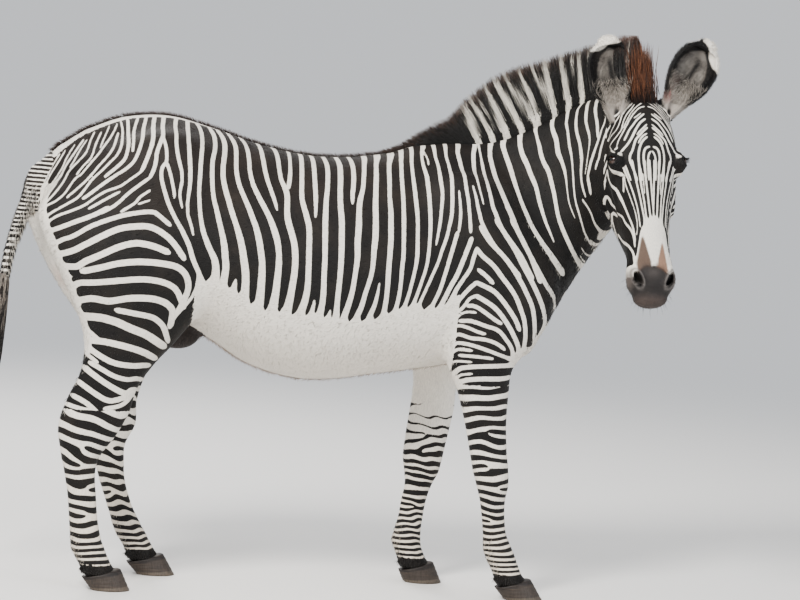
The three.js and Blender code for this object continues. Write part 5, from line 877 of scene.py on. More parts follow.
def mark(P, N):
    """distance to the nearest pale stripe (mm), colour of pale hair, colour of dark hair, for skin points"""
    n = len(P)
    x, y, z = P[:, 0], P[:, 1], P[:, 2]
    D = stroke_field(P[:, [0, 2]] * 1000, PALE_SIDE)
    light, dark = np.tile(WHITE, (n, 1)), np.tile(BLACK, (n, 1))

    def tint(colour, which, amount):
        which += (np.asarray(colour) - which) * amount[:, None]

    # the dark hair is browner along the back, the pale hair yellower low down
    tint(BROWN, dark, 0.34 * step(z, 1.05, 1.38) * step(-x, -0.75, -0.2) * (0.9 + 0.1 * wave(P, 3, 9)))
    tint(srgb(0.86, 0.80, 0.72), light, 0.5 * step(-z, -0.6, -0.1))

    # neck
    m = np.nonzero((x > 0.25) & (z > 0.7))[0]
    f, u = NECK_LOFT.value(P[m], way=True)
    i = np.clip(u.astype(int), 0, len(WAY) - 2)
    t = u - i
    C = NECK_LOFT.C[i] * (1 - t)[:, None] + NECK_LOFT.C[i + 1] * t[:, None]
    A = unit(NECK_LOFT.D[i] * (1 - t)[:, None] + NECK_LOFT.D[i + 1] * t[:, None])
    past = np.maximum((P[m] - NECK_LOFT.C[8]) @ NECK_LOFT.N[8], 0) * (u > 7.99)
    U = np.stack([np.interp(u, np.arange(9), WAY) + past * 1000, ((P[m] - C) * A).sum(1) * 1000], 1)
    Dn = stroke_field(U, PALE_NECK)
    # the far side of the neck, which has no stripes of its own in the tables, carries rings round the neck where it would be plain
    left = ((P[m] - C) * NECK_LOFT.L[i]).sum(1) > -0.01
    ph = U[:, 0] / 46 + 0.0016 * U[:, 1] + 0.2 * wave(P[m], 17, 12)
    ring = (np.abs(ph - np.round(ph)) - 0.19) * 46
    Dn = np.where(left, np.minimum(Dn, np.maximum(ring, 14 - Dn)), Dn)
    on = step(u, 2.5, 2.9)
    D[m] = np.clip(D[m], -12, 18) * (1 - on) + np.clip(Dn, -12, 18) * on

    # the front of the chest: bands that meet over the breastbone, clear of the stripes of the shoulder
    ph = (z + 0.45 * np.abs(y)) / 0.056 + 0.12 * wave(P, 15, 14)
    band = (np.abs(ph - np.round(ph)) - 0.21) * 56
    front = (N[:, 0] > 0.60) & (N[:, 1] > -0.32) & (x > 0.42) & (z > 0.76) & (z < 1.24)
    D = np.where(front, np.minimum(D, np.maximum(band, 12.5 - D)), D)
    low = (N[:, 0] > 0.25) & (x > 0.42) & (np.abs(y) < 0.15) & (z > 0.74)
    D = D - np.where(low, 40 * step(-z, -0.905, -0.875), 0)

    # legs: rings
    for rows, rings, g, top in ((FORE_RIGHT, FORE_RINGS, -1, 0.69), (FORE_LEFT, FORE_RINGS, 1, 0.80),
                                (HIND_RIGHT, HIND_RINGS, -1, 0.57), (HIND_LEFT, HIND_RINGS, 1, 0.80)):
        fore = rings is FORE_RINGS
        m = np.nonzero((z < top + 0.06) & (y * g > 0) & ((x > 0.1) == fore))[0]
        Q = P[m]
        xc = leg_line(rows, Q[:, 2])
        dx = Q[:, 0] - xc
        slope = np.interp(Q[:, 2], [0.3, 0.5, 0.72], [0, 0.25, 0.4]) if not fore else np.interp(Q[:, 2], [0.35, 0.7], [0.0, -0.12])
        out = Q[:, 1] * g - 0.155
        ph, gap = turns(Q[:, 2] + slope * dx, rings)
        ph = ph + 0.26 * wave(Q, 11 + int(g) + 2 * fore, 18) + 0.13 * wave(Q, 21 + int(g), 52)
        # here and there a ring forks or ends
        r = np.random.default_rng(70 + int(g) + 2 * fore)
        for k in range(4):
            x0, z0, way = r.uniform(-0.03, 0.03), 0.20 + (top - 0.28) * (k + r.uniform(0.2, 0.8)) / 4, (-1, 1)[k % 2]
            ph = ph + way * np.arctan2(Q[:, 2] - z0, dx - x0) / (2 * np.pi)
        q = np.abs(ph - np.round(ph))
        duty = 0.225 + 0.035 * wave(Q, 31, 34)
        # inside of the thigh and forearm: the dark rings thin out into white
        duty = duty + 0.34 * step(-out, -0.01, 0.035) * step(Q[:, 2], 0.42, 0.66)
        ring = (q - duty) * gap
        w = step(-Q[:, 2], -(top + 0.03), -(top - 0.03))
        D[m] = np.where(w > 0.5, ring, D[m])
        # dark coronet over the hoof
        D[m] = np.where(Q[:, 2] < 0.079, 12.0, D[m])
    # white of the belly, between the legs and on the inner buttock
    line = np.interp(x * 1000, BELLY[:, 0], BELLY[:, 1]) / 1000 + 0.006 * np.sin(x * 95) * np.sin(x * 41 + 1)
    inside = (x > -0.36) & (x < 0.48)
    fade = np.where(inside, step(-(z - line), -0.055, 0.012) * 46, 0)
    D = np.where((z > 0.55) & (z < 1.05), np.minimum(D, 22), D) - np.where(z > 0.6, fade * 1.3, 0)
    under = (z > 0.62) & (z < 0.98) & (x > -0.36) & (x < 0.80)
    D = np.where(under, D - 50 * step(-N[:, 2], 0.35, 0.65), D)
    for rows, g, a, b in ((FORE_RIGHT, -1, 0.70, 0.86), (FORE_LEFT, 1, 0.70, 0.86), (HIND_RIGHT, -1, 0.72, 0.95), (HIND_LEFT, 1, 0.72, 0.95)):
        fore = a == 0.70 and b == 0.86
        m = (y * g > -0.02) & (y * g < 0.15) & (z > a - 0.06) & (z < b) & ((x > 0.1) == fore)
        D = np.where(m, np.minimum(D, D - 40 * step(-y * g, -0.135, -0.105) * step(z, a - 0.06, a) * step(-z, -b, -b + 0.05)), D)
    inner = N[:, 1] * np.sign(y) < 0.1
    rear = np.maximum(step(-N[:, 0], 0.66, 0.76), step(-N[:, 0], 0.25, 0.40) * inner) * step(z, 0.74, 0.80) * step(-z, -1.27, -1.22) * (x < -0.5)
    D = np.where(rear > 0, np.minimum(D, 20) - 45 * rear, D)
    spot = np.exp(-(((z - 0.945) / 0.035) ** 2 + ((np.abs(y) - 0.10) / 0.05) ** 2)) * rear
    tint(srgb(0.62, 0.33, 0.30), light, 0.7 * spot)
    # the sheath and the fold before it are dark and bare
    q = (P - np.array([-0.375, 0, 0.80])) / np.array([0.085, 0.07, 0.07])
    bare = step(-np.linalg.norm(q, axis=1), -1.35, -0.95)
    D = np.where(bare > 0.5, 10, D)
    tint(srgb(0.17, 0.145, 0.14), dark, bare)
    # dark line along the back, edged with white over the croup
    top = N[:, 2] > 0.5
    croup = step(-x, 0.20, 0.42)
    w = 0.011 + 0.006 * croup
    D = np.where(top & (x < 0.40), np.where(np.abs(y) < w, 14, np.where(np.abs(y) < w + 0.026 * croup, -9, D)), D)
    D = np.where(top & (x < 0.40) & (np.abs(np.abs(y) - w) < 0.004), (w - np.abs(y)) * 1000, D)
    # belly line
    low = (N[:, 2] < -0.6) & (np.abs(y) < 0.010) & (x > -0.30) & (x < 0.45) & (z < 0.85)
    tint(srgb(0.45, 0.30, 0.20), light, low * 0.8)
    # shaded and dusty white below
    tint(srgb(0.80, 0.76, 0.70), light, 0.35 * step(-N[:, 2], 0.2, 0.9) * (z > 0.6))

    # head
    m = np.nonzero((x > 0.82) & (y < -0.09) & (z > 0.85))[0]
    Q = P[m]
    a, s, f = head_coords(Q)
    hv = np.minimum(SKULL_LOFT.value(Q), JAW_LOFT.value(Q))
    nv = NECK_LOFT.value(Q)
    on = hv < nv + 0.002
    X, Y = -np.abs(np.arctan2(s, f + 0.09)) * 105, a * 1000
    Df = stroke_field(np.stack([X, Y], 1), PALE_FACE, grow=0.2)
    # under the jaw and behind the cheek the stripes of the side wrap on
    under = step(-f, 0.16, 0.20)
    ph = a * 1000 / 27 + 9 * np.abs(s) + 0.15 * wave(Q, 5, 25)
    Dj = (np.abs(ph - np.round(ph)) - 0.22) * 27
    # the far cheek is filled with stripes that run back and down
    ph = (a - 0.55 * f + 0.25 * s) * 1000 / 25 + 0.22 * wave(Q, 19, 22)
    far = (np.abs(ph - np.round(ph)) - 0.21) * 25
    Df = np.where((s > 0.05) & (f < -0.04) & (a > 0.04), np.minimum(Df, np.maximum(far, 7 - Df)), Df)
    Df = np.where(under > 0.5, Dj, Df)
    l, d = light[m], dark[m]

    def over(colour, amount, both=True):
        nonlocal l, d
        l = l + (np.asarray(colour) - l) * amount[:, None]
        if both:
            d = d + (np.asarray(colour) - d) * amount[:, None]

    # the stripes run out into a bare white bridge, with a tan wedge on each side above the dark muzzle
    wob = 0.006 * wave(Q, 8, 60)
    sm = s + 0.005
    sa = np.abs(sm)
    end = np.interp(np.abs(X), [0, 40, 62, 90, 110], [0.425, 0.440, 0.470, 0.545, 0.575])
    k = step(a - end, -0.022, 0.012)
    Df = np.where(k > 0, np.minimum(Df, 9) * (1 - k) - 7 * k, Df)
    top = np.where(sm < 0, 0.478, 0.500)
    fall = np.clip((a - top) / 0.09, 0, 1)
    inner, outer = 0.030 - 0.023 * fall, 0.034 + 0.018 * fall
    tan = step(a, top, top + 0.012) * step(sa - inner, -0.002, 0.003) * step(outer - sa, -0.002, 0.004) * step(-a, -0.612, -0.592) * (f > -0.11)
    over(srgb(0.33, 0.245, 0.19), np.where(sm < 0, 0.95, 0.0) * tan)
    over(srgb(0.52, 0.375, 0.28), np.where(sm < 0, 0.0, 0.9) * tan)
    lip = step(a + wob - 0.9 * np.clip(sa - 0.035, 0, 0.03) + 0.25 * np.clip(-0.10 - f, 0, 0.05), 0.568, 0.592)
    over(srgb(0.185, 0.172, 0.17), lip)
    over(srgb(0.36, 0.335, 0.325), 0.5 * lip * np.exp(-((a - 0.600) / 0.016) ** 2 - (sm / 0.022) ** 2))
    over(srgb(0.34, 0.29, 0.27), 0.6 * step(a, 0.655, 0.69) * lip)
    over(srgb(0.50, 0.46, 0.44), 0.5 * step(sa, 0.055, 0.075) * step(a, 0.575, 0.60))
    D_head = np.where(lip > 0.5, 2.0, Df)
    # each nostril: a paler rim round it, and the opening painted near black, its dark lining deepened with painted
    # shade of the hollow
    for g, c, axes in NOSTRILS:
        r = np.linalg.norm((Q - c) @ axes.T / np.array([0.028, 0.013, 0.03]), axis=1)
        over(srgb(0.44, 0.42, 0.41), 0.75 * np.exp(-((r - 1.25) / 0.22) ** 2))
        over(srgb(0.03, 0.025, 0.025), step(-r, -1.0, -0.7))
    for g, c in EYES.values():
        gaze, up, side = eye_axes(g, c)
        q = Q - c
        ex, ey = q @ side, q @ up
        r = np.sqrt((ex / 0.025) ** 2 + ((ey + 0.004) / 0.021) ** 2)
        near = np.linalg.norm(q, axis=1) < 0.06
        D_head = np.where(near & (r < 1.2), np.maximum(D_head, (1.12 - r) * 22), D_head)
        # a near-black patch round each eye: the dark lids, with painted shade under the lids and lashes
        over(srgb(0.045, 0.04, 0.04), np.where(near, step(-r, -1.12, -0.95), 0))
    D[m] = np.where(on, D_head, D[m])
    light[m], dark[m] = np.where(on[:, None], l, light[m]), np.where(on[:, None], d, dark[m])
    # tail: pale with short dark cross bars, dark line behind
    t = TAIL_LOFT.value(P) < np.where(z > 1.12, 0.018, 0.006)
    t &= x < -0.80
    if t.any():
        gap = np.interp(z[t] * 1000, [1050, 1170], [20, 13])
        ph = np.interp(z[t] * 1000, [600, 1100, 1400], [0, 25, 48]) + 0.12 * wave(P[t], 9, 30)
        D[t] = np.clip((np.abs(ph - np.round(ph)) - 0.21) * gap, -7, 7)
        D[t] = np.where((N[t, 0] < -0.93) & (np.abs(y[t]) < 0.014), 8, D[t])
    return D, light, dark


# ------------------------------------------------------------------ making objects
SCENE = bpy.context.scene


def mesh(name, V, faces, uv=None, smooth=True):
    """faces: array (n, 3) or (n, 4); uv: array (n corners, 2) for OFBake"""
    me = bpy.data.meshes.new(name)
    faces = np.asarray(faces)
    n, k = faces.shape
    me.vertices.add(len(V))
    me.vertices.foreach_set("co", np.asarray(V + SHIFT, np.float32).ravel())
    me.loops.add(n * k)
    me.loops.foreach_set("vertex_index", faces.astype(np.int32).ravel())
    me.polygons.add(n)
    me.polygons.foreach_set("loop_start", np.arange(0, n * k, k, dtype=np.int32))
    me.update(calc_edges=True)
    me.polygons.foreach_set("use_smooth", np.full(n, smooth))
    if uv is not None:
        layer = me.uv_layers.new(name="OFBake")
        layer.data.foreach_set("uv", np.asarray(uv, np.float32).ravel())
    ob = bpy.data.objects.new(name, me)
    SCENE.collection.objects.link(ob)
    return ob


def paint(ob, name, values):
    values = np.asarray(values, np.float32)
    if values.ndim == 1:
        at = ob.data.attributes.new(name, "FLOAT", "POINT")
        at.data.foreach_set("value", values)
    else:
        at = ob.data.color_attributes.new(name, "FLOAT_COLOR", "POINT")
        at.data.foreach_set("color", np.hstack([values, np.ones((len(values), 1), np.float32)]).ravel())


# the unwrap: each region of the body is seen along six directions, and each view has its own place
# region: centre, half extents along its own axes, weight
HEAD_AXES = np.stack([AX_S, AX_F, AX_A])
PLACES = [
    ((0.07, -0.04, 1.12), (1.06, 0.36, 0.56), 1.0),              # 0 trunk, neck and upper legs
    ((0.0, -0.12, 0.33), (0.15, 0.19, 0.43), 1.7),               # 1 head, in its own axes
    ((0.67, -0.15, 0.38), (0.24, 0.13, 0.38), 1.1),              # 2 fore right
    ((0.47, 0.15, 0.38), (0.24, 0.13, 0.38), 1.0),               # 3 fore left
    ((-0.56, -0.16, 0.38), (0.28, 0.13, 0.38), 1.1),             # 4 hind right
    ((-0.46, 0.16, 0.38), (0.28, 0.13, 0.38), 1.0),              # 5 hind left
    ((0.93, -0.24, 1.69), (0.17, 0.14, 0.16), 1.7),              # 6 right ear
    ((1.17, -0.22, 1.69), (0.17, 0.14, 0.16), 1.7),              # 7 left ear
    ((-0.93, 0.0, 1.0), (0.20, 0.08, 0.50), 1.0),                # 8 tail
]


def lay_out():
    """packs the views in rows, as large as they fit"""
    lo, hi = 0.05, 1.0
    for _ in range(30):
        s = (lo + hi) / 2
        rects = []
        for r, (c, e, w) in enumerate(PLACES):
            for k in range(6):
                ax = k // 2
                rects.append((2 * e[(ax + 2) % 3] * w * s + 0.006, 2 * e[(ax + 1) % 3] * w * s + 0.006, r, k))
        rects.sort(reverse=True)
        u = v = row = 0.0
        out, fits = {}, True
        for h, wd, r, k in rects:
            if u + wd > 1:
                u, v, row = 0.0, v + row, 0.0
            row = max(row, h)
            if v + h > 1 or wd > 1:
                fits = False
                break
            out[(r, k)] = (u + 0.003, v + 0.003)
            u += wd
        if fits:
            lo, best = s, (s, out)
        else:
            hi = s
    return best


BAKE_SCALE, CELLS = lay_out()


def region_of(P):
    r = np.zeros(len(P), int)
    a, s, f = head_coords(P)
    r[(a > 0.01) & (P[:, 0] > 0.84) & (P[:, 1] < -0.19) & (P[:, 2] > 0.9)] = 1
    low = P[:, 2] < 0.73
    fore, right = P[:, 0] > 0.1, P[:, 1] < 0
    for k, m in ((2, fore & right), (3, fore & ~right), (4, ~fore & right), (5, ~fore & ~right)):
        r[low & m] = k
    r[(P[:, 0] < -0.845) & (np.abs(P[:, 1]) < 0.08)] = 8
    return r


def facing(N, R):
    """which of the six directions each normal faces, in its region's axes"""
    M = np.where((R == 1)[:, None], N @ HEAD_AXES.T, N)
    ax = np.argmax(np.abs(M), axis=1)
    return ax * 2 + (M[np.arange(len(M)), ax] > 0)


def unwrap(P, R, K):
    out = np.zeros((len(P), 2))
    for r in np.unique(R):
        c, e, w = PLACES[int(r)]
        for k in range(6):
            m = (R == r) & (K == k)
            if m.any():
                q = ((P[m] - POLL) @ HEAD_AXES.T if r == 1 else P[m]) - np.array(c)
                ax = k // 2
                i, j = (ax + 1) % 3, (ax + 2) % 3
                q = np.clip(q, -np.array(e), e) + np.array(e)
                out[m] = np.stack([q[:, i], q[:, j]], 1) * w * BAKE_SCALE + CELLS[(int(r), k)]
    return out


def skin_uv(V, T, N, R_face=None):
    """OFBake of a mesh that lies on the body, corner by corner"""
    c = V[T].mean(1)
    n = unit(np.cross(V[T[:, 1]] - V[T[:, 0]], V[T[:, 2]] - V[T[:, 0]]))
    R = region_of(c) if R_face is None else R_face
    K = facing(n, R)
    k = T.shape[1]
    return unwrap(V[T].reshape(-1, 3), np.repeat(R, k), np.repeat(K, k))


# ------------------------------------------------------------------ materials
def nodes_of(name):
    m = bpy.data.materials.new(name)
    m.use_nodes = True
    t = m.node_tree
    t.nodes.clear()
    out, b = t.nodes.new("ShaderNodeOutputMaterial"), t.nodes.new("ShaderNodeBsdfPrincipled")
    t.links.new(b.outputs[0], out.inputs[0])
    return m, t, b


def node(t, kind, inputs=(), **props):
    n = t.nodes.new("ShaderNode" + kind)
    for k, v in props.items():
        setattr(n, k, v)
    for k, v in dict(inputs).items():
        if isinstance(v, bpy.types.NodeSocket):
            t.links.new(v, n.inputs[k])
        else:
            n.inputs[k].default_value = v
    return n


def attribute(t, name):
    return node(t, "Attribute", attribute_name=name)


def math_(t, op, a, b=0.0, c=0.0):
    return node(t, "Math", {0: a, 1: b, 2: c}, operation=op).outputs[0]


def mix(t, f, a, b, blend="MIX"):
    n = node(t, "Mix", data_type="RGBA", blend_type=blend)
    for i, v in ((0, f), (6, a), (7, b)):
        if isinstance(v, bpy.types.NodeSocket):
            t.links.new(v, n.inputs[i])
        else:
            n.inputs[i].default_value = v if i == 0 else (*v, 1.0)
    return n.outputs[2]


def hair_noise(t, scale, lean):
    """noise drawn out along the lie of the hair"""
    co = node(t, "TexCoord").outputs["Object"]
    m = node(t, "Mapping", {"Vector": co, "Rotation": lean, "Scale": scale})
    return node(t, "TexNoise", {"Vector": m.outputs[0], "Scale": 1.0, "Detail": 3.0, "Roughness": 0.6}).outputs[0]


def hide_material(name, dark_lift=0.0):
    m, t, b = nodes_of(name)
    D = attribute(t, "mark").outputs["Fac"]
    light, dark = attribute(t, "light").outputs["Color"], attribute(t, "dark").outputs["Color"]
    limb, head = attribute(t, "limb").outputs["Fac"], attribute(t, "face").outputs["Fac"]
    # short hair: long thin noise that follows the body, the limbs and the face
    trunk = hair_noise(t, (70, 420, 420), (0, math.radians(-18), 0))
    down = hair_noise(t, (420, 420, 80), (0, 0, 0))
    snout = hair_noise(t, (620, 260, 150), (math.radians(-20), 0, 0))
    n = node(t, "Mix", {0: limb, 2: trunk, 3: down}, data_type="FLOAT").outputs[0]
    n = node(t, "Mix", {0: head, 2: n, 3: snout}, data_type="FLOAT").outputs[0]
    co = node(t, "TexCoord").outputs["Object"]
    coarse = node(t, "TexNoise", {"Vector": co, "Scale": 9.0, "Detail": 3.0}).outputs[0]
    fine = node(t, "TexNoise", {"Vector": co, "Scale": 60.0, "Detail": 2.0}).outputs[0]
    # the edge of a stripe is hair over hair: crisp, a little ragged
    rag = math_(t, "MULTIPLY_ADD", n, 2.4, -1.2)
    wander = math_(t, "MULTIPLY_ADD", fine, 1.6, -0.8)
    d = math_(t, "ADD", math_(t, "ADD", D, rag), wander)
    edge = node(t, "MapRange", {"Value": d, "From Min": -1.0, "From Max": 1.0}, interpolation_type="SMOOTHSTEP").outputs[0]
    base = mix(t, edge, light, dark)
    shade = node(t, "MapRange", {"Value": n, "From Min": 0.25, "From Max": 0.75, "To Min": 0.80, "To Max": 1.12}).outputs[0]
    base = mix(t, 1.0, base, node(t, "CombineColor", {0: shade, 1: shade, 2: shade}).outputs[0], "MULTIPLY")
    dust = node(t, "MapRange", {"Value": coarse, "From Min": 0.45, "From Max": 0.8, "To Max": 0.05}).outputs[0]
    base = mix(t, dust, base, tuple(srgb(0.56, 0.48, 0.40)))
    t.links.new(base, b.inputs["Base Color"])
    t.links.new(node(t, "MapRange", {"Value": n, "To Min": 0.48, "To Max": 0.72}).outputs[0], b.inputs["Roughness"])
    b.inputs["Specular IOR Level"].default_value = 0.35
    b.inputs["Sheen Weight"].default_value = 0.06
    b.inputs["Sheen Roughness"].default_value = 0.4
    height = math_(t, "ADD", n, math_(t, "MULTIPLY", fine, 0.35))
    bump = node(t, "Bump", {"Height": height, "Strength": 0.55, "Distance": 0.0035})
    t.links.new(bump.outputs[0], b.inputs["Normal"])
    return m


def hair_material(name, rough=0.5):
    m, t, b = nodes_of(name)
    tone = attribute(t, "tone").outputs["Color"]
    co = node(t, "TexCoord").outputs["Object"]
    n = node(t, "TexNoise", {"Vector": co, "Scale": 260.0, "Detail": 2.0}).outputs[0]
    shade = node(t, "MapRange", {"Value": n, "From Min": 0.3, "From Max": 0.7, "To Min": 0.82, "To Max": 1.12}).outputs[0]
    t.links.new(mix(t, 1.0, tone, node(t, "CombineColor", {0: shade, 1: shade, 2: shade}).outputs[0], "MULTIPLY"), b.inputs["Base Color"])
    t.links.new(node(t, "MapRange", {"Value": n, "To Min": rough - 0.08, "To Max": rough + 0.12}).outputs[0], b.inputs["Roughness"])
    b.inputs["Specular IOR Level"].default_value = 0.35
    b.inputs["Sheen Weight"].default_value = 0.1
    bump = node(t, "Bump", {"Height": n, "Strength": 0.35, "Distance": 0.002})
    t.links.new(bump.outputs[0], b.inputs["Normal"])
    return m


def eye_material():
    m, t, b = nodes_of("eye")
    tone = attribute(t, "tone").outputs["Color"]
    co = node(t, "TexCoord").outputs["Object"]
    n = node(t, "TexNoise", {"Vector": co, "Scale": 420.0, "Detail": 3.0}).outputs[0]
    s = node(t, "MapRange", {"Value": n, "To Min": 0.75, "To Max": 1.25}).outputs[0]
    t.links.new(mix(t, 1.0, tone, node(t, "CombineColor", {0: s, 1: s, 2: s}).outputs[0], "MULTIPLY"), b.inputs["Base Color"])
    t.links.new(node(t, "MapRange", {"Value": n, "To Min": 0.10, "To Max": 0.16}).outputs[0], b.inputs["Roughness"])
    b.inputs["Coat Weight"].default_value = 1.0
    b.inputs["Coat Roughness"].default_value = 0.03
    bump = node(t, "Bump", {"Height": n, "Strength": 0.05, "Distance": 0.0004})
    t.links.new(bump.outputs[0], b.inputs["Normal"])
    return m


def hoof_material():
    m, t, b = nodes_of("hoof")
    tone = attribute(t, "tone").outputs["Color"]
    co = node(t, "TexCoord").outputs["Object"]
    fine = node(t, "Mapping", {"Vector": co, "Scale": (300, 300, 26)}).outputs[0]
    n = node(t, "TexNoise", {"Vector": fine, "Scale": 1.0, "Detail": 3.0}).outputs[0]
    rings = node(t, "TexNoise", {"Vector": node(t, "Mapping", {"Vector": co, "Scale": (9, 9, 190)}).outputs[0], "Scale": 1.0, "Detail": 2.0}).outputs[0]
    s = node(t, "MapRange", {"Value": n, "From Min": 0.3, "From Max": 0.7, "To Min": 0.62, "To Max": 1.25}).outputs[0]
    c = mix(t, 1.0, tone, node(t, "CombineColor", {0: s, 1: s, 2: s}).outputs[0], "MULTIPLY")
    dust = node(t, "MapRange", {"Value": rings, "From Min": 0.5, "From Max": 0.8, "To Max": 0.45}).outputs[0]
    t.links.new(mix(t, dust, c, tuple(srgb(0.34, 0.29, 0.245))), b.inputs["Base Color"])
    t.links.new(node(t, "MapRange", {"Value": n, "To Min": 0.42, "To Max": 0.7}).outputs[0], b.inputs["Roughness"])
    h = math_(t, "ADD", math_(t, "MULTIPLY", n, 0.5), rings)
    bump = node(t, "Bump", {"Height": h, "Strength": 0.5, "Distance": 0.002})
    t.links.new(bump.outputs[0], b.inputs["Normal"])
    return m


HIDE, HAIR = hide_material("hide"), hair_material("hair")
MANE_HAIR, TAIL_HAIR, EAR_HAIR = hair_material("mane_hair", 0.55), hair_material("tail_hair", 0.5), hair_material("ear_hair", 0.6)
EYE, HOOF = eye_material(), hoof_material()

# ------------------------------------------------------------------ the skin
BOX_LO, BOX_HI = np.array([-1.02, -0.56, 0.03]), np.array([1.26, 0.36, 1.72])
V, Q = nets(skin, BOX_LO, BOX_HI, GRID)
T = tris(Q)
V, _ = settle(skin, V, 0.004)
V = relax(V, T, 1, 0.3)


def where_fine(p, q):
    """edges that are cut once more: face and lower legs"""
    c = (p + q) / 2
    a, s, f = head_coords(c)
    ln = np.linalg.norm(p - q, axis=1)
    face = (a > 0.02) & (a < 0.75) & (np.abs(s) < 0.16) & (f > -0.31) & (c[:, 1] < -0.2) & (ln > 0.0065)
    feet = (c[:, 2] < 0.30) & (ln > 0.0075)
    return face | feet


def where_finest(p, q):
    c = (p + q) / 2
    ln = np.linalg.norm(p - q, axis=1)
    near = np.zeros(len(c), bool)
    for g, e in EYES.values():
        near |= np.linalg.norm(c - e, axis=1) < 0.042
    for g, e, axes in NOSTRILS:
        near |= np.linalg.norm((c - e) @ axes.T / np.array([1.0, 0.8, 1.0]), axis=1) < 0.034
    a, s, f = head_coords(c)
    near |= (a > 0.55) & (np.abs(f - lip_line(a)) < 0.009) & (c[:, 1] < -0.3)
    return near & (ln > 0.0034)


V, T = split(V, T, where_fine)
V, _ = settle(skin, V, 0.004)


def where_face(p, q):
    c = (p + q) / 2
    a, s, f = head_coords(c)
    return (a > 0.03) & (a < 0.56) & (np.abs(s) < 0.15) & (f > -0.16) & (c[:, 1] < -0.25) & (np.linalg.norm(p - q, axis=1) > 0.0046)


V, T = split(V, T, where_face)
V, _ = settle(skin, V, 0.003)


def where_marked(V, T, least, bend):
    """edges along which the distance to the pale stripes turns: thin stripes need points on them to show whole"""
    E = np.sort(np.concatenate([T[:, [0, 1]], T[:, [1, 2]], T[:, [2, 0]]]), 1)
    U = np.unique(E[:, 0].astype(np.int64) * len(V) + E[:, 1])
    A, B = U // len(V), U % len(V)
    N = unit(gradient(skin, V))
    D = np.clip(mark(V, N)[0], -12, 12)
    cut = np.zeros(len(U), bool)
    i = np.nonzero((np.linalg.norm(V[A] - V[B], axis=1) > least) & (np.minimum(np.abs(D[A]), np.abs(D[B])) < 9) & (V[A, 2] > 0.10))[0]
    mid = np.clip(mark((V[A[i]] + V[B[i]]) / 2, unit(N[A[i]] + N[B[i]]))[0], -12, 12)
    cut[i] = np.abs(mid - (D[A[i]] + D[B[i]]) / 2) > bend
    return cut


for least, bend in ((0.0068, 0.9), (0.0046, 1.0)):
    cut = where_marked(V, T, least, bend)
    V, T = split(V, T, lambda p, q: cut)
    V, _ = settle(skin, V, 0.003)
    print("marked", len(V), len(T))
V, T = split(V, T, where_finest)
V, _ = settle(skin, V, 0.003, 0.0008)
V, T = split(V, T, where_finest)
V, _ = settle(skin, V, 0.002, 0.0008)
V, _ = settle(skin, V, 0.001, 0.0008)
print("skin", len(V), len(T))

# ------------------------------------------------------------------ ears
def ear_loft(side, inner):
    base, up, front = (np.array(v) for v in EARS[side])
    rows = []
    for h, w, d, sh in EAR:
        c = base + up * h / 1000 + front * sh / 1000
        lo, hi = -d, d
        if inner:
            lo, hi, w = -d + 12, d + 50, max(w - 14, 4)
            if h < 30:
                lo, w = d * 0.4, w * 0.8
        rows.append([*((c + front * hi / 1000) * 1000), *((c + front * lo / 1000) * 1000), w, 0, 0, 2.2 if inner else 2])
    if inner:
        rows = rows[:-1]
    loft = Loft(rows, 0.015, 0.012 if inner else 0.024, np.cross(up, front), up)
    loft.D = np.tile(front, (len(rows), 1))
    loft.N = np.tile(up, (len(rows), 1))
    return loft


EAR_LOFTS = {side: (ear_loft(side, False), ear_loft(side, True)) for side in EARS}
EAR_COAT = 0.003


def ear_only(side, P):
    out, inn = EAR_LOFTS[side]
    base, up, front = (np.array(v) for v in EARS[side])
    lat = np.cross(up, front)
    q = P - base
    h, l = q @ up, q @ lat
    g = inn.value(P)
    # ribs and folds run up the inside of the ear
    fold = 0.0012 * np.cos(l * 230 + 1.0) * step(h, 0.06, 0.10) * step(-h, -0.18, -0.13)
    return smax(out.value(P) + EAR_COAT, -(g - EAR_COAT + fold), 0.004)


def ear_field(side):
    def f(P):
        return smin(ear_only(side, P), skin(P), 0.012)
    return f


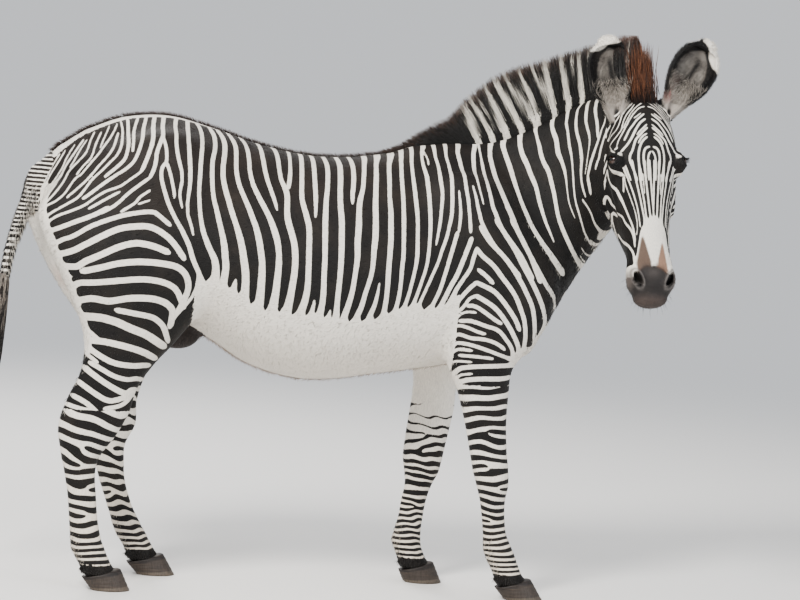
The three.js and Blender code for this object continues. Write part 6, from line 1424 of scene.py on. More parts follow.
def ear_marks(side, P, N):
    base, up, front = (np.array(v) for v in EARS[side])
    lat = np.cross(up, front)
    q = P - base
    h, l = q @ up, q @ lat
    half = np.interp(h, [r[0] / 1000 for r in EAR], [r[1] / 1000 for r in EAR])
    inside = EAR_LOFTS[side][1].value(P) < 0.0075
    inside &= (N @ front > -0.35)
    rim = 1 - np.abs(l) / half
    n = len(P)
    c = np.tile(WHITE, (n, 1))

    def over(colour, amount):
        nonlocal c
        c = c + (np.asarray(colour) - c) * np.clip(amount, 0, 1)[:, None]

    w = 0.010 * wave(P, 41, 40)
    g = -1 if side == "right" else 1
    out = l * np.sign(lat @ AX_S) * g                 # outward from the head
    black = srgb(0.055, 0.048, 0.05)
    # how far in from the outline of the ear a point is, seen from the front
    rows = np.array(EAR, float) / 1000
    line = np.vstack([rows[:, [1, 0]], [[0.018, 0.229], [0.0, 0.233], [-0.018, 0.229]], rows[::-1, [1, 0]] * [-1, 1]])
    L2 = np.stack([out, h], 1)
    deep = np.full(n, 1.0)
    for p, e in zip(line[:-1], line[1:]):
        d = e - p
        t = np.clip(((L2 - p) @ d) / (d @ d), 0, 1)
        deep = np.minimum(deep, np.linalg.norm(L2 - p - t[:, None] * d, axis=1))
    phi = np.degrees(np.arctan2(h - 0.125, out))
    front_side = (N @ front > -0.25) | inside
    # back: pale base, broad dark band, white tip
    over(black, np.where(front_side, 0, step(h + w, 0.070, 0.085) * step(-(h + w), -0.205, -0.190)))
    over(black, np.where(front_side, 0, step(h + w, 0.018, 0.026) * step(-(h + w), -0.048, -0.040)))
    # inside: grey skin under thin hair, two paler lobes, with painted shade over the upper bowl, in the dark furrow
    # between the lobes and in a hollow under the outer lobe; paler and pinkish low down
    shade = 0.5 + 0.5 * wave(P, 43, 90)
    over(srgb(0.40, 0.38, 0.36), np.where(front_side & (deep > 0.004), 0.97, 0))
    # painted shade, patchy, over the upper part of the bowl
    over(srgb(0.24, 0.22, 0.21), np.where(front_side, 0.75 * shade * step(h, 0.04, 0.09), 0))
    over(srgb(0.66, 0.63, 0.60), np.where(front_side, 0.75 * step(-h, -0.085, -0.02), 0))
    over(srgb(0.62, 0.60, 0.57), np.where(front_side, 0.6 * np.exp(-(((out + 0.030) / 0.014) ** 2 + ((h - 0.135) / 0.03) ** 2)), 0))
    over(srgb(0.62, 0.60, 0.57), np.where(front_side, 0.6 * np.exp(-(((out - 0.030) / 0.013) ** 2 + ((h - 0.125) / 0.026) ** 2)), 0))
    mid = -0.004 + 0.010 * np.sin((h - 0.06) * 18)
    # painted shade: a dark furrow between the lobes, and a dark hollow under the outer lobe
    over(srgb(0.055, 0.048, 0.045), np.where(front_side, 0.95 * np.exp(-((out - mid) / 0.0085) ** 2) * step(h, 0.02, 0.05) * step(-h, -0.175, -0.15), 0))
    over(srgb(0.09, 0.08, 0.075), np.where(front_side, 0.8 * np.exp(-(((out - 0.028 - 0.3 * (h - 0.09)) / 0.009) ** 2 + ((h - 0.088) / 0.020) ** 2)), 0))
    over(srgb(0.44, 0.25, 0.24), np.where(front_side, 0.75 * step(-h, -0.100, -0.06) * step(h, -0.02, 0.02) * step(-out, 0.008, 0.026) * (side == "left"), 0))
    # the dark rim, broad above and outside
    broad = 0.019 + 0.013 * step(h, 0.10, 0.19) + 0.005 * step(out, 0.0, 0.05) - 0.010 * step(-h, -0.05, 0.0) * step(-out, -0.02, 0.03)
    over(black, np.where(front_side, step(-(deep + 0.25 * w), -broad - 0.003, -broad + 0.003) * step(h, 0.0, 0.035), 0))
    # white crescent over the outer corner of the tip
    at, arc = (82, 34) if side == "right" else (62, 42)
    wide = 0.026 * np.clip(1 - ((phi - at) / arc) ** 2, 0, 1)
    over(WHITE, np.where(wide > 0.001, step(-(deep + 0.2 * w), -wide - 0.002, -wide + 0.002), 0) * step(h, 0.12, 0.14))
    over(WHITE, np.where(front_side, 0, step(h + w, 0.196, 0.206)))
    return c


EAR_V, EAR_T = [], []
ear_data = {}
for side in EARS:
    f = ear_field(side)
    loft = EAR_LOFTS[side][0]
    lo, hi = loft.lo + 0.045, loft.hi - 0.045
    pts = np.concatenate([loft.C + loft.w[:, None] * loft.L, loft.C - loft.w[:, None] * loft.L, loft.C + loft.h[:, None] * loft.D, loft.C - loft.h[:, None] * loft.D])
    lo, hi = pts.min(0) - 0.03, pts.max(0) + 0.03
    v, q = nets(f, lo, hi, 0.0036)
    v, n = settle(f, v, 0.002, 0.0008)
    v, n = settle(f, v, 0.001, 0.0008)
    far = ear_only(side, v) - skin(v) < 0.0118
    t = tris(q)
    t = t[far[t].any(axis=1)]
    used = np.unique(t)
    new = np.full(len(v), -1)
    new[used] = np.arange(len(used))
    ear_data[side] = (v[used], new[t], n[used])
    print("ear", side, len(used), len(t))
V, NRM = V, unit(gradient(skin, V, 0.001))


def limb_face(P, N):
    a, s, f = head_coords(P)
    limb = step(-P[:, 2], -0.95, -0.70)
    face = step(a, 0.02, 0.08) * (P[:, 0] > 0.84) * (P[:, 1] < -0.18) * (P[:, 2] > 0.88)
    return limb, face


D, LIGHT, DARK = mark(V, NRM)
# the part of the body that an ear covers is left out, and the ears join the skin
covered = np.zeros(len(V), bool)
for side in EARS:
    m = np.nonzero(np.linalg.norm(V - np.array(EARS[side][0]), axis=1) < 0.12)[0]
    covered[m] |= ear_field(side)(V[m]) < -0.0012
T = T[~covered[T].all(axis=1)]
parts = [(V, T, NRM, D, LIGHT, DARK, region_of(V[T].mean(1)))]
for i, side in enumerate(EARS):
    v, t, n = ear_data[side]
    d, li, da = mark(v, n)
    on = step(-(ear_only(side, v) - skin(v)), -0.006, 0.004)
    c = ear_marks(side, v, n)
    li, da = li + (c - li) * on[:, None], da + (c - da) * on[:, None]
    parts.append((v, t, n, d, li, da, np.full(len(t), 6 + i)))
shift = np.cumsum([0] + [len(p[0]) for p in parts[:-1]])
ALL_V = np.concatenate([p[0] for p in parts])
ALL_T = np.concatenate([p[1] + s for p, s in zip(parts, shift)])
ALL_N = np.concatenate([p[2] for p in parts])
ALL_D, ALL_LIGHT, ALL_DARK = (np.concatenate([p[i] for p in parts]) for i in (3, 4, 5))
ALL_R = np.concatenate([p[6] for p in parts])
skin_ob = mesh("skin", ALL_V, ALL_T, skin_uv(ALL_V, ALL_T, ALL_N, ALL_R))
paint(skin_ob, "mark", ALL_D)
paint(skin_ob, "light", ALL_LIGHT)
paint(skin_ob, "dark", ALL_DARK)
L, F = limb_face(ALL_V, ALL_N)
paint(skin_ob, "limb", L)
paint(skin_ob, "face", F)
skin_ob.data.materials.append(HIDE)
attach(skin_ob, "root")
FLESH = [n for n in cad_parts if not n.startswith(("eye", "hoof", "mane", "tail_tassel"))]
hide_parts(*FLESH)
print("skin in all", len(ALL_V), len(ALL_T))

# ------------------------------------------------------------------ eyes
for side, (g, c) in EYES.items():
    gaze, up, lat = eye_axes(g, c)
    m, n = 40, 56
    th = np.linspace(0, math.pi, m + 1)[1:-1]
    ph = np.arange(n) * 2 * math.pi / n
    X = np.stack([np.outer(np.sin(th), np.cos(ph)), np.outer(np.sin(th), np.sin(ph)), np.outer(np.cos(th), np.ones(n))], -1).reshape(-1, 3)
    X = np.vstack([[0, 0, 1], X, [0, 0, -1]])
    # the cornea bulges a little
    bulge = 1 + 0.035 * np.clip((X[:, 2] - 0.72) / 0.28, 0, 1) ** 1.5
    P = c + EYE_R * bulge[:, None] * (X[:, :1] * lat + X[:, 1:2] * up + X[:, 2:] * gaze)
    i = np.arange((m - 2) * n)
    r, k = i // n, i % n
    a, b = 1 + r * n + k, 1 + r * n + (k + 1) % n
    F = np.concatenate([np.stack([a, a + n, b + n], 1), np.stack([a, b + n, b], 1)])
    k = np.arange(n)
    F = np.concatenate([F, np.stack([0 * k, 1 + k, 1 + (k + 1) % n], 1), np.stack([0 * k + len(X) - 1, 1 + (m - 2) * n + (k + 1) % n, 1 + (m - 2) * n + k], 1)])
    ob = mesh("eyeball_" + side, P, F)
    rad = np.hypot(X[:, 0], X[:, 1])
    pupil = np.sqrt((X[:, 0] / 0.42) ** 2 + (X[:, 1] / 0.22) ** 2)
    tone = np.tile(srgb(0.20, 0.115, 0.07), (len(X), 1))
    tone = tone + (srgb(0.012, 0.012, 0.014) - tone) * (step(-pupil, -1.1, -0.9) * (X[:, 2] > 0))[:, None]
    tone = tone + (srgb(0.06, 0.045, 0.04) - tone) * step(rad, 0.62, 0.72)[:, None]
    tone = tone + (srgb(0.42, 0.33, 0.29) - tone) * (step(rad, 0.86, 0.95) + (X[:, 2] < 0)).clip(0, 1)[:, None] * 0.6
    paint(ob, "tone", tone)
    ob.data.materials.append(EYE)
    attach(ob, "root")
    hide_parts("eye_" + side)

# ------------------------------------------------------------------ hooves
for name, (x0, x1, t0, t1, y) in HOOVES.items():
    sides, levels = 56, 16
    ang = np.arange(sides) * 2 * math.pi / sides
    rings, tone = [], []
    lv = list(np.linspace(0, 1, levels))
    for j, t in enumerate([-1] + lv + [1.04, 1.06]):
        u = max(t, 0)
        toe, heel = x0 + (t0 - x0) * u, x1 + (t1 - x1) * u
        w = 52.0 + (44.5 - 52.0) * u
        ztoe, zheel = 65 * u, 37 * u
        k = 1.0
        if t < 0:
            k = 0.80                                        # the hollow of the sole
        elif t > 1:
            k = 0.93 - (t - 1.04) * 12
            ztoe, zheel = 65 + 2.0, 37 + 2.0
        elif t == 0:
            k = 0.985
        bulge = 1 + 0.010 * math.sin(t * 26) * (0 < t < 1)
        cx, rx = (toe + heel) / 2, (toe - heel) / 2 - 0.6
        co, si = np.cos(ang), np.sin(ang)
        px = np.sign(co) * np.abs(co) ** 0.92 * rx
        py = np.sign(si) * np.abs(si) ** 0.90 * w * np.where(co < 0, 1 - 0.13 * co ** 2, 1)
        notch = np.exp(-((np.abs(ang - math.pi)) / 0.20) ** 2) * 0.16
        px = px * (1 - notch)
        cxr = cx + px * k * bulge
        z = zheel + (ztoe - zheel) * (px + rx) / (2 * rx)
        z = np.where(t < 0, 4.0, z) if t < 0 else z
        rings.append(np.stack([cxr, y + py * k * bulge, z], 1))
        base = srgb(0.25, 0.22, 0.20) if t < 0.85 else srgb(0.16, 0.14, 0.135)
        base = srgb(0.36, 0.325, 0.29) if t < 0.25 else base
        tone.append(np.tile(base, (sides, 1)))
    P = np.concatenate(rings) / 1000
    P = np.vstack([P, [[(x0 + x1) / 2000, y / 1000, 0.006]], [[(t0 + t1) / 2000, y / 1000, 0.050]]])
    tone = np.vstack(tone + [srgb(0.35, 0.32, 0.3)[None], srgb(0.1, 0.1, 0.1)[None]])
    n, m = sides, len(rings)
    i = np.arange((m - 1) * n)
    r, k = i // n, i % n
    a, b = r * n + k, r * n + (k + 1) % n
    F = np.concatenate([np.stack([a, b, b + n], 1), np.stack([a, b + n, a + n], 1)])
    k = np.arange(n)
    F = np.concatenate([F, np.stack([0 * k + m * n, (k + 1) % n, k], 1), np.stack([0 * k + m * n + 1, (m - 1) * n + k, (m - 1) * n + (k + 1) % n], 1)])
    ob = mesh(name + "_wall", P, F)
    paint(ob, "tone", tone)
    ob.data.materials.append(HOOF)
    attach(ob, "root")
    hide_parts(name)

# ------------------------------------------------------------------ hair
def locks(root, tip, across, width, bend, rings=2, tip_w=0.25, sides=3):
    """slender three-sided locks from root to tip, bowed by bend; returns points, triangles and the lock of each point"""
    n = len(root)
    V, ax = [], unit(tip - root)
    up = unit(np.cross(ax, across))
    side = np.cross(up, ax)
    for j in range(rings):
        t = j / rings
        c = root + (tip - root) * t + bend * (4 * t * (1 - t))
        w = (width * (1 - (1 - tip_w) * t))[:, None]
        for k in range(sides):
            a = 2 * math.pi * k / sides + math.pi / 2
            V.append(c + side * (math.cos(a) * w) + up * (math.sin(a) * w * 0.55))
    V.append(tip)
    V = np.stack(V, 1)                                     # n, rings * sides + 1, 3
    per = rings * sides + 1
    f = []
    for j in range(rings - 1):
        for k in range(sides):
            a, b = j * sides + k, j * sides + (k + 1) % sides
            f += [(a, b, b + sides), (a, b + sides, a + sides)]
    for k in range(sides):
        f.append(((rings - 1) * sides + k, (rings - 1) * sides + (k + 1) % sides, rings * sides))
    F = (np.array(f)[None] + (np.arange(n) * per)[:, None, None]).reshape(-1, 3)
    return V.reshape(-1, 3), F, np.repeat(np.arange(n), per), np.tile(np.r_[np.repeat(np.arange(rings) / rings, sides), 1.0], n), len(f)


def lock_uv(uv_root, n_faces):
    """each lock is a patch 0.003 across at its root's place"""
    tri = np.array([[-0.0014, -0.0014], [0.0014, -0.0014], [0.0, 0.0014]])
    c = np.repeat(np.clip(uv_root, 0.002, 0.998), n_faces, axis=0)
    return (c[:, None, :] + tri[None]).reshape(-1, 2)


def coat(name, root, tip, across, width, bend, tone_root, tone_tip, uv_root, material, rings=2, replaces=(), turn=0.5, tip_w=0.25):
    V, F, who, t, nf = locks(root, tip, across, width, bend, rings, tip_w)
    ob = mesh(name, V, F, lock_uv(uv_root, nf))
    s = step(t, turn - 0.25, turn + 0.25)[:, None]
    paint(ob, "tone", tone_root[who] * (1 - s) + tone_tip[who] * s)
    ob.data.materials.append(material)
    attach(ob, "root")
    if replaces:
        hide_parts(*replaces)
    print(name, len(F))
    return ob


def scatter(P, T, weight, count, seed):
    """points on the skin: triangle, barycentric place"""
    r = np.random.default_rng(seed)
    A = 0.5 * np.linalg.norm(np.cross(P[T[:, 1]] - P[T[:, 0]], P[T[:, 2]] - P[T[:, 0]]), axis=1) * weight
    k = np.searchsorted(np.cumsum(A) / A.sum(), r.random(count))
    u, v = r.random(count), r.random(count)
    s = u + v > 1
    u[s], v[s] = 1 - u[s], 1 - v[s]
    return k, np.stack([1 - u - v, u, v], 1)


def lie(P, N):
    """which way the coat lies on the body"""
    n = len(P)
    d = np.tile([-0.80, 0, -0.60], (n, 1))
    x, z = P[:, 0], P[:, 2]
    leg = step(-z, -0.95, -0.72)[:, None]
    d = d * (1 - leg) + np.array([-0.12, 0, -1.0]) * leg
    neck = step(x, 0.45, 0.75)[:, None] * step(z, 0.95, 1.1)[:, None]
    d = d * (1 - neck) + np.array([-0.35, 0.05, -0.93]) * neck
    a, s, f = head_coords(P)
    m = (step(a, 0.0, 0.06) * (x > 0.84) * (P[:, 1] < -0.18))[:, None]
    d = d * (1 - m) + (AX_A + 0.25 * np.sign(s)[:, None] * AX_S - 0.1 * AX_F) * m
    d = d - (d * N).sum(1)[:, None] * N
    return unit(d)


def colour_at(D, light, dark):
    k = step(D, -0.8, 0.8)[:, None]
    return light * (1 - k) + dark * k


ONE_FIELD = skin
r = np.random.default_rng(21)
fn = unit(np.cross(ALL_V[ALL_T[:, 1]] - ALL_V[ALL_T[:, 0]], ALL_V[ALL_T[:, 2]] - ALL_V[ALL_T[:, 0]]))
cen = ALL_V[ALL_T].mean(1)
fa, fs, ff = head_coords(cen)
is_head = (fa > -0.01) & (cen[:, 0] > 0.84) & (cen[:, 1] < -0.19)
is_ear = ALL_R >= 6


def on_skin(k, w):
    t = ALL_T[k]
    get = lambda A: (A[t] * (w if A.ndim == 1 else w[..., None])).sum(1)
    P, N = get(ALL_V), unit(get(ALL_N))
    return P, N, get(ALL_D), get(ALL_LIGHT), get(ALL_DARK)


def uv_at(P, k):
    R = ALL_R[k]
    return unwrap(P, R, facing(fn[k], R))


def flat_coat(name, which, weight, count, length, width, lift, seed):
    k, w = scatter(ALL_V, ALL_T[:], weight * which, count, seed)
    P, N, D, li, da = on_skin(k, w)
    rr = np.random.default_rng(seed + 1)
    d = lie(P, N)
    side = np.cross(N, d)
    d = unit(d + side * rr.normal(0, 0.16, len(P))[:, None])
    ln = length * rr.uniform(0.7, 1.25, len(P))
    ln = np.minimum(ln, (np.abs(D) + 2.5) / 1000)
    keep = (np.abs(D) > 2.0) & (ln > 0.004)
    P, N, D, li, da, d, ln, k = P[keep], N[keep], D[keep], li[keep], da[keep], d[keep], ln[keep], k[keep]
    side = np.cross(N, d)
    tone = colour_at(D, li, da) * rr.uniform(0.86, 1.12, len(P))[:, None]
    root = P - N * 0.0012
    tip = P + d * ln[:, None] + N * (lift * rr.uniform(0.3, 1.0, len(P)))[:, None]
    coat(name, root, tip, side, width * rr.uniform(0.7, 1.2, len(P)), N * 0.0008, tone, tone * 1.04, uv_at(P, k), HAIR, rings=1)


body_ = (~is_head) & (~is_ear) & (cen[:, 2] > 0.70)
legs_ = (~is_head) & (~is_ear) & (cen[:, 2] <= 0.70) & (cen[:, 2] > 0.095)
flat_coat("coat_trunk", body_, 1.0, 42000, 0.013, 0.0016, 0.0016, 31)
flat_coat("coat_legs", legs_, 1.0, 15000, 0.010, 0.0012, 0.0012, 33)
flat_coat("coat_head", is_head & (fa < 0.60), 1.0, 12000, 0.0075, 0.0008, 0.0010, 35)


# longer hair where it breaks the outline: dorsal crest, belly, throat, elbows, fetlocks, jaw
def fringe(name, which, count, length, width, direction, spread, lift, seed, tone_tip=None, tone_root=None, rings=2, material=None, weight=1.0):
    k, w = scatter(ALL_V, ALL_T, which.astype(float) * weight, count, seed)
    P, N, D, li, da = on_skin(k, w)
    rr = np.random.default_rng(seed + 1)
    base = colour_at(D, li, da) if tone_root is None else np.tile(tone_root, (len(P), 1))
    base = base * rr.uniform(0.85, 1.12, len(P))[:, None]
    end = base if tone_tip is None else np.tile(tone_tip, (len(P), 1)) * rr.uniform(0.8, 1.2, len(P))[:, None]
    d = unit(lie(P, N) * direction[0] + N * direction[1] + np.array([0, 0, 1.0]) * direction[2] + rr.normal(0, spread, (len(P), 3)))
    ln = length * rr.uniform(0.55, 1.2, len(P))
    root = P - N * 0.0015
    tip = P + d * ln[:, None] + N * lift
    return coat(name, root, tip, unit(np.cross(N, d)), width * rr.uniform(0.7, 1.25, len(P)), rr.normal(0, 0.04, (len(P), 3)) * ln[:, None],
                base, end, uv_at(P, k), material or HAIR, rings=rings)


cx, cy, cz = cen.T
crest = (np.abs(cy) < 0.016) & (fn[:, 2] > 0.5) & (cx > -0.80) & (cx < 0.36)
fringe("crest_back", crest, 3600, 0.017, 0.0011, (0.9, 0.9, 0.0), 0.18, 0.0, 51, tone_root=srgb(0.10, 0.08, 0.075), tone_tip=srgb(0.26, 0.18, 0.14))
belly = (np.abs(cy) < 0.03) & (fn[:, 2] < -0.6) & (cx > -0.30) & (cx < 0.60) & (cz < 0.95)
fringe("belly_line", belly, 2200, 0.020, 0.0009, (0.9, 0.35, 0.0), 0.2, 0.0, 53, tone_tip=srgb(0.50, 0.36, 0.25))
throat = (~is_head) & (cx > 0.66) & (cz > 0.80) & (cz < 1.30) & (fn[:, 0] > 0.35) & (np.abs(cy + 0.05) < 0.16)
fringe("chest", throat, 2200, 0.018, 0.0011, (1.0, 0.18, 0.0), 0.12, 0.0, 55)
elbow = (cz > 0.62) & (cz < 0.98) & (fn[:, 0] < -0.55) & (cx > 0.30) & (cx < 0.62)
fringe("elbows", elbow, 900, 0.012, 0.0009, (1.0, 0.14, 0.0), 0.10, 0.0, 57)
rump = (cz > 0.55) & (cz < 1.28) & (fn[:, 0] < -0.72) & (cx < -0.5)
fringe("buttocks", rump, 2600, 0.018, 0.0010, (1.0, 0.18, 0.0), 0.14, 0.0, 59)
fetlock = (cz > 0.085) & (cz < 0.20) & (fn[:, 0] < -0.35)
fringe("fetlocks", fetlock, 1500, 0.012, 0.0008, (1.0, 0.13, 0.0), 0.09, 0.0, 61)
coronet = (cz > 0.055) & (cz < 0.088) & (~is_head)
fringe("coronets", coronet, 3000, 0.016, 0.0009, (1.0, 0.16, 0.0), 0.10, 0.0, 63, tone_root=srgb(0.07, 0.06, 0.06), tone_tip=srgb(0.16, 0.13, 0.11))
jaw = is_head & (ff < -0.19) & (fa > 0.05) & (fa < 0.5)
fringe("jaw_hair", jaw, 1800, 0.016, 0.0009, (1.0, 0.22, 0.0), 0.14, 0.0, 65)
chin = is_head & (fa > 0.60) & (ff < -0.08)
fringe("chin_whiskers", chin, 90, 0.032, 0.0005, (0.5, 1.0, -0.3), 0.22, 0.0, 67, tone_root=srgb(0.08, 0.07, 0.07), tone_tip=srgb(0.3, 0.28, 0.26), rings=3)
nose = is_head & (fa > 0.585)
fringe("muzzle_fuzz", nose, 5000, 0.0045, 0.0004, (0.7, 0.5, 0.0), 0.25, 0.0, 69, rings=1)


# ------------------------------------------------------------------ mane
MN = MANE_LOFT
# the bands of the mane lean back toward their tips by this much of a section from root to tip
LEAN_AT, LEAN = [0, 2.5, 3.5, 5.5, 6.4, 7.2, 10], [0.15, 0.35, 0.50, 0.55, 0.20, 0.05, -0.15]


def mane_frame(u):
    u = np.clip(u, 0, len(MN.C) - 1.0001)
    i = u.astype(int)
    t = u - i
    out = []
    for A in (MN.C, MN.D, MN.L):
        pad = np.vstack([2 * A[0] - A[1], A, 2 * A[-1] - A[-2]])
        a, b, c, d = pad[i], pad[i + 1], pad[i + 2], pad[np.minimum(i + 3, len(pad) - 1)]
        tt = t[:, None]
        out.append(0.5 * ((2 * b) + (c - a) * tt + (2 * a - 5 * b + 4 * c - d) * tt ** 2 + (3 * b - a - 3 * c + d) * tt ** 3))
    h = np.interp(u, np.arange(len(MN.h)), MN.h)
    w = np.interp(u, np.arange(len(MN.w)), MN.w)
    # it grows up gradually from the withers
    slim = 1 - 0.68 * step(-u, -1.9, 0.1)
    return out[0] - unit(out[1]) * (h * (1 - slim))[:, None], unit(out[1]), unit(out[2]), h * slim, w


def mane_colour(u, v, seed):
    """v: 0 at the roots, 1 at the crest"""
    r = np.random.default_rng(seed)
    h = np.interp(u, np.arange(len(MN.h)), MN.h)
    way = np.interp(u, np.arange(11), MANE_WAY)
    D = stroke_field(np.stack([way + r.normal(0, 1.6, len(u)), np.clip(v, 0.14, 1.2) * h * 2000], 1), PALE_MANE, grow=0.4)
    pale = D < 0
    k = step(D, -1.0, 1.0)[:, None]
    return srgb(0.86, 0.84, 0.80) * (1 - k) + srgb(0.055, 0.047, 0.046) * k, pale


# a striped core fills the mane between the locks
def mane_core():
    nu, nv = 420, 34
    us = np.linspace(0.0, 10.0, nu)
    ang = np.arange(nv) * 2 * math.pi / nv
    U, A = np.repeat(us, nv), np.tile(ang, nu)
    c, d, l, h, w = mane_frame(U)
    hh, ww = h * 0.90, np.maximum(w * 0.80 - 0.002, 0.004)
    drop = -0.06 * h
    rag = 1 - 0.05 * (0.5 + 0.5 * np.sin(U * 53)) * (np.sin(A) > 0.3)
    end = np.clip(np.minimum(U, 10 - U) / 0.35, 0.12, 1) ** 0.5
    P = c + d * (drop + hh * rag * np.sign(np.sin(A)) * np.abs(np.sin(A)) ** 0.8)[:, None] + l * (ww * end * np.sign(np.cos(A)) * np.abs(np.cos(A)) ** 0.8)[:, None]
    i = np.arange((nu - 1) * nv)
    r, k = i // nv, i % nv
    a, b = r * nv + k, r * nv + (k + 1) % nv
    F = np.concatenate([np.stack([a, b, b + nv], 1), np.stack([a, b + nv, a + nv], 1)])
    P = np.vstack([P, P[:nv].mean(0), P[-nv:].mean(0)])
    k = np.arange(nv)
    F = np.concatenate([F, np.stack([0 * k + nu * nv, (k + 1) % nv, k], 1), np.stack([0 * k + nu * nv + 1, (nu - 1) * nv + k, (nu - 1) * nv + (k + 1) % nv], 1)])
    v = np.clip((np.sin(A) + 1) / 2, 0, 1)
    tone, pale = mane_colour(U, v, 71)
    tip = 0.8 * step(v, 0.80, 1.0)[:, None]
    tone = tone * (1 - tip) + srgb(0.20, 0.145, 0.12) * tip
    tone = np.vstack([tone, tone[:1], tone[-1:]])
    uu, vv = U / 10, A / (2 * math.pi)
    uv = np.stack([np.r_[uu, 0.0, 1.0] * 0.98 + 0.01, np.r_[vv, 0.5, 0.5] * 0.98 + 0.01], 1)
    cu = uv[F]
    wrap = (cu[:, :, 1].max(1) - cu[:, :, 1].min(1)) > 0.5
    cu[wrap, :, 1] = np.where(cu[wrap, :, 1] < 0.5, 0.985, cu[wrap, :, 1])
    ob = mesh("mane_core", P, F, cu.reshape(-1, 2))
    paint(ob, "tone", tone)
    ob.data.materials.append(MANE_HAIR)
    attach(ob, "root")
    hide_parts("mane")


def mane_locks(name, count, seed, v0, v1, over_):
    r = np.random.default_rng(seed)
    u = r.uniform(0.05, 10.0, count)
    g = np.where(r.random(count) < 0.5, -1.0, 1.0)
    c, d, l, h, w = mane_frame(u)
    va = r.uniform(v0, v1, count)                           # where along the height the lock starts
    vb = np.minimum(va + r.uniform(0.35, 0.7, count), 1.0)
    top = r.random(count) < 0.45
    vb = np.where(top, 1.0, vb)
    wide = np.maximum(w * 0.86 - 0.002, 0.003)

    def place(v, k):
        s = 2 * v - 1
        roundness = np.sqrt(np.clip(1 - np.abs(s) ** 2.5, 0.0, 1)) ** 0.8
        return c + d * (h * s * 0.97)[:, None] + l * (g * wide * roundness * k)[:, None]

    lean = np.interp(u, LEAN_AT, LEAN)
    root = place(va, 0.92)
    u2 = np.clip(u - lean * (vb - va) / 0.85 + r.normal(0, 0.02, count), 0, 10)
    c, d, l, h, w = mane_frame(u2)
    wide = np.maximum(w * 0.86 - 0.002, 0.003)
    tip = place(vb, 1.02)
    rag = np.where(r.random(count) < 0.25, r.uniform(0.0, 0.020, count), r.uniform(-0.016, 0.004, count)) * over_
    tip = tip + d * np.where(vb > 0.98, rag, 0)[:, None]
    tip = np.where((vb > 0.98)[:, None], tip + l * (r.normal(0, 0.006, count))[:, None], tip)
    zmax = SIZE["frame"]["high"][2] - 0.003
    tip[:, 2] = np.minimum(tip[:, 2], zmax)
    base, pale = mane_colour(u, va, seed + 1)
    shade = r.uniform(0.8, 1.12, count)[:, None]
    end, pale2 = mane_colour(u2, vb, seed + 2)
    base, end = base * shade, end * shade
    russet = step(u, 8.6, 9.6)[:, None]
    dark_tip = srgb(0.20, 0.145, 0.12) * (1 - russet) + srgb(0.40, 0.25, 0.18) * russet
    toptone = dark_tip * r.uniform(0.6, 1.5, count)[:, None]
    hot = (r.random(count) < 0.35)[:, None]
    toptone = np.where(hot, toptone * 0.3 + 0.7 * srgb(0.42, 0.30, 0.23), toptone)
    k = step(vb, 0.82, 1.0)[:, None] * np.where(pale2, 0.55, 0.9)[:, None]
    end = end * (1 - k) + toptone * k
    uv = np.stack([u / 10 * 0.98 + 0.01, np.where(g > 0, 0.25, 0.75) - g * (va - 0.5) * 0.46], 1)
    coat(name, root, tip, unit(np.cross(l, d)), 0.0014 * r.uniform(0.6, 1.3, count), l * (g * 0.0015)[:, None], base, end, uv, MANE_HAIR,
         rings=2, turn=0.60, tip_w=0.40)


mane_core()
mane_locks("mane_locks_low", 13000, 73, 0.02, 0.45, 1.0)
mane_locks("mane_locks_top", 15000, 75, 0.35, 0.88, 1.0)

# forelock: russet hair that stands up and forward between the ears
r = np.random.default_rng(81)
n = 2600
a_, s_ = r.uniform(-0.01, 0.055, n), r.normal(0, 0.014, n)
root = head_point(a_, s_, -0.030 + 0 * a_)
top = MN.C[-1] + MN.D[-1] * MN.h[-1]
height = r.uniform(0.6, 1.0, n) * (0.165 - 1.2 * a_)
d = unit(unit(top - head_point(0.01, 0, -0.03))[None] + r.normal(0, 0.090, (n, 3)) + AX_F * 0.14)
tip = root + d * height[:, None]
zmax = SIZE["frame"]["high"][2] - 0.004
tip[:, 2] = np.minimum(tip[:, 2], zmax - r.uniform(0, 0.012, n))
base = np.tile(srgb(0.085, 0.065, 0.06), (n, 1)) * r.uniform(0.7, 1.5, n)[:, None]
warm = r.random(n)[:, None] ** 1.1
end = (srgb(0.17, 0.12, 0.10) * (1 - warm) + srgb(0.58, 0.37, 0.25) * warm) * r.uniform(0.7, 1.15, n)[:, None]
uv = np.stack([0.3 + s_ * 6, 0.3 + a_ * 6], 1)
coat("forelock", root, tip, np.tile(AX_S, (n, 1)), 0.0012 * r.uniform(0.7, 1.3, n), r.normal(0, 0.004, (n, 3)), base, end, uv, MANE_HAIR, rings=4, turn=0.60, tip_w=0.35)

# ------------------------------------------------------------------ long hair of the tail
TS = TASSEL_LOFT


def tassel_frame(u):
    i = np.clip(u.astype(int), 0, len(TS.C) - 2)
    t = (u - i)[:, None]
    f = lambda A: A[i] * (1 - t) + A[i + 1] * t
    return f(TS.C), unit(f(TS.D)), unit(f(TS.L)), np.interp(u, np.arange(5), TS.h), np.interp(u, np.arange(5), TS.w)


nu, nv = 40, 20
U, A = np.repeat(np.linspace(0.02, 3.6, nu), nv), np.tile(np.arange(nv) * 2 * math.pi / nv, nu)
c, d, l, h, w = tassel_frame(U)
k = 0.72 * np.clip((3.75 - U) / 1.2, 0.2, 1)
P = c + d * (h * k * np.sin(A))[:, None] + l * (w * k * np.cos(A))[:, None]
i = np.arange((nu - 1) * nv)
rr_, kk = i // nv, i % nv
a, b = rr_ * nv + kk, rr_ * nv + (kk + 1) % nv
F = np.concatenate([np.stack([a, b, b + nv], 1), np.stack([a, b + nv, a + nv], 1)])
P = np.vstack([P, P[:nv].mean(0), P[-nv:].mean(0)])
kk = np.arange(nv)
F = np.concatenate([F, np.stack([0 * kk + nu * nv, (kk + 1) % nv, kk], 1), np.stack([0 * kk + nu * nv + 1, (nu - 1) * nv + kk, (nu - 1) * nv + (kk + 1) % nv], 1)])
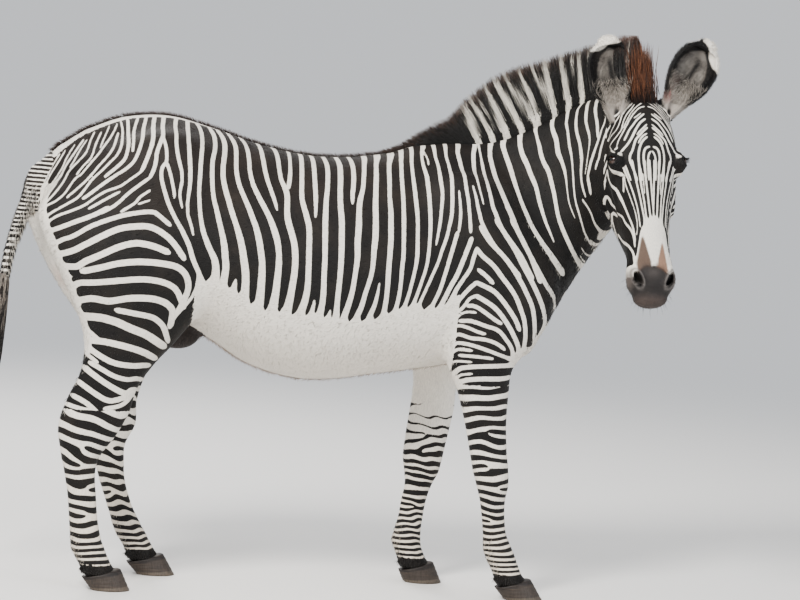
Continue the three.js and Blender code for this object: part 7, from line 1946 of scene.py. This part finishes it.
if np.mean(np.einsum("ij,ij->i", np.cross(P[F[:, 1]] - P[F[:, 0]], P[F[:, 2]] - P[F[:, 0]]), P[F].mean(1) - P.mean(0))) < 0:
    F = F[:, ::-1]
ob = mesh("tassel_core", P, F)
tn = np.tile(srgb(0.10, 0.085, 0.08), (len(P), 1)) * (1 + 0.25 * wave(P, 91, 60))[:, None]
paint(ob, "tone", tn)
ob.data.materials.append(TAIL_HAIR)
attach(ob, "root")
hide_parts("tail_tassel")

r = np.random.default_rng(93)
n = 5200
ua, ang = r.uniform(0.0, 2.6, n) ** 1.0, r.uniform(0, 2 * math.pi, n)
ub = np.minimum(ua + r.uniform(0.9, 2.2, n), 3.98 - r.random(n) * 0.3)


def on_tassel(u, k):
    c, d, l, h, w = tassel_frame(u)
    return c + d * (h * k * np.sin(ang))[:, None] + l * (w * k * np.cos(ang))[:, None]


root, tip = on_tassel(ua, 0.70), on_tassel(ub, 0.94 * r.uniform(0.6, 1.0, n))
mid = on_tassel((ua + ub) / 2, 0.9) - (root + tip) / 2
base = np.tile(srgb(0.115, 0.095, 0.09), (n, 1)) * r.uniform(0.7, 1.5, n)[:, None]
grey = (ua < 0.45) & (r.random(n) < 0.55)
base[grey] = srgb(0.52, 0.49, 0.46) * r.uniform(0.8, 1.15, grey.sum())[:, None]
uv = np.stack([ang / (2 * math.pi) * 0.96 + 0.02, ua / 4 * 0.96 + 0.02], 1)
coat("tassel_locks", root, tip, np.cross(unit(tip - root), unit(root - TS.C.mean(0))), 0.0017 * r.uniform(0.7, 1.3, n), mid, base, base * 0.85, uv, TAIL_HAIR,
     rings=4, tip_w=0.4)

# short hair of the dock
dock = (ALL_V[ALL_T].mean(1)[:, 0] < -0.845) & (np.abs(cy) < 0.08) & (cz > 0.9) & (cz < 1.36)
fringe("dock_hair", dock, 2600, 0.020, 0.0010, (0, 0.14, -1.0), 0.10, 0.0, 95, material=TAIL_HAIR)

# ------------------------------------------------------------------ ears: pale hair inside and along the edge
for side in EARS:
    base_, up_, front_ = (np.array(v) for v in EARS[side])
    lat_ = np.cross(up_, front_)
    q = cen - base_
    h_, l_ = q @ up_, q @ lat_
    mine = ALL_R == (6 if side == "right" else 7)
    facing_front = fn @ front_ > 0.3
    half_ = np.interp(h_, [r_[0] / 1000 for r_ in EAR], [r_[1] / 1000 for r_ in EAR])
    bowl = mine & facing_front & (h_ > 0.0) & (h_ < 0.17) & (np.abs(l_) < half_ * 0.9)

    def ear_hair(name, which, count, length, width, mixd, seed, tone, tone_tip, spread=0.2):
        k, w = scatter(ALL_V, ALL_T, which.astype(float), count, seed)
        P, N, D_, li, da = on_skin(k, w)
        rr = np.random.default_rng(seed + 1)
        d = unit(up_ * mixd[0] + N * mixd[1] + front_ * mixd[2] - lat_ * np.sign((P - base_) @ lat_)[:, None] * mixd[3] + rr.normal(0, spread, (len(P), 3)))
        b = colour_at(D_, li, da) if tone is None else np.tile(tone, (len(P), 1))
        b = b * rr.uniform(0.8, 1.15, len(P))[:, None]
        e = b if tone_tip is None else np.tile(tone_tip, (len(P), 1)) * rr.uniform(0.8, 1.15, len(P))[:, None]
        ln = length * rr.uniform(0.5, 1.15, len(P))
        coat(name, P - N * 0.001, P + d * ln[:, None], unit(np.cross(N, d)), width * rr.uniform(0.7, 1.2, len(P)), N * 0.001, b, e, uv_at(P, k), EAR_HAIR, rings=2)

    ear_hair("ear_inner_" + side, bowl & (h_ < 0.09), 900, 0.024, 0.0006, (0.9, 0.35, 0.1, 0.3), 101 if side == "right" else 103, srgb(0.52, 0.49, 0.46), srgb(0.78, 0.75, 0.71))
    ear_hair("ear_mid_" + side, bowl & (h_ >= 0.05), 1500, 0.012, 0.0006, (0.7, 0.30, 0.1, 0.6), 105 if side == "right" else 107, None, None, 0.3)
    edge_ = mine & ((np.abs(l_) > half_ * 0.72) | (h_ > 0.19))
    ear_hair("ear_edge_" + side, edge_, 4200, 0.008, 0.0008, (0.55, 0.35, 0.0, -0.25), 109 if side == "right" else 111, None, None, 0.12)

# ------------------------------------------------------------------ eyelashes
for side, (g, c) in EYES.items():
    gaze, up, lat = eye_axes(g, c)
    r = np.random.default_rng(121 if g < 0 else 122)
    n = 150
    x = r.uniform(-0.017, 0.017, n)
    y = 0.0118 * (1 - (x / 0.0185) ** 2) + 0.002
    z = np.sqrt(np.maximum((EYE_R + 0.002) ** 2 - x ** 2 - y ** 2, 1e-6))
    root = c + lat * x[:, None] + up * y[:, None] + gaze * z[:, None]
    d = unit(gaze * 0.9 + up * 0.05 - up * r.uniform(0, 0.35, n)[:, None] + lat * (x * 22)[:, None] + r.normal(0, 0.06, (n, 3)))
    tip = root + d * (r.uniform(0.010, 0.017, n))[:, None]
    tone = np.tile(srgb(0.05, 0.045, 0.045), (n, 1))
    coat("lashes_" + side, root, tip, np.tile(lat, (n, 1)), np.full(n, 0.0004), np.tile(-up * 0.0015, (n, 1)), tone, tone,
         np.stack([0.5 + x * 10, np.full(n, 0.5)], 1), HAIR, rings=3)

# ------------------------------------------------------------------ stage
def add_floor():
    V = np.array([[-30, -30, 0], [30, -30, 0], [30, 30, 0], [-30, 30, 0]], float) - SHIFT
    ob = mesh("floor", V, np.array([[0, 1, 2, 3]]), smooth=False)
    m, t, b = nodes_of("floor")
    b.inputs["Base Color"].default_value = (0.76, 0.75, 0.735, 1)
    b.inputs["Roughness"].default_value = 0.85
    # far from the figure the floor runs out into the colour of the room
    pos = node(t, "NewGeometry").outputs["Position"]
    far = node(t, "MapRange", {0: node(t, "VectorMath", {0: pos}, operation="LENGTH").outputs["Value"], 1: 2.6, 2: 8.0}, interpolation_type="SMOOTHSTEP").outputs[0]
    room = node(t, "Emission", {0: (0.80, 0.82, 0.85, 1), 1: 0.75}).outputs[0]
    out = next(n for n in t.nodes if n.type == "OUTPUT_MATERIAL")
    t.links.new(node(t, "MixShader", {0: far, 1: b.outputs[0], 2: room}).outputs[0], out.inputs[0])
    ob.data.materials.append(m)
    ob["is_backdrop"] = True


def add_camera():
    cam = bpy.data.cameras.new("camera")
    ob = bpy.data.objects.new("camera", cam)
    SCENE.collection.objects.link(ob)
    right, up, back = (Vector(v) for v in ((0.980957, -0.185568, 0.057345), (-0.039904, 0.096396, 0.994543), (-0.190083, -0.977892, 0.087156)))
    M = Matrix((right, up, back)).transposed().to_4x4()
    M.translation = Vector((-1.952435 + SHIFT[0], -11.782285 + SHIFT[1], 1.984933))
    ob.matrix_world = M
    cam.lens, cam.sensor_width = 169.02, 36.0
    cam.clip_end = 200
    cam.dof.use_dof = False
    SCENE.camera = ob


def area(name, place, aim, size, power, colour=(1, 1, 1)):
    lamp = bpy.data.lights.new(name, "AREA")
    lamp.shape, lamp.size, lamp.energy, lamp.color = "DISK", size, power, colour
    ob = bpy.data.objects.new(name, lamp)
    SCENE.collection.objects.link(ob)
    ob.location = place
    ob.rotation_euler = (Vector(aim) - Vector(place)).to_track_quat("-Z", "Y").to_euler()


def add_lights():
    area("key", (-3.2, -4.6, 5.6), (0.0, 0, 1.0), 2.2, 620, (1.0, 0.97, 0.92))
    area("fill", (5.0, -5.5, 2.6), (0.3, 0, 0.9), 4.0, 150, (0.92, 0.96, 1.0))
    area("back", (-1.5, 6.0, 4.5), (0, 0, 1.0), 3.5, 260, (1.0, 0.98, 0.95))
    w = bpy.data.worlds.new("room")
    SCENE.world = w
    w.use_nodes = True
    bg = w.node_tree.nodes["Background"]
    bg.inputs[0].default_value = (0.80, 0.82, 0.85, 1)
    bg.inputs[1].default_value = 0.75
    SCENE.view_settings.view_transform = "AgX"
    SCENE.view_settings.look = "AgX - Medium High Contrast"


add_floor()
add_camera()
add_lights()

note_size("visual")
